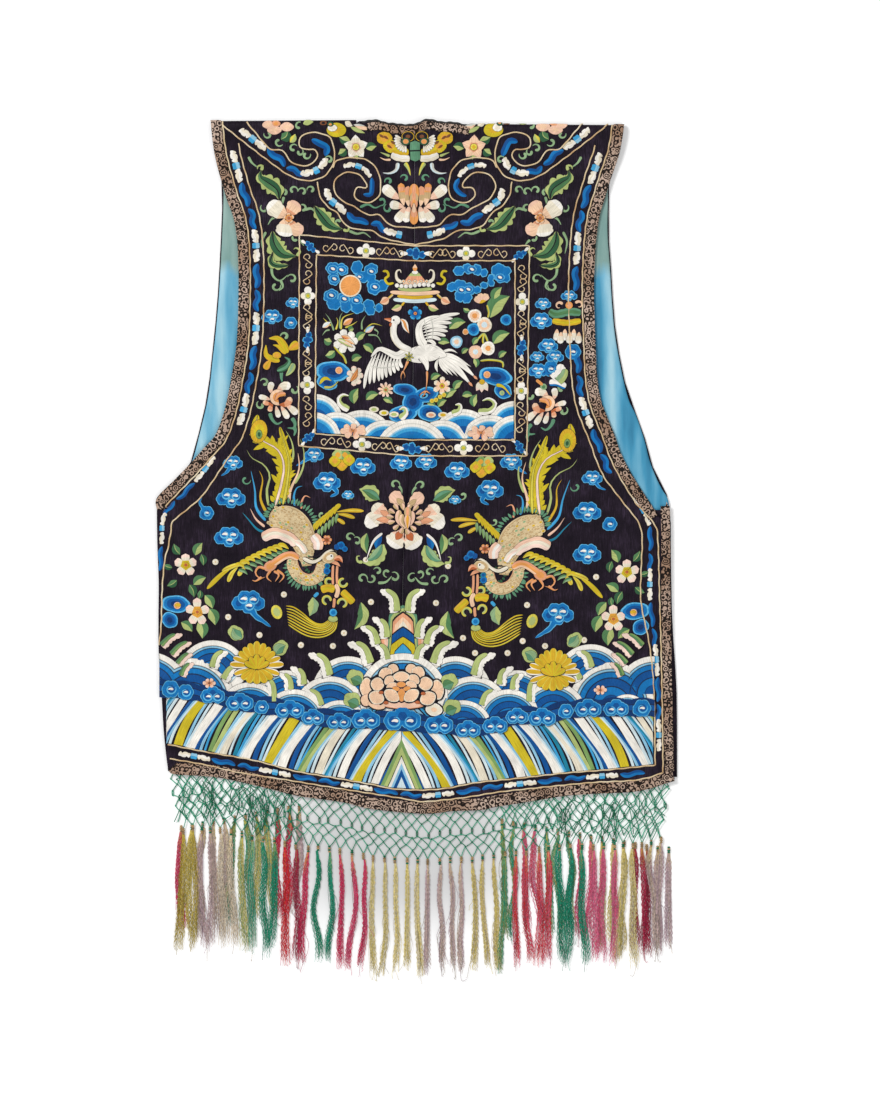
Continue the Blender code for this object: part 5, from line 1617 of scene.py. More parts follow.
# rocks with a light rim and a bright eye
def rockAt(hoop, centre, half, tall, turn=0.0, eye=None, lift=0.35):
    hoop.disc(centre, half, lift, ((0.34, 0.62, 0.84, 1.0), ("navy", "deep", "mid", "rim")), lobes=5,
              depth=0.06, squash=tall / half, turn=turn, steps=41, dome=0.6)
    if eye:
        hoop.disc(eye, 3.8, lift + 0.5, ((0.4, 0.75, 1.0), ("coral", "orange", "peach")), dome=0.5,
                  steps=15)


rockAt(badge, (333, 371.5), 18, 10.5, 4, (339, 370.5))
rockAt(badge, (327, 383), 11, 7, 20)
badge.blade([(319, 385), (325, 378.5), (332.5, 381.5)], "leaf", 2.2, 0.8, across=((1.0,), ("yellow",)))
badge.blade([(324, 387.5), (332, 387), (339, 381)], "taper", 1.8, 0.7,
            across=((0.5, 1.0), ("lime", "yellow")))
rockAt(badge, (495.5, 376.5), 17.5, 9.5, 10, (487, 374.8))
rockAt(badge, (503, 391), 9.5, 8, 30)
badge.blade([(496, 385), (503, 387), (511, 396)], "taper", 2.2, 0.8, across=((1.0,), ("yellow",)))
badge.disc((502, 393), 3.0, 0.75, ((0.5, 1.0), ("sage", "lime")), steps=11)
for centre, half, tall, turn in (((403, 414), 15, 9, -8), ((430, 413), 13, 9, 6),
                                 ((413, 402), 11, 12, 20), ((426, 395), 13, 8, -14),
                                 ((405, 390), 13, 6.5, 8)):
    rockAt(badge, centre, half, tall, turn, lift=0.4)
badge.disc((424, 396), 4.5, 1.3, ((0.5, 1.0), ("ink", "rim")), squash=0.6, turn=-14, steps=17)
badge.disc((406, 410), 4.0, 1.3, ((0.5, 1.0), ("ink", "rim")), squash=0.7, steps=17)

# flowers and fruit
peonyAt(badge, (355, 376), 9, 10.5, ("blush", "cream", "pink"), lift=0.7, rings=((7, 1.0), (5, 0.62)),
        heart=None)
badge.blade([(350, 382), (355, 376), (358, 368)], "leaf", 2.4, 1.5,
            across=((0.4, 0.6, 1.0), ("orange", "rust", "orange")))
flowerAt(badge, (385.7, 390), 8.2, 9, ("blush", "peach", "pink"), heart="lime", lift=0.7, heartSize=0.36)
flowerAt(badge, (442, 386), 9.5, 6, ("blush", "peach", "cream"), heart="yellow", lift=0.7, heartSize=0.32)
for centre, radius, dyes in (((474.7, 316), 7.2, ("orange", "peach", "white")),
                             ((484.3, 325), 8.0, ("ice", "peach", "cream")),
                             ((475.5, 352), 7.2, ("ice", "peach", "blush")),
                             ((488, 348.5), 7.4, ("orange", "cream", "white")),
                             ((473.5, 329.5), 6.8, ("deep", "mid", "sky")),
                             ((456.5, 342), 6.6, ("peach", "ice", "light")),
                             ((506, 320), 6.0, ("deep", "mid", "sky")),
                             ((465.5, 332), 3.4, ("orange", "orange", "peach"))):
    badge.disc(centre, radius, 0.6, ((0.38, 0.7, 1.0), dyes), lobes=3, depth=0.08, dome=0.7, steps=21,
               turn=centre[0] * 7)
for place, turn in (((483, 303), -60), ((483, 303), -140), ((483, 303), -100)):
    tip = polar(place, 10, turn)
    badge.blade([place, ((place[0] + tip[0]) / 2 - 1, (place[1] + tip[1]) / 2), tip], "petal", 4.6,
                0.6 + turn * -0.001, along=((0.3, 0.65, 1.0), ("gold", "blush", "peach")))
for place, turn in (((482, 381), 60), ((482, 381), 120), ((482, 381), 92)):
    tip = polar(place, 12, turn)
    badge.blade([place, ((place[0] + tip[0]) / 2, (place[1] + tip[1]) / 2), tip], "leaf", 3.6, 0.9,
                along=((0.3, 0.7, 1.0), ("blush", "cream", "pink")))
badge.disc((482, 382), 3.0, 1.3, ((1.0,), ("gold",)), steps=11)
for base, tip in (((494, 302), (502, 287)), ((490, 318), (510, 296)), ((449, 329), (466, 322)),
                  ((493, 344), (510, 333)), ((470, 311), (463, 308)), ((438, 343), (450, 343)),
                  ((473, 345), (480, 338)), ((462, 354), (469, 349)), ((474, 358), (476, 368)),
                  ((499, 358), (507, 352)), ((354, 404), (358.5, 388)), ((366, 400), (379, 394)),
                  ((383, 399), (393, 404)), ((431, 380), (441, 375)), ((454, 390), (463, 381)),
                  ((446, 398), (457, 390)), ((462, 396), (473, 396)), ((474, 407), (477, 394)),
                  ((427, 404), (436, 407)), ((438, 407), (447, 400)), ((360, 424), (366, 417)),
                  ((462, 424), (473, 420))):
    leafAt(badge, base, tip, 0.26 * math.hypot(tip[0] - base[0], tip[1] - base[1]) + 0.7,
           ("lime", "moss"), bend=0.16, lift=0.4)
for path in ([(487, 305), (489, 312), (488, 318)], [(478, 339), (484, 334), (488, 342)],
             [(480, 361), (490, 360), (502, 362), (503, 368)], [(484, 333), (483, 342), (486, 345)]):
    badge.blade(path, "strip", 1.3, 0.35, across=((0.5, 1.0), ("yellow", "lime")), steps=11)
for x, y in ((436, 400), (440, 397), (432, 401), (444, 395)):
    badge.disc((x, y), 2.6, 1.0, ((0.5, 1.0), ("gold", "lemon")), dome=0.6, steps=11)

# the waves inside the badge
seaBands = ((0.45, 0.68, 0.76, 0.80, 0.87, 0.89, 1.0), ("deep", "mid", "sky", "light", "white", "grey",
                                                        "white"))
for x, y, radius, layer in ((316, 421, 27, 0), (362, 443, 33, 0), (337, 440, 28, 1), (463, 440, 31, 0),
                            (490, 445, 30, 1), (514, 428, 27, 0), (313, 441, 29, 2), (516, 444, 29, 2),
                            (385, 449, 29, 1), (442, 449, 29, 1), (412, 458, 39, 2)):
    r, dyesR = banded(*seaBands, steps=2)
    a = math.pi + math.pi * np.linspace(0, 1, 29)[:, None]
    px = np.clip(x + r * radius * np.cos(a), 317, 513.6)
    bottom = np.interp(px, (315, 412.5, 515), (432.6, 438.6, 438.6))
    py = np.minimum(y + r * radius * np.sin(a), bottom)
    badge.sew(px, py, dyesR[None], a * radius + 0 * r, r * radius * 1.25 + 0 * a, (1 - r) * radius * 1.25
              + 0 * a, 1.3 + 0.2 * layer + 0.25 * np.sqrt(np.clip(1 - r ** 2, 0, 1)) + 0 * a)
for path, hand in (([(349, 410), (341, 405), (339, 399), (343, 395), (349, 396)], 1),
                   ([(400, 419), (406, 413), (404, 408), (399, 410)], -1),
                   ([(452, 414), (459, 411), (460, 405), (455, 405)], -1),
                   ([(478, 412), (490, 411), (495, 404), (489, 399), (482, 401)], -1)):
    badge.blade(path, "taper", 4.2, 1.5, across=((0.45, 1.0), ("lime", "white") if hand > 0
                                                 else ("white", "lime")), dome=0.7, steps=17,
                scallop=(5, 0.16))
for centre in ((353, 431), (481, 433)):
    peonyAt(badge, centre, 14, 8, ("coral", "blush", "peach"), turn=18, lift=2.1,
            rings=((7, 1.0), (5, 0.62)), heart="orange")
for x, y, name in ((374, 409.5, "lime"), (384, 413, "yellow"), (394, 414.5, "lime"), (431, 415, "coral"),
                   (443, 415, "gold")):
    badge.disc((x, y), 5.2, 1.2, ((0.55, 1.0), (name, "cream")), squash=0.6, dome=0.6, steps=15)


# the white bird: tail plumes, wings of pointed fingers, body, neck and head
def plumeAt(hoop, root, middle, tip, half, lift, names=("white",), shape="leaf", tail=None):
    hoop.blade([root, middle, tip], shape, half, lift, across=((0.47, 0.53, 1.0),
                                                               (names[0], "grey", names[0])), dome=0.5,
               steps=9)
    if tail:
        hoop.blade([(middle[0] * 0.25 + tip[0] * 0.75, middle[1] * 0.25 + tip[1] * 0.75), tip], "leaf",
                   half * 0.45, lift + 0.4, across=((1.0,), (tail,)), dome=0.2)


for k, (middle, tip, half, tail) in enumerate((((452, 356), (473, 368), 2.2, None),
                                               ((450, 350), (459, 354), 1.6, None),
                                               ((458, 362), (478, 380), 3.3, "coral"),
                                               ((454, 366), (473, 387), 3.5, "coral"),
                                               ((448, 366), (459, 378), 1.9, None),
                                               ((445, 367), (454, 377), 1.9, None),
                                               ((442, 367), (449, 376), 1.9, None),
                                               ((436, 366), (438, 373.5), 1.8, None))):
    plumeAt(badge, (438, 353 + 0.8 * k), middle, tip, half, 0.9 + 0.03 * k, tail=tail)
for k, (rootX, rootY, tipX, tipY) in enumerate(((421, 325, 460, 313.5), (421, 326, 453, 318.5),
                                                (421.5, 328, 452, 323), (422, 330, 447.5, 327.5),
                                                (422.5, 333, 448, 331.5), (423, 336, 446, 336),
                                                (424, 339, 441, 340), (425, 342, 436, 345))):
    plumeAt(badge, (rootX, rootY), ((rootX + tipX) / 2, (rootY + tipY) / 2 - 2.5), (tipX, tipY), 2.4,
            1.0 + 0.03 * k, shape="petal")
for k, (rootX, rootY, tipX, tipY) in enumerate(((374, 354, 364, 389), (377, 352, 369.5, 384.5),
                                                (380, 352, 374, 383.5), (383, 353, 379, 381.5),
                                                (386, 354, 382.5, 380), (389, 355, 386.5, 378),
                                                (392, 356, 391, 376), (395, 357, 395, 373.5),
                                                (398, 357, 399, 371), (401, 357, 402.5, 368))):
    plumeAt(badge, (rootX, rootY), ((rootX + tipX) / 2 - 2.0, (rootY + tipY) / 2), (tipX, tipY), 2.3,
            1.0 + 0.03 * k, shape="petal")
badge.blade([(425, 347), (420, 338), (419.5, 326), (428, 319), (440, 316)], "taper", 5.2, 1.35,
            across=((0.47, 0.53, 1.0), ("white", "grey", "white")), dome=0.6, steps=15)
badge.blade([(407, 351), (397, 356), (388, 352), (379, 349), (371, 357)], "taper", 5.0, 1.35,
            across=((0.47, 0.53, 1.0), ("white", "grey", "white")), dome=0.6, steps=15)
for path in ([(424, 319), (426, 330), (428, 342)], [(431, 318), (433, 329), (432, 340)],
             [(374, 358), (386, 362), (400, 362)], [(371, 366), (382, 368), (398, 366)]):
    badge.blade(path, "strip", 0.4, 1.75, across=((1.0,), ("grey",)), dome=0.1, rim=False, steps=11,
                scallop=(6, 0.5))
badge.blade([(401, 347), (410, 354), (420, 354.5), (432, 352), (447, 356)], "spindle", 9.0, 1.4,
            across=((1.0,), ("white",)), dome=1.1, steps=21)
badge.blade([(396.5, 318), (393.5, 328), (394.5, 338), (401, 346), (412, 351)], "strip", 3.5, 1.6,
            across=((0.2, 0.8, 1.0), ("cream", "white", "white")), dome=0.9, steps=15)
badge.disc((427, 353), 13.5, 1.7, ((1.0,), ("white",)), squash=0.62, turn=8, dome=1.0, steps=31)
badge.blade([(421, 356), (426, 363), (427.5, 371)], "taper", 5.0, 1.9, across=((1.0,), ("white",)),
            dome=0.7)
badge.disc((395.5, 320.5), 5.2, 2.1, ((1.0,), ("white",)), dome=0.7, squash=0.95, steps=21)
badge.blade([(391.5, 320.5), (387.5, 319.5), (384, 319)], "taper", 2.6, 2.3,
            across=((0.5, 1.0), ("rust", "coral")), dome=0.4)
badge.blade([(391.5, 322.5), (390.5, 325), (391, 327.5)], "leaf", 1.6, 2.2, across=((1.0,), ("rust",)),
            dome=0.3)
badge.disc((393.8, 320.3), 0.95, 2.95, ((1.0,), ("ink",)), dome=0.2, rim=False, steps=9)
badge.blade([(400, 319), (404, 322), (406, 328), (409.5, 334)], "leaf", 3.3, 1.9,
            across=((0.3, 0.7, 1.0), ("white", "orange", "white")), dome=0.5)
flowerAt(badge, (409, 357), 5.0, 7, ("lime", "yellow", "lime"), heart=None, lift=2.6, half=1.0)
for path, half in (([(408, 361), (405.5, 367), (403, 372)], 1.8), ([(403, 371), (401, 376), (401.5, 381)],
                                                                   1.1),
                   ([(403, 371), (405, 376), (404, 379)], 1.0), ([(427, 371), (427, 381), (425.8, 391)],
                                                                 1.5),
                   ([(426, 391), (422, 393), (419, 396)], 1.2), ([(426, 391), (429, 393), (431, 394)],
                                                                 1.1),
                   ([(426, 391), (424, 395), (422, 398)], 1.0)):
    badge.blade(path, "taper", half, 1.7, across=((0.5, 1.0), ("coral", "orange")), dome=0.5)
badge.finish("embroideryBadge")


def asDrawn(x, y):
    return x, y


def acrossAxis(dx=0.0, dy=0.0):
    # draws the same motif on the other side of the centre, moved by dx, dy
    return lambda x, y: (2 * axisX(y) - x + dx, y + dy)


def barbedPlume(hoop, path, half, name, quill, count, lift):
    # a tail plume: a plain vane with pointed barbs that leave it forwards on both sides
    path = smoothPath(path, 1.0)
    side = normals(path)
    ahead = np.gradient(path, axis=0)
    ahead /= np.hypot(*ahead.T)[:, None]
    hoop.blade(path[::4], "plume", half * 0.55, lift, across=((1.0,), (name,)), dome=0.4, rim=False,
               steps=23)
    for k in range(int(count * 0.84)):
        j = int((k + 0.5) / count * (len(path) - 1))
        for hand in (-1, 1):
            reach = half * (0.75 + 0.35 * math.sin(k * 2.3 + hand)) * min(1.0, 0.45 + 2.2 * (k + 1)
                                                                          / count)
            root = path[j] + side[j] * hand * half * 0.2
            tip = root + side[j] * hand * reach + ahead[j] * reach * 0.9
            hoop.blade([root, root * 0.5 + tip * 0.5 + ahead[j] * 0.8, tip], "leaf", half * 0.26,
                       lift + 0.08, across=((1.0,), (name,)), dome=0.3, steps=6)
    hoop.blade(path[::4], "taper", 1.7, lift + 0.5, across=((1.0,), (quill,)), dome=0.3, steps=25)


def spikes(hoop, centre, rx, ry, start, end, count, reach, name, lift, turn=0.0):
    for a in np.linspace(start, end, count):
        t, tilt = math.radians(a), math.radians(turn)
        x, y = rx * math.cos(t), ry * math.sin(t)
        root = (centre[0] + x * math.cos(tilt) - y * math.sin(tilt), centre[1] + x * math.sin(tilt) + y
                * math.cos(tilt))
        tip = polar(root, reach * dice.uniform(0.8, 1.2), a + turn + dice.uniform(-14, 14))
        hoop.blade([root, ((root[0] + tip[0]) / 2, (root[1] + tip[1]) / 2), tip], "leaf", 1.5, lift,
                   across=((1.0,), (name,)), dome=0.3, steps=6)


def phoenix(hoop, place):
    # drawn on the left; the other is the same motif across the axis
    hoop.place = place
    for path, half, name in (([(246.5, 449), (252, 458), (264, 465), (270, 476), (267, 490),
                               (268.5, 506)], 1.7, "lime"), ([(259, 470), (262.8, 480), (260.5, 498),
                                                              (267, 514)], 1.9, "gold"),
                             ([(251, 470), (255, 490), (256.5, 508), (266, 521)], 2.0, "sky"),
                             ([(285.5, 430), (291.5, 441), (293.5, 453), (292, 463)], 1.6, "lime"),
                             ([(298, 452), (299, 470), (290.5, 490), (289, 503)], 2.0, "peach"),
                             ([(303, 486), (297, 488), (294, 496), (295, 506)], 1.8, "sky"),
                             ([(311, 498), (305, 496), (301.5, 503), (301.5, 509)], 1.7, "coral"),
                             ([(250, 508), (256, 519), (265, 527)], 1.7, "blush"),
                             ([(242, 512), (249, 520), (257, 529), (266, 533)], 1.7, "teal"),
                             ([(300, 438), (304, 452), (303, 468), (295, 484)], 1.6, "lime")):
        hoop.blade(path[::-1], "taper", half, 0.35, across=((1.0,), (name,)), dome=0.4, steps=15)
    barbedPlume(hoop, [(275.4, 506), (281, 486), (284, 466), (278, 450), (262, 440), (256, 428),
                       (258, 414)], 10.0, "yellow", "pink", 17, 0.45)
    barbedPlume(hoop, [(283, 505), (287, 485), (289, 462), (284, 442), (279, 424)], 5.5, "yellow",
                "lemon", 12, 0.4)
    hoop.disc((259, 431.5), 8.6, 1.05, ((0.6, 1.0), ("yellow", "gold")), squash=1.4, turn=8, dome=0.4,
              steps=31)
    hoop.disc((259.3, 434.5), 3.2, 1.7, ((0.5, 1.0), ("forest", "leaf")), squash=1.5, steps=15)
    # right wing: a yellow outer row, then green coverts
    for k, (rx, ry, tx, ty) in enumerate(((336, 512, 364, 511), (336, 514, 355, 518),
                                          (333, 518, 345, 524))):
        hoop.blade([(rx, ry), ((rx + tx) / 2, (ry + ty) / 2 - 1), (tx, ty)], "petal", 2.6, 0.7,
                   across=((0.4, 0.6, 1.0), ("gold", "lemon", "gold")))
    for k in range(7):
        root = (313 + k * 3.6, 533 - k * 3.1)
        hoop.blade([root, (root[0] + 1.5, root[1] - 6), (root[0] + 6, root[1] - 12 + k * 0.3)], "petal",
                   3.0, 0.6 - 0.02 * k, across=((0.4, 0.6, 1.0), ("yellow", "gold", "yellow")))
        if k < 6:
            hoop.blade([(root[0] + 5, root[1] + 6), (root[0] + 5.5, root[1] + 1),
                        (root[0] + 6.5, root[1] - 4)], "petal", 2.1, 0.85,
                       across=((0.5, 1.0), ("leaf", "sage")))
    # left wing
    for k, (rx, ry, tx, ty, name) in enumerate(((236, 564, 207, 589, "yellow"),
                                                (238, 567, 228, 582, "lemon"),
                                                (247, 567, 238.5, 576, "lemon"),
                                                (250, 562, 222, 571, "lemon"))):
        hoop.blade([(rx, ry), ((rx + tx) / 2 - 1, (ry + ty) / 2 - 1), (tx, ty)], "petal", 3.0,
                   0.6 + 0.03 * k, across=((0.4, 0.6, 1.0), (name, "gold", name)))
    for k in range(9):
        root = (289 - k * 5.4, 549 + k * 1.6 + 0.10 * k * k)
        hoop.blade([root, (root[0] - 6, root[1] - 4), (root[0] - 11.5, root[1] - 3.5 + k * 0.25)],
                   "petal", 2.9, 0.6 + 0.02 * k, across=((0.4, 0.6, 1.0), ("yellow", "gold", "lemon")))
        hoop.blade([(root[0] + 2, root[1] + 6.5), (root[0] - 1.5, root[1] + 3),
                    (root[0] - 7, root[1] + 1.5)], "petal", 2.4, 0.85 + 0.02 * k,
                   across=((0.5, 1.0), ("moss", "sage")))
    # body with a green fringe and small scales, then the curled neck
    spikes(hoop, (291, 521), 22, 16, 165, 345, 23, 7.5, "sea", 0.6, 22)
    spikes(hoop, (307, 566), 17, 18, -10, 185, 22, 8.0, "sea", 0.6)
    spikes(hoop, (312, 566), 4, 5, 0, 330, 12, 4.5, "forest", 0.9)
    body = [(307, 566), (305.5, 552), (302, 538), (291, 524), (270, 514)]
    loop = [(293, 557), (293, 566), (299, 576), (309, 580), (318, 576), (322, 566), (323, 560)]
    hoop.blade(body, "lobe", 16.5, 1.0, across=((0.04, 0.96, 1.0), ("buff", "tan", "buff")), dome=1.1,
               steps=41)
    hoop.blade(loop, "strip", 6.2, 0.95, across=((0.06, 0.94, 1.0), ("buff", "tan", "coral")), dome=0.9,
               steps=31)
    scales = []
    for spine, half in ((body, 13.5), (loop, 4.6)):
        line = smoothPath(spine, 3.4)
        off = normals(line)
        for k in range(1, len(line) - 1):
            wide = half * (profiles["lobe"](np.array([k / len(line)]))[0] if spine is body else 1.0)
            for aside in np.arange(-wide + 1.2, wide, 3.1):
                scales.append(line[k] + off[k] * aside)
    for x, y in scales:
        name = ("tan", "buff", "gold", "sage")[int(dice.choice(4, p=(0.46, 0.36, 0.1, 0.08)))]
        hoop.disc((x + dice.uniform(-1, 1), y + dice.uniform(-0.7, 0.7)), 2.5, 2.0 + 0.05 * dice.random(),
                  ((0.6, 1.0), (name, "buff")), squash=0.72, dome=0.25, steps=9, turn=24, rim=False)
    for path, half, names in (([(262, 538), (275, 533), (290, 538), (297, 545)], 5.6,
                               ("pink", "cream", "blush")), ([(293, 540), (301, 545), (306, 553)], 3.4,
                                                             ("white", "pink", "cream")),
                              ([(313, 535), (318, 542), (318, 550)], 5.2, ("pink", "white", "blush"))):
        hoop.blade(path, "strip", half, 2.4, across=((0.35, 0.65, 1.0), names), dome=0.6, steps=13,
                   scallop=(3, 0.12))
    peonyAt(hoop, (327, 540), 5.6, 5.2, ("rust", "coral", "orange"), lift=2.3, rings=((6, 1.0),),
            heart="gold")
    # legs with clenched claws
    hoop.blade([(299, 559), (292, 555), (285, 556), (277, 561), (270, 566)], "strip", 3.8, 2.3,
               across=((0.3, 0.7, 1.0), ("coral", "orange", "peach")), dome=0.7, steps=17)
    hoop.disc((270.5, 566), 7.2, 2.35, ((0.6, 1.0), ("orange", "coral")), squash=0.74, turn=-28, dome=0.7,
              steps=23)
    for path in ([(266, 569), (259, 567), (255.5, 573), (260, 578), (266, 577)],
                 [(262, 577), (256, 581), (252, 580)], [(271, 570), (267, 577), (272, 582)],
                 [(274, 571), (279, 575), (275, 582)], [(277, 570), (284, 576), (279, 583)]):
        hoop.blade(path, "taper", 1.8, 2.2, across=((0.5, 1.0), ("coral", "orange")), dome=0.5, steps=11)
    # head, crest, beak and wattle
    hoop.blade([(303, 558), (312, 562), (320, 559), (327, 552), (334, 550), (338, 555)], "taper", 3.0,
               2.5, across=((0.16, 0.84, 1.0), ("ink", "cream", "ink")), steps=21)
    hoop.disc((330, 557.5), 8.2, 2.6, ((0.45, 0.8, 1.0), ("cream", "tan", "buff")), squash=0.7, turn=-18,
              dome=0.8, steps=23)
    hoop.blade([(333, 560), (339, 558), (343, 563)], "leaf", 3.0, 3.0,
               across=((0.5, 1.0), ("rust", "coral")), dome=0.6)
    hoop.blade([(331, 563), (336, 563), (341, 567)], "leaf", 2.0, 2.9, across=((1.0,), ("coral",)))
    hoop.disc((331.5, 556), 1.9, 3.4, ((0.5, 1.0), ("ink", "white")), rim=False, steps=11)
    hoop.blade([(308, 557), (318, 556), (326, 549), (333, 549), (338, 555)], "strip", 0.7, 3.4,
               across=((1.0,), ("ink",)), rim=False, dome=0.1, steps=15)
    for x, y, size, name in ((341, 545.5, 4.4, "mid"), (337, 547, 3.4, "deep"), (345, 549, 3.2, "mid"),
                             (327, 571, 3.8, "mid"), (327.5, 566, 3.2, "teal")):
        hoop.disc((x, y), size, 2.4, ((0.55, 1.0), ("deep", name)), lobes=5, depth=0.12, steps=19)
    # jewels and the tassel hung from the beak
    for x in (332.7, 336.9):
        hoop.blade([(x + 0.5, 565), (x, 575), (x + 0.4, 585)], "strip", 1.5, 1.0,
                   across=((1.0,), ("coral",)), steps=9)
    for centre, size, turn in (((343, 582.5), 4.2, 0), ((329, 581.5), 3.6, 40), ((327, 600), 4.2, 90),
                               ((342.5, 603), 4.4, 160)):
        hoop.blade(curl(centre, size, turn, 290, 0.85, 14), "strip", 1.6, 0.9,
                   across=((0.5, 1.0), ("lime", "lemon")), steps=15)
    for path, half in (([(321, 590), (328, 588), (335, 589.5)], 4.2),
                       ([(342, 591), (348, 597), (353.5, 603)], 3.9)):
        hoop.blade(path, "strip", half, 1.2, across=((0.35, 0.65, 1.0), ("gold", "yellow", "gold")),
                   dome=0.7)
    hoop.blade([(335.5, 584), (338, 590), (336, 598)], "strip", 2.4, 1.5, across=((1.0,), ("peach",)))
    hoop.blade([(334.5, 598), (334.2, 603), (333.6, 608)], "strip", 1.6, 1.0, across=((1.0,), ("coral",)))
    hoop.disc((333.3, 612.5), 4.1, 1.4, ((0.55, 1.0), ("mid", "sky")), dome=0.8, steps=19)
    hoop.blade([(328.5, 617.5), (333, 619.5), (337.5, 617.5)], "strip", 2.8, 1.2,
               across=((1.0,), ("lime",)))
    outer = smoothPath([(337.5, 621), (334, 631), (322, 637), (308, 636), (294, 628.5), (282.5, 620)],
                       1.0)
    inner = smoothPath([(329, 620), (325, 623.5), (318, 624), (311, 620.5), (303, 613.5), (293, 607),
                        (280, 605.5)], 1.0)
    shares = np.linspace(0, 1, 40)
    outer = np.column_stack([np.interp(shares * (len(outer) - 1), np.arange(len(outer)), outer[:, k])
                             for k in (0, 1)])
    inner = np.column_stack([np.interp(shares * (len(inner) - 1), np.arange(len(inner)), inner[:, k])
                             for k in (0, 1)])
    for k, share in enumerate(np.linspace(0, 1, 8)):
        spread = outer * (1 - share) + inner * share
        hoop.blade(spread[::5], "strip", 0.95, 0.6, across=((0.5, 1.0), ("yellow", "gold") if k % 2
                                                            else ("lemon", "yellow")), dome=0.5, steps=23)
    hoop.disc((276.8, 612), 5.6, 1.0, ((0.6, 1.0), ("lime", "lemon")), squash=1.35, turn=-20, dome=0.7,
              steps=19)
    # hanging leaves
    hoop.blade([(318.5, 592.5), (314, 597)], "strip", 1.9, 0.9, across=((1.0,), ("sky",)))
    leafAt(hoop, (313, 597), (309.5, 616.5), 5.6, ("lime", "sage"), bend=0.1, lift=0.6, scallop=(3, 0.15))
    leafAt(hoop, (361, 602), (354, 630), 5.8, ("moss", "lime"), bend=0.2, lift=0.6, scallop=(3, 0.12))
    hoop.place = asDrawn


print("phoenixes")
for name, place in (("embroideryPhoenixLeft", asDrawn), ("embroideryPhoenixRight", acrossAxis(4, 9))):
    phoenixHoop = Hoop()
    phoenix(phoenixHoop, place)
    phoenixHoop.finish(name)

# Clouds and pearls in the sky below the badge
print("clouds and pearls")
heaven = Hoop()
for x, y, half, tall, tail in ((314, 455, 11, 8, [(303, 462), (296, 466)]),
                               (327, 482, 15, 11, [(337, 492), (330, 497)]), (363, 467, 14, 10, None),
                               (401, 463, 12, 9, None), (426, 462, 12, 9, None),
                               (233, 463, 11, 8, [(227, 472), (221, 476)]), (231, 498, 17, 11, None),
                               (229, 537, 17, 11, None), (248.5, 602, 19, 12.5,
                                                          [(255, 615), (263, 621), (271, 627)]),
                               (207, 513, 8, 8, [(200, 503), (202, 497)]),
                               (511, 462, 12, 9, [(520, 470), (527, 474)]),
                               (490, 490, 15, 11, [(482, 500), (489, 505)]), (457, 471, 14, 10, None),
                               (592, 478, 12, 8, [(599, 487), (606, 490)]), (587, 512, 16, 11, None),
                               (610, 524, 9, 8, None), (587, 554, 16, 11, None),
                               (558, 614, 18, 12, [(551, 627), (543, 633), (535, 638)]),
                               (293, 303, 8, 6, None), (272, 317, 12, 8, None), (291, 323, 8, 7, None),
                               (348, 495, 7, 5, None), (455, 500, 7, 5, None)):
    spiralCloud(heaven, (x, y), half, tall, 0.35, tail)
for x, y in ((215.6, 562), (284, 594.5), (228.3, 617), (259.6, 635), (301, 645), (333, 646), (344, 633),
             (371, 602), (436, 603), (463, 638), (475, 653), (507.5, 653), (522.6, 641), (545, 646),
             (527, 605), (596, 577), (584, 640), (366, 560), (448, 566)):
    heaven.disc((x, y), 3.3, 0.3, ((0.35, 0.5, 1.0), ("buff", "white", "cream")), dome=0.8, steps=17)
heaven.finish("embroideryClouds")

# Rocks, flowers and leaves of the sides and the middle
print("garden")
garden = Hoop()


def mountain(hoop):
    # nested five-sided bands: half width grows from the peak, y = peak + height t
    for half, peak, name, lift in ((15.5, 605, "sea", 0.6), (13.6, 608, "lime", 0.65),
                                   (11.8, 611, "ink", 0.68), (11.0, 613, "coral", 0.75),
                                   (9.0, 617, "peach", 0.8), (6.0, 621, "cream", 0.85),
                                   (12.0, 626, "ink", 0.9), (11.6, 627.5, "deep", 0.95),
                                   (12.6, 636, "ink", 1.0), (12.2, 637, "yellow", 1.05),
                                   (8.5, 643, "ink", 1.1), (8.0, 644, "sky", 1.15)):
        t = np.linspace(0, 1, 15)[:, None]
        s = np.linspace(-1, 1, 9)[None, :]
        depth = 655 - peak
        width = half * np.clip(t * (655 - peak) / 8.0, 0, 1) ** 0.8 * (0.86 + 0.2 * t)
        px, py = 403 + width * s, peak + depth * t + 0 * s
        hoop.sew(px, py, silk[name], px * 1.25, py * 1.25, 9.0 + 0 * px, lift + 0 * px)


mountain(garden)
for hand in (-1, 1):
    garden.blade([(403 + hand * 17, 652), (403 + hand * 18.5, 640), (403 + hand * 15, 628)], "leaf", 4.2,
                 0.5, across=((0.5, 1.0), ("blush", "coral")))


def cuppedPetal(hoop, centre, wide, tall, turn, lift, names=("peach", "blush", "cream"), lobes=4):
    # a rounded petal on a slightly larger dark one, which leaves the voids between petals
    hoop.disc(centre, wide + 0.9, lift, ((1.0,), ("ink",)), squash=(tall + 0.9) / (wide + 0.9), turn=turn,
              rim=False, dome=0.0, steps=25)
    hoop.disc(centre, wide, lift + 0.05, ((0.35, 0.85, 1.0), names), squash=tall / wide, turn=turn,
              lobes=lobes, depth=0.07, dome=0.07, steps=29)


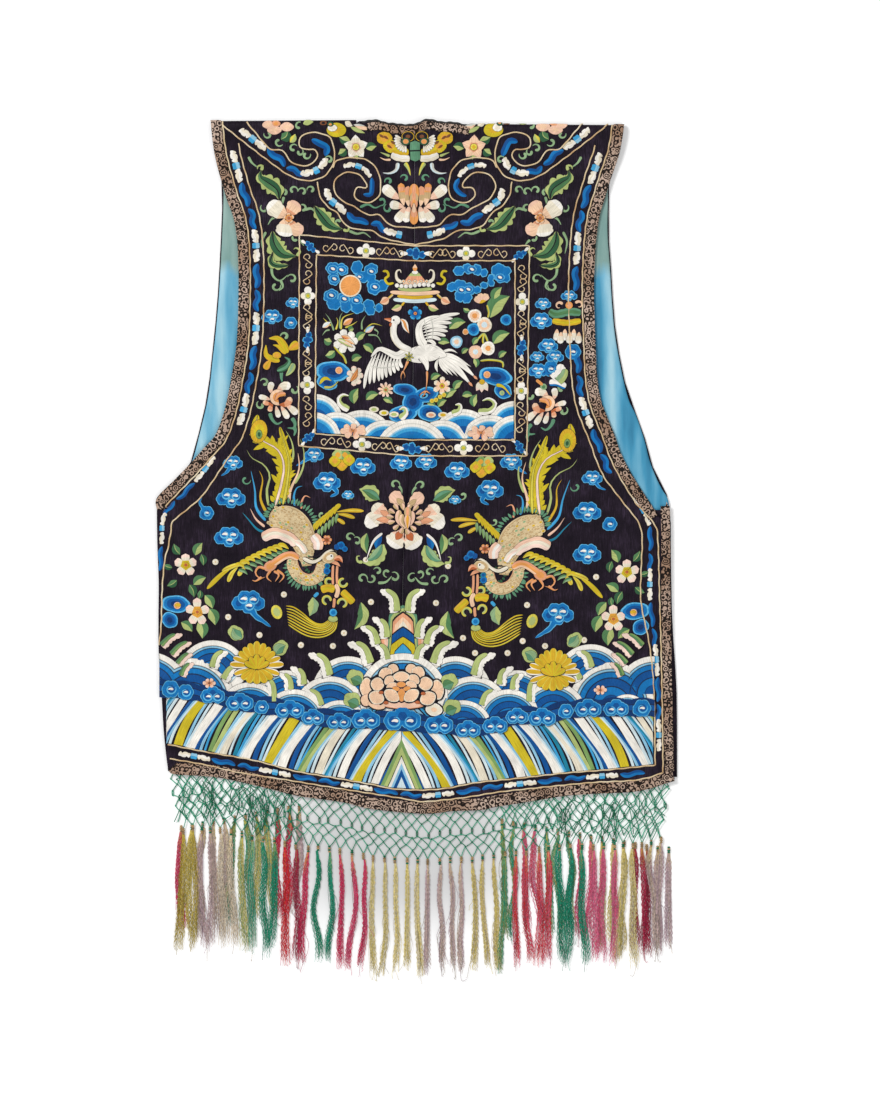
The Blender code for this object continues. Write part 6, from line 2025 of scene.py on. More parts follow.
garden.disc((402, 689), 37, 2.2, ((1.0,), ("ink",)), squash=0.54, rim=False, dome=0.0, steps=41)
lift = 2.26
for centre, wide, tall, turn, names in (((393.3, 668.6), 5.6, 5.0, 20, "peach peach cream"),
                                        ((410.8, 668.6), 5.6, 5.0, -20, "peach peach cream"),
                                        ((385.6, 673.4), 7.4, 6.0, -25, "peach peach cream"),
                                        ((418.2, 672.4), 7.0, 6.4, 25, "peach peach cream"),
                                        ((366.0, 687.0), 6.2, 10.0, 8, "peach peach cream"),
                                        ((437.6, 689.6), 6.6, 10.5, -8, "peach peach cream"),
                                        ((366.5, 700.0), 6.0, 6.4, 20, "peach peach blush"),
                                        ((401.0, 704.6), 23.0, 4.2, 2, "blush blush coral"),
                                        ((376.5, 705.0), 9.0, 4.2, 14, "blush peach peach"),
                                        ((434.0, 709.6), 8.8, 6.6, 6, "peach cream white"),
                                        ((377.4, 684.2), 7.0, 7.2, 10, "peach peach cream"),
                                        ((425.6, 683.6), 7.4, 7.2, -10, "peach peach cream"),
                                        ((376.6, 697.4), 8.2, 7.2, 25, "peach peach cream"),
                                        ((428.0, 698.2), 8.6, 7.2, -25, "peach peach cream"),
                                        ((389.4, 680.4), 6.0, 5.0, -40, "peach peach cream"),
                                        ((414.0, 679.4), 6.4, 5.2, 40, "peach peach cream"),
                                        ((401.4, 676.6), 8.6, 5.4, 0, "peach peach cream"),
                                        ((391.8, 686.2), 6.0, 4.2, -22, "peach peach cream"),
                                        ((411.4, 684.8), 6.0, 4.2, 22, "peach peach cream"),
                                        ((401.2, 684.4), 5.0, 3.0, 0, "orange orange coral"),
                                        ((396.2, 688.6), 4.2, 2.6, 12, "orange orange coral"),
                                        ((406.8, 688.6), 4.2, 2.6, -12, "orange orange coral"),
                                        ((401.6, 695.0), 4.4, 7.0, 0, "orange orange coral"),
                                        ((391.8, 695.4), 8.8, 6.2, 34, "peach peach cream"),
                                        ((411.4, 695.4), 8.8, 6.2, -34, "peach peach cream")):
    cuppedPetal(garden, centre, wide, tall, turn, lift, names.split())
    lift += 0.028
for x, y in ((381.2, 692.4), (423.2, 693.4), (386, 702.6), (417.6, 702.2)):
    garden.disc((x, y), 2.6, 3.05, ((1.0,), ("rust",)), squash=0.7, steps=13)
for x, y, turn in ((355.5, 677.5, 30), (352.5, 700, 10), (449, 681.5, 150), (452, 707, 170)):
    garden.disc((x, y), 9.6, 2.3, ((1.0,), ("lime",)), lobes=5, depth=0.12, squash=0.86, turn=turn,
                steps=31)
    hand = 1 if x < 402 else -1
    garden.blade([(x + 6 * hand, y + 6), (x + 2 * hand, y + 3.5), (x - 5 * hand, y + 1)], "leaf", 5.6,
                 2.75, across=((0.5, 1.0), ("sea", "moss")), dome=0.3, steps=15)


def sideGarden(hoop, place):
    hoop.place = place
    rockAt(hoop, (176, 604), 15, 9, 5, (177.5, 605.5))
    rockAt(hoop, (170, 620), 9, 8, 40)
    hoop.disc((178, 605), 3.4, 1.2, ((1.0,), ("gold",)), squash=0.6, steps=11)
    flowerAt(hoop, (186, 565), 12.5, 5, ("yellow", "cream", "pink"), heart="gold", lift=0.7)
    flowerAt(hoop, (197.5, 612), 12.5, 5, ("amber", "cream", "pink"), heart="amber", lift=0.75,
             squash=1.12)
    for x, y, turn, size in ((199, 549, -60, 7.5), (202.5, 560, 80, 6), (200, 581, -30, 7.5),
                             (192, 591, 70, 7), (199.5, 595, 100, 5), (177, 549, -120, 6.5),
                             (172, 583, 150, 6), (209, 602, 60, 8), (212.5, 617, 70, 9),
                             (201, 629.5, 80, 9.5), (187, 627, 40, 7.5), (168, 566, 200, 5)):
        leafAt(hoop, polar((x, y), -size, turn), polar((x, y), size, turn), size * 0.66, ("lime", "moss")
               if size > 7.2 else ("moss", "forest"), bend=0.1, lift=0.5)
    for x, y, turn in ((236, 633, 40), (280.5, 648, 130)):
        hoop.disc((x, y), 9.0, 0.55, ((1.0,), ("lime",)), lobes=5, depth=0.1, squash=0.82, turn=turn,
                  steps=31)
        hoop.blade([polar((x, y), 8, turn), polar((x, y), 1, turn + 40), polar((x, y), -6, turn + 20)],
                   "leaf", 5.4, 0.95, across=((0.5, 1.0), ("sea", "sage")), dome=0.3, steps=15)
    for k, (a, reach, half, names) in enumerate(((-176, 27, 4.4, 1), (-160, 25, 4.0, 1), (-4, 27, 4.4, 1),
                                                 (-20, 25, 4.0, 1), (160, 24, 4.0, 1), (20, 24, 4.0, 1),
                                                 (-142, 23, 4.2, 0), (-38, 23, 4.2, 0),
                                                 (-125, 23, 4.2, 0), (-55, 23, 4.2, 0),
                                                 (-108, 24, 4.4, 0), (-72, 24, 4.4, 0), (-90, 25, 4.6, 0),
                                                 (140, 20, 4.6, 0), (40, 20, 4.6, 0), (118, 19, 4.6, 0),
                                                 (62, 19, 4.6, 0), (90, 18, 4.8, 0))):
        tip = polar((257, 666), reach, a)
        path = [polar((257, 666), reach * 0.2, a), polar((257, 666), reach * 0.6, a), tip]
        hoop.blade(path, "petal", half + 0.7, 1.8 + 0.03 * k, across=((1.0,), ("ink",)), rim=False,
                   dome=0.05, steps=13)
        hoop.blade(path, "petal", half, 1.93 + 0.03 * k,
                   across=((0.2, 0.8, 1.0), ("white", "gold", "white") if names
                           else ("yellow", "gold", "lemon")), steps=13)
    for k, (a, reach, half) in enumerate(((-150, 14, 3.6), (-30, 14, 3.6), (-120, 14, 3.6),
                                          (-60, 14, 3.6), (-90, 15, 3.8))):
        path = [(257, 669), polar((257, 669), reach * 0.6, a), polar((257, 669), reach, a)]
        hoop.blade(path, "petal", half + 0.6, 2.6 + 0.03 * k, across=((1.0,), ("ink",)), rim=False,
                   dome=0.05, steps=11)
        hoop.blade(path, "petal", half, 2.72 + 0.03 * k, across=((0.5, 1.0), ("gold", "yellow")),
                   steps=11)
    peonyAt(hoop, (209.5, 683), 7, 5, ("coral", "blush", "pink"), lift=2.2, rings=((6, 1.0),),
            heart="rust")
    # yellow flower below the badge's corner
    for dx, dy, name in ((-7, -1, "yellow"), (0, 3, "gold"), (7, -2, "yellow"), (3, -7, "leaf"),
                         (-4, -7, "lime")):
        hoop.disc((342 + dx, 462 + dy), 6.2, 0.8 + 0.05 * abs(dx), ((0.45, 1.0), ("amber", name)),
                  lobes=4, depth=0.15, steps=21)
    # C-scrolls and sprigs in green
    for centre, size, start, sweep, name in (((246, 480), 5, 0, 280, "sea"),
                                             ((322, 515), 4, 30, 280, "sage")):
        tendril(hoop, curl(centre, size, start, sweep, 0.3, 12)[::-1], 1.25, name)
    hoop.place = asDrawn


sideGarden(garden, asDrawn)
sideGarden(garden, acrossAxis(6, 7))


# the flower in the middle of the back, after its spray
def lobedEnd(hoop, base, tip, half, names, lift, bend, heel):
    base, tip = np.array(base, float), np.array(tip, float)
    span = tip - base
    middle = (base + tip) / 2 + np.array([span[1], -span[0]]) * bend
    hoop.blade([base, middle, tip + span * 0.04], "lobe", half + 0.7, lift - 0.12,
               across=((1.0,), ("ink",)), scallop=(3, 0.16), dome=0.05, rim=False, steps=23)
    hoop.blade([base, middle, tip], "lobe", half, lift, along=((0.35, 0.7, 1.0), names),
               scallop=(3, 0.16), dome=0.6, steps=23)
    hoop.blade([base, base * 0.5 + middle * 0.5, middle * 0.8 + tip * 0.2], "leaf", half * 0.4,
               lift + 0.5, across=((1.0,), (heel,)), steps=9)


def middleFlower(hoop, place):
    hoop.place = place
    for base, tip, half, names, bend, heel in (((403.5, 505), (391, 493), 7.2,
                                                ("peach", "blush", "blush"), 0.0, "tan"),
                                               ((390, 515.5), (373.5, 504.5), 7.6,
                                                ("peach", "blush", "cream"), 0.1, "coral"),
                                               ((391, 522), (366, 527), 7.8, ("blush", "cream", "white"),
                                                -0.28, "coral"), ((402, 531), (391, 547), 9.6,
                                                                  ("blush", "cream", "white"), 0.0,
                                                                  "rust")):
        lobedEnd(hoop, base, tip, half, names, 0.7, bend, heel)
    for x, y, a in ((396.3, 507.2, -125), (402.8, 507, -105), (392, 511.5, -150), (390.3, 516.8, -172),
                    (391.6, 522, 170), (396.3, 527, 140), (402, 530, 115)):
        hoop.blade([polar((x, y), -3.6, a), (x, y), polar((x, y), 3.8, a)], "petal", 3.0, 1.4,
                   across=((0.5, 1.0), ("blush", "tan")))
    hoop.blade([(405, 528), (398.5, 520), (399.5, 510)], "petal", 4.0, 1.7,
               across=((0.5, 1.0), ("tan", "blush")))
    hoop.blade([(406, 528), (401.5, 522), (402.5, 514)], "petal", 3.2, 2.0,
               across=((0.5, 1.0), ("tan", "peach")))
    # stem, blue wedge and frilled leaf below
    hoop.blade([(382, 535), (378, 541), (376, 550)], "leaf", 4.0, 0.7,
               across=((0.5, 1.0), ("mid", "deep")))
    hoop.blade([(384, 544), (380, 553), (372, 561), (362, 563)], "leaf", 7.6, 0.5,
               across=((1.0,), ("lime",)), scallop=(5, 0.22), steps=27)
    hoop.blade([(382, 544), (378, 552), (372, 558), (365, 560)], "leaf", 4.2, 0.85,
               across=((0.5, 1.0), ("sage", "sea")), steps=19)
    hoop.blade([(363, 562), (358, 561.5), (357, 556.5), (360.5, 556)], "taper", 2.1, 0.8,
               across=((1.0,), ("lime",)))
    hoop.blade([(382.5, 533), (374.5, 540), (370, 549), (366.2, 561)], "taper", 1.8, 1.3,
               across=((1.0,), ("white",)), steps=17)
    hoop.blade([(367, 533), (364.5, 543), (367, 554)], "leaf", 4.6, 0.6,
               across=((0.5, 1.0), ("lime", "moss")), scallop=(3, 0.12))
    hoop.blade([(379, 500), (369, 492), (359, 489)], "leaf", 8.2, 0.5, across=((1.0,), ("lime",)),
               scallop=(4, 0.24), steps=27)
    hoop.blade([(380, 500), (370, 493), (362, 490)], "leaf", 4.2, 0.9,
               across=((0.5, 1.0), ("sea", "moss")), steps=19)
    for centre, size, start, sweep in (((395, 484.5), 5.0, 20, -280), ((362.5, 578.5), 5.2, 20, -300),
                                       ((377.5, 571), 4.2, 200, 280), ((371.5, 578), 5.0, 150, -250),
                                       ((394.5, 577), 5.2, -120, 290), ((387, 573), 4.4, 90, 250),
                                       ((350, 537), 4.6, -10, -290), ((357, 541), 4.4, 230, 280),
                                       ((351, 495), 4.0, 60, 280)):
        tendril(hoop, curl(centre, size, start, sweep, 0.32, 12)[::-1], 1.5, "sage")
    tendril(hoop, [(399, 486), (401.5, 490), (401.5, 495)], 1.6, "sage")
    tendril(hoop, [(378, 583), (386, 582), (392, 576)], 1.6, "sage")
    hoop.place = asDrawn


middleFlower(garden, asDrawn)
middleFlower(garden, acrossAxis(0.6, 1))
garden.blade([(407.5, 521), (407.5, 514), (407.7, 507)], "petal", 4.2, 2.2,
             across=((0.3, 0.7, 1.0), ("tan", "coral", "tan")))
garden.blade([(407.5, 529), (407.5, 522), (407.7, 515)], "petal", 4.2, 2.6,
             across=((0.3, 0.7, 1.0), ("blush", "amber", "blush")))
garden.finish("embroideryGarden")


# The collar inside the scrolls, and the sprays between the scrolls, the armholes and the badge
print("collar")
collar = Hoop()


def frilledLeaf(hoop, path, half, names=("forest", "moss"), frill="lime", lift=0.6, count=5):
    # a leaf of two greens inside a scalloped lime edge, drawn along its spine
    hoop.blade(path, "leaf", half, lift, across=((1.0,), (frill,)), scallop=(count, 0.42), dome=0.4,
               steps=37)
    hoop.blade(path, "leaf", half * 0.56, lift + 0.35, across=((0.5, 1.0), names), dome=0.35, steps=19)
    hoop.blade(path, "taper", 0.7, lift + 0.7, across=((1.0,), ("ink",)), rim=False, dome=0.2, steps=15)


def lobedPetal(hoop, base, tip, half, names, lift, bend=0.0, heel=None, count=3):
    # a petal that widens to a wavy end: names run from the heel to the rim
    base, tip = np.array(base, float), np.array(tip, float)
    span = tip - base
    middle = (base + tip) / 2 + np.array([span[1], -span[0]]) * bend
    hoop.blade([base, middle, tip + span * 0.04], "lobe", half + 0.7, lift - 0.12,
               across=((1.0,), ("ink",)), scallop=(count, 0.12), dome=0.05, rim=False, steps=23)
    hoop.blade([base, middle, tip], "lobe", half, lift, along=((0.35, 0.78, 1.0), names),
               scallop=(count, 0.12), dome=0.6, steps=23)
    if heel:
        hoop.blade([base, base * 0.6 + middle * 0.4, base * 0.2 + middle * 0.8], "leaf", half * 0.42,
                   lift + 0.4, across=((1.0,), (heel,)), dome=0.4, steps=9)


def outlined(hoop, path, half, names, lift, shape="petal", shares=(0.35, 0.75, 1.0), along=True):
    # a petal on a dark one that is a little wider
    hoop.blade(path, shape, half + 0.6, lift - 0.1, across=((1.0,), ("ink",)), rim=False, dome=0.03,
               steps=13)
    hoop.blade(path, shape, half, lift, dome=0.4, steps=13,
               **{"along" if along else "across": (shares, names)})


def yokeSide(hoop, place, star=("blush", "cream", "white")):
    hoop.place = place
    # butterfly wings, from the outer lobe in
    hoop.disc((384.5, 138.5), 8.2, 0.6, ((0.55, 1.0), ("amber", "gold")), lobes=5, depth=0.06,
              squash=0.82, steps=29)
    hoop.disc((390.5, 146.5), 8.0, 0.7, ((0.5, 1.0), ("amber", "yellow")), lobes=5, depth=0.06,
              squash=0.85, turn=30, steps=29)
    hoop.blade([(392, 150), (400, 152.5), (409, 152.5)], "strip", 3.8, 0.8,
               across=((0.5, 1.0), ("gold", "yellow")), scallop=(4, 0.1))
    for x, y in ((386, 138), (389.5, 147), (381.5, 136.5), (393, 143)):
        hoop.blade([(x - 2.4, y - 1.6), (x, y), (x + 2.6, y + 1.8)], "leaf", 1.2, 1.5,
                   across=((1.0,), ("brown",)), rim=False, steps=7)
    for k, a in enumerate(np.linspace(205, 92, 9)):
        hoop.blade([polar((406, 141), 4.5, a), polar((406, 141), 9, a), polar((406, 141), 12.6, a)],
                   "petal", 1.7, 1.1 + 0.02 * k, along=((0.6, 1.0), ("cream", "white")), dome=0.3,
                   steps=7)
    hoop.disc((408, 137), 6.6, 1.5, ((0.35, 0.86, 1.0), ("brown", "ink", "gold")), squash=0.8, steps=23)
    hoop.disc((405.8, 142), 4.6, 2.0, ((0.5, 0.62, 1.0), ("orange", "coral", "forest")), squash=0.85,
              steps=19)
    hoop.blade([(391, 155), (400, 158.5), (410, 159)], "strip", 3.6, 0.9,
               across=((0.5, 1.0), ("cream", "white")), scallop=(3, 0.14))
    hoop.blade([(398, 163), (396.5, 170), (390, 173.5), (382.5, 173)], "taper", 2.5, 0.7,
               across=((0.5, 1.0), ("grey", "ice")), dome=0.5)
    hoop.blade([(405, 163), (408.5, 169), (410.5, 176)], "taper", 2.6, 0.7,
               across=((0.5, 1.0), ("lime", "lemon")), dome=0.4)
    hoop.blade([(391, 160), (385, 160), (379.5, 157.5)], "taper", 1.6, 0.7, across=((1.0,), ("peach",)))
    hoop.blade([(390, 156.5), (385, 154.5), (380, 152.5)], "taper", 1.8, 0.65, across=((1.0,), ("lime",)))
    # lotus, outer petals first
    for base, tip, half, bend in (((400, 199), (384.5, 187), 6.6, 0.05),
                                  ((404, 207), (390.5, 204.5), 5.4, 0.0),
                                  ((405, 207), (396.5, 221), 5.6, 0.05),
                                  ((409.5, 206), (405.5, 221.5), 5.2, 0.0)):
        span = np.subtract(tip, base)
        outlined(hoop, [base, np.add(base, tip) / 2 + (span[1] * bend, -span[0] * bend),
                        np.add(tip, span * 0.08)], half, ("blush", "cream", "white"), 0.8)
    for base, tip, half, names in (((404, 200), (401, 183), 4.4, ("tan", "coral", "orange")),
                                   ((408, 202), (408.5, 186), 4.0, ("tan", "coral", "coral")),
                                   ((404, 206), (402, 188), 4.4, ("peach", "tan", "orange")),
                                   ((409, 207), (407.5, 191), 4.0, ("peach", "tan", "coral"))):
        hoop.blade([base, ((base[0] + tip[0]) / 2 - 0.8, (base[1] + tip[1]) / 2), tip], "petal", half,
                   1.4, along=((0.4, 0.75, 1.0), names))
    # star flower with its leaves
    for a in (-92, -20, 52, 124, 196):
        tip = polar((356, 147.5), 12.6, a)
        hoop.blade([(356, 147.5), polar((356, 147.5), 6.4, a), tip], "leaf", 5.2, 0.9,
                   along=((0.35, 0.7, 1.0), star))
    hoop.disc((356, 147.5), 3.6, 1.9, ((0.5, 1.0), ("gold", "lemon")), steps=17)
    for base, tip in (((350.5, 141.5), (339, 137.5)), ((346, 149.5), (338, 155)),
                      ((366, 149), (377, 146.5)), ((356.5, 153), (357.5, 160))):
        leafAt(hoop, base, tip, 4.6, ("lime", "forest"), bend=0.1, lift=0.6)
    # peony, bat and leaves cut off by the shoulder fold
    for centre, size, name, squash in (((268.5, 125.5), 6.4, "peach", 0.62),
                                       ((287, 127.5), 7.4, "peach", 0.62),
                                       ((276, 124.5), 5.0, "orange", 0.6),
                                       ((274.5, 130.5), 7.6, "peach", 0.62)):
        hoop.disc(centre, size, 0.8, ((0.5, 1.0), (name, "blush" if name == "peach" else "coral")),
                  lobes=4, depth=0.08, squash=squash, steps=21)
    hoop.disc((336.5, 130.5), 10, 0.8, ((0.45, 1.0), ("gold", "yellow")), squash=0.72, steps=25)
    hoop.disc((332.5, 128.5), 5.2, 1.5, ((0.55, 1.0), ("cream", "white")), squash=0.7, lobes=7,
              depth=0.08, steps=21)
    hoop.disc((330.5, 125), 3.2, 2.1, ((0.5, 1.0), ("orange", "forest")), squash=0.7, steps=15)
    hoop.disc((323.5, 123.8), 3.8, 0.8, ((0.45, 1.0), ("ink", "brown")), squash=0.55, steps=15)
    for path, half, name in (([(345, 122.5), (349, 125), (353, 126.5)], 3.0, "cream"),
                             ([(353, 125.3), (360, 125.8), (366, 126.6)], 1.6, "grey"),
                             ([(354, 126), (363, 128.5), (374, 129.5)], 2.2, "peach"),
                             ([(350, 127), (357, 130.5), (366, 134)], 2.4, "lime"),
                             ([(303, 124.5), (309, 122.8), (314, 123)], 3.0, "lime")):
        hoop.blade(path, "leaf", half, 0.7, across=((0.5, 1.0), (name, name)), dome=0.4)
    leafAt(hoop, (281, 140), (288, 130.5), 5.4, ("forest", "moss"), bend=-0.2, lift=0.6,
           scallop=(3, 0.15))
    leafAt(hoop, (290, 143), (295.5, 134), 3.4, ("lime", "lemon"), bend=-0.1, lift=0.6)
    # frilled leaves of the sprays
    frilledLeaf(hoop, [(279.5, 200), (277, 190), (268, 183), (260.5, 177.5), (261.5, 169.5)], 8.6)
    frilledLeaf(hoop, [(272.5, 231), (274.5, 244), (283, 254.5), (297.5, 256.5)], 9.2)
    frilledLeaf(hoop, [(314, 206), (321, 215), (331, 226), (344, 230)], 8.2)
    frilledLeaf(hoop, [(273, 252), (271, 262), (278, 266), (292, 265.5)], 4.2, lift=0.7)
    hoop.blade([(297, 256.5), (300, 251), (296, 248), (293.5, 250)], "taper", 2.2, 1.0,
               across=((1.0,), ("lime",)))
    hoop.blade([(261.5, 171), (262.5, 166), (258, 166.5), (257.5, 170)], "taper", 2.2, 1.0,
               across=((1.0,), ("lime",)))
    hoop.blade([(343, 230), (348, 231), (348.5, 226.5), (345, 226)], "taper", 2.0, 1.0,
               across=((1.0,), ("lime",)))
    # the lily between the armhole and the badge
    lobedPetal(hoop, (288, 217), (269, 202.5), 9.0, ("peach", "cream", "white"), 0.7, 0.05, None, 3)
    lobedPetal(hoop, (288, 216), (297.5, 202), 7.8, ("coral", "peach", "blush"), 0.75, 0, None, 3)
    lobedPetal(hoop, (289, 218), (304, 230.5), 7.0, ("coral", "peach", "blush"), 0.75, -0.25, None, 3)
    lobedPetal(hoop, (287, 218), (284.5, 237), 9.6, ("peach", "cream", "white"), 0.8, 0, None, 4)
    flowerAt(hoop, (289, 218.5), 6.0, 5, ("coral", "orange", "peach"), heart="rust", lift=1.9)
    # scrolling tendrils
    for centre, size, start, sweep, name in (((268, 135), 4.2, 200, -290, "sage"),
                                             ((279, 142.5), 4.6, 30, 260, "sage"),
                                             ((299, 126.5), 4.0, -60, -250, "sage"),
                                             ((293.5, 148.5), 4.4, -30, -280, "sage"),
                                             ((300, 152.5), 3.8, -60, 290, "sage"),
                                             ((306.5, 155.5), 4.4, -20, 280, "sage"),
                                             ((388.5, 181.5), 4.0, 160, 280, "sea"),
                                             ((404.5, 178.5), 4.2, 190, 260, "sea"),
                                             ((381.5, 201.5), 4.4, 100, -260, "sea"),
                                             ((388, 208.5), 4.6, 250, -290, "sea"),
                                             ((284, 193), 4.6, 180, 260, "sage"),
                                             ((293.5, 190.5), 4.6, 20, -280, "sage"),
                                             ((302.5, 192), 4.6, 180, 270, "sage"),
                                             ((311, 190), 4.2, 170, 280, "sage"),
                                             ((264.5, 208.5), 4.4, 230, -280, "sage"),
                                             ((303, 208.5), 4.4, 200, 280, "sage"),
                                             ((295.5, 238.5), 4.2, -60, -270, "sage"),
                                             ((292, 279), 5.0, 200, 300, "sage"),
                                             ((276, 286.5), 5.0, -20, 290, "sage"),
                                             ((338.5, 222.5), 3.6, 90, 270, "sage"),
                                             ((329, 160), 4.2, 200, 280, "sage")):
        tendril(hoop, curl(centre, size, start, sweep, 0.32, 12)[::-1], 1.5, name)
    for path, name in (([(248.5, 157), (252, 163), (259, 168.5)], "sage"),
                       ([(360, 207.5), (368, 204.5), (375, 208), (382.5, 205)], "sea"),
                       ([(349, 231), (357, 234), (364, 233), (371, 238)], "sage"),
                       ([(284, 197), (282, 205), (281, 212)], "sage"),
                       ([(278, 217), (272, 219), (268, 225)], "sage"),
                       ([(305, 210), (312, 209), (319, 217)], "sage"),
                       ([(271.5, 267), (273, 276), (280, 281), (288, 275)], "sage"),
                       ([(281, 281), (283, 287), (279, 291)], "sage"),
                       ([(266, 232), (262, 242), (264, 254)], "sage"),
                       ([(299, 240), (302, 243), (304, 246)], "sage")):
        tendril(hoop, path, 1.5, name)
    hoop.place = asDrawn


yokeSide(collar, asDrawn)
yokeSide(collar, acrossAxis(), ("coral", "peach", "blush"))
for path, half, names in (([(415.2, 141), (415, 150), (415.6, 162)], 5.2, ("forest", "moss")),):
    collar.blade(path, "strip", half, 1.6, along=((0.45, 0.52, 1.0), ("sea", "ink", "sea")), dome=1.0,
                 steps=19)
for tip, half, names in (((414, 184), 6.2, ("orange", "coral")), ((414, 192), 5.4, ("tan", "coral")),
                         ((414, 199), 4.6, ("coral", "orange"))):
    collar.blade([(414, 213), (414, (213 + tip[1]) / 2), tip], "petal", half, 1.8 + (tip[1] - 184) * 0.02,
                 across=((0.3, 0.7, 1.0), (names[0], names[1], names[0])))
for tip, half, name in (((414, 225), 5.2, "orange"), ((414, 219), 3.8, "coral"),
                        ((414, 214), 2.6, "peach")):
    collar.blade([(414, 203), (414, 210), tip], "petal", half, 2.3 + (225 - tip[1]) * 0.02,
                 across=((1.0,), (name,)))
collar.finish("embroideryCollar")

# Sprays down the sides of the badge: an orchid over a lotus on the left,
# clouds, an emblem and the lotus on the right
print("sprays")
sprays = Hoop()


for place in (asDrawn, acrossAxis(0, 6)):
    sprays.place = place
    cream = ("blush", "cream", "white")
    for path, half, names in (([(272, 394), (270.5, 388), (272.5, 382)], 4.0, cream),
                              ([(277, 392), (284, 386), (291, 387)], 5.2, cream),
                              ([(271, 400), (265, 398), (258.5, 396.5)], 3.4, cream),
                              ([(276, 406), (277.5, 412), (279, 418)], 3.4, cream),
                              ([(281, 406), (284.5, 412), (288.5, 419)], 3.9, cream),
                              ([(286, 405), (292, 409), (297.5, 414.5)], 4.4, cream),
                              ([(272, 404), (267, 403.5), (263, 401.5)], 3.0, ("rust", "coral", "peach")),
                              ([(273, 404), (270.5, 408), (270, 412)], 3.2, ("rust", "coral", "peach")),
                              ([(279, 405), (287, 404), (291, 397)], 4.2, ("rust", "coral", "peach"))):
        outlined(sprays, path, half, names, 0.7)
    sprays.disc((278, 397.5), 8.2, 0.95, ((0.35, 0.6, 1.0), ("rust", "orange", "peach")), arc=(60, 330),
                turn=20, steps=25)
    sprays.blade([(275, 401), (279, 395), (286, 394)], "petal", 3.0, 1.4,
                 across=((0.5, 1.0), ("orange", "coral")))
    for centre, size, start, sweep in (((264.5, 382.6), 4.4, 200, 290), ((294.5, 390), 4.4, -60, 280),
                                       ((260.7, 405), 4.4, -120, -290)):
        tendril(sprays, curl(centre, size, start, sweep, 0.32, 12)[::-1], 1.7, "sage")
    for path in ([(270, 413), (272, 419), (277, 424), (282.5, 421.5)],
                 [(292, 418), (295, 423), (294, 428), (287.5, 428)],
                 [(294, 427), (295.5, 431), (294, 436)]):
        tendril(sprays, path, 2.2, "sea")
sprays.place = asDrawn
for path, half, names in (([(269, 338.5), (279, 339.5), (288, 353)], 4.8, ("gold", "yellow", "gold")),
                          ([(273, 345), (279, 347), (286, 354)], 3.0, ("gold", "yellow", "gold")),
                          ([(266, 345), (267, 356), (280, 361.5)], 3.9, ("gold", "yellow", "gold")),
                          ([(289, 350), (293, 347), (299, 343.5)], 5.6, ("gold", "amber", "yellow")),
                          ([(271, 360), (268, 364), (265, 369.5)], 4.2, ("amber", "gold", "amber"))):
    outlined(sprays, path, half, names, 0.8, along=False)
sprays.disc((277, 355.5), 4.6, 1.3, ((0.6, 1.0), ("amber", "gold")), squash=0.8, steps=17)
outlined(sprays, [(284.5, 357), (289.5, 361), (286, 367), (277, 371)], 3.9, ("forest", "sea", "forest"),
         0.7, along=False)
outlined(sprays, [(286, 376), (290.5, 371), (294, 363.5)], 4.0, ("lime", "sage", "lime"), 0.7,
         along=False)
tendril(sprays, [(281.5, 372), (281.5, 378), (282.5, 383)], 2.0, "sea")
tendril(sprays, curl((284.7, 336.5), 4.4, 160, 290, 0.32, 12)[::-1], 1.7, "sage")
# right side: clouds, the emblem that crosses the cord, a wave's fin
for x, y, half, tall in ((543, 304, 9, 6.5), (541, 321, 12, 9), (569, 296, 10, 6), (548, 346, 11, 8),
                         (537, 357, 8, 6), (555, 357, 10, 7), (538, 371, 11, 8), (551, 369, 7, 9),
                         (573, 352, 6, 9)):
    spiralCloud(sprays, (x, y), half, tall, 0.4)
for centre, start, sweep in (((559, 306), -20, -290), ((579, 305), 200, 290)):
    sprays.blade(curl(centre, 3.8, start, sweep, 0.5, 12), "taper", 1.9, 1.0, across=((1.0,), ("peach",)),
                 steps=13)
sprays.disc((569, 305.5), 3.9, 1.2, ((0.5, 1.0), ("coral", "orange")), steps=17)
for path, half, names in (([(549, 311), (556, 314.5), (569, 312), (581, 313)], 4.2,
                           ("sea", "moss", "sea")), ([(552, 321), (567, 323), (581, 321)], 3.3,
                                                     ("gold", "yellow", "gold"))):
    sprays.blade(path, "strip", half, 1.0, across=((0.3, 0.7, 1.0), names), scallop=(5, 0.12), steps=23)
for row, (y, tips) in enumerate(((331, (557, 565, 574)), (334, (561, 570, 579)))):
    for x in tips:
        outlined(sprays, [(x, y - 2), (x - 0.5, y + 5), (x - 1, y + 10)], 4.0,
                 ("peach", "cream", "white"), 0.8 + 0.25 * row)
sprayAt(sprays, (556, 381), (563, 364), 6.5, 0.7, ("white", "lime", "sage"), 0.15, 1)
sprays.blade([(549, 383), (557, 383), (566, 387)], "strip", 3.6, 0.8,
             across=((0.3, 1.0), ("mid", "white")), steps=13)
sprays.disc((543.5, 387), 3.6, 0.8, ((0.5, 1.0), ("moss", "sage")), steps=15)
sprays.blade([(536, 380), (540, 383), (543, 386)], "strip", 1.8, 0.8, across=((1.0,), ("orange",)))
sprays.finish("embroiderySprays")

cords.finish("couchedCords")

# Stage, light and camera
backdrop = dict(drop=0.0004, offset=(0.02, 0.372, 0.0), scale=(4.4, 7.0, 0.0))
floorMaterial, floorShader = newMaterial("paperBackdrop", Base_Color=(0.9, 0.9, 0.9, 1), Roughness=0.9,
                                         Specular_IOR_Level=0.1, Emission_Color=(1, 1, 1, 1),
                                         Emission_Strength=0.16)
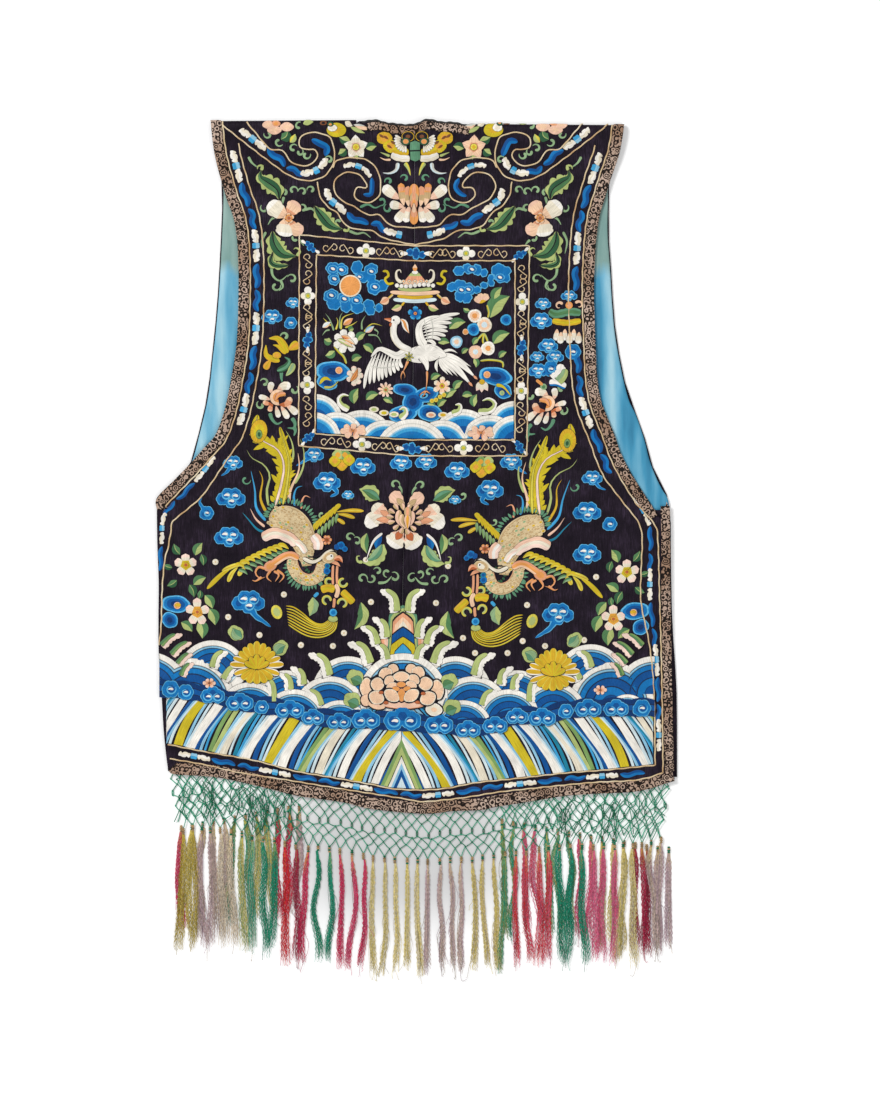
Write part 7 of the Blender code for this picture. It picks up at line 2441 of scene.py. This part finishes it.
# painted shadow: the backdrop's colour is softly darkened round the net and fringe, which stand a little
# off it;
# shade = smooth step of the distance outside a rounded box
floorTree = floorMaterial.node_tree
spot = addNode(floorTree, "ShaderNodeTexCoord").outputs["Object"]
away = addNode(floorTree, "ShaderNodeVectorMath", {1: backdrop["offset"]}, {0: spot}, operation="ADD")
scaled = addNode(floorTree, "ShaderNodeVectorMath", {1: backdrop["scale"]}, {0: away.outputs[0]},
                 operation="MULTIPLY")
spread = addNode(floorTree, "ShaderNodeVectorMath", None, {0: scaled.outputs[0]}, operation="LENGTH")
shade = addNode(floorTree, "ShaderNodeMapRange", {"From Min": 0.35, "From Max": 1.05, "To Min": 0.47,
                                                  "To Max": 0.9}, {"Value": spread.outputs["Value"]},
                interpolation_type="SMOOTHSTEP")
floorTree.links.new(shade.outputs["Result"], floorShader.inputs["Base Color"])
floorMesh = bpy.data.meshes.new("backdrop")
floorCorners = [(x, y, -backdrop["drop"]) for x, y in ((-4, -4), (4, -4), (4, 4), (-4, 4))]
floorMesh.from_pydata(floorCorners, [], [(0, 1, 2, 3)])
floor = bpy.data.objects.new("backdrop", floorMesh)
bpy.context.scene.collection.objects.link(floor)
floor.data.materials.append(floorMaterial)

light = dict(keyPower=210.0, keySize=2.0, fillPower=30.0, fillSize=3.5, world=0.45)


def addLight(name, power, size, place, target=(0, 0, 0)):
    data = bpy.data.lights.new(name, "AREA")
    data.energy, data.size, data.shape = power, size, "DISK"
    lamp = bpy.data.objects.new(name, data)
    bpy.context.scene.collection.objects.link(lamp)
    away = np.array(place, float) - np.array(target, float)
    lamp.location = place
    lamp.rotation_euler = (math.atan2(math.hypot(away[0], away[1]), away[2]), 0,
                           math.atan2(away[0], -away[1]))


addLight("key", light["keyPower"], light["keySize"], (-3.0, 2.2, 4.6))
addLight("fill", light["fillPower"], light["fillSize"], (1.6, -1.2, 2.8))
world = bpy.data.worlds.new("paleRoom")
world.use_nodes = True
world.node_tree.nodes["Background"].inputs["Color"].default_value = (1, 1, 1, 1)
world.node_tree.nodes["Background"].inputs["Strength"].default_value = light["world"]
bpy.context.scene.world = world

cameraData = bpy.data.cameras.new("copyStand")
view = dict(lens=200.0, sensor=36.0, place=(0.0275, -0.0044, 7.64))
cameraData.lens = view["lens"]
cameraData.sensor_fit = "VERTICAL"
cameraData.sensor_height = view["sensor"]
camera = bpy.data.objects.new("copyStand", cameraData)
bpy.context.scene.collection.objects.link(camera)
camera.location = view["place"]
camera.rotation_euler = (0, 0, 0)
bpy.context.scene.camera = camera
bpy.context.scene.view_settings.view_transform = "Standard"
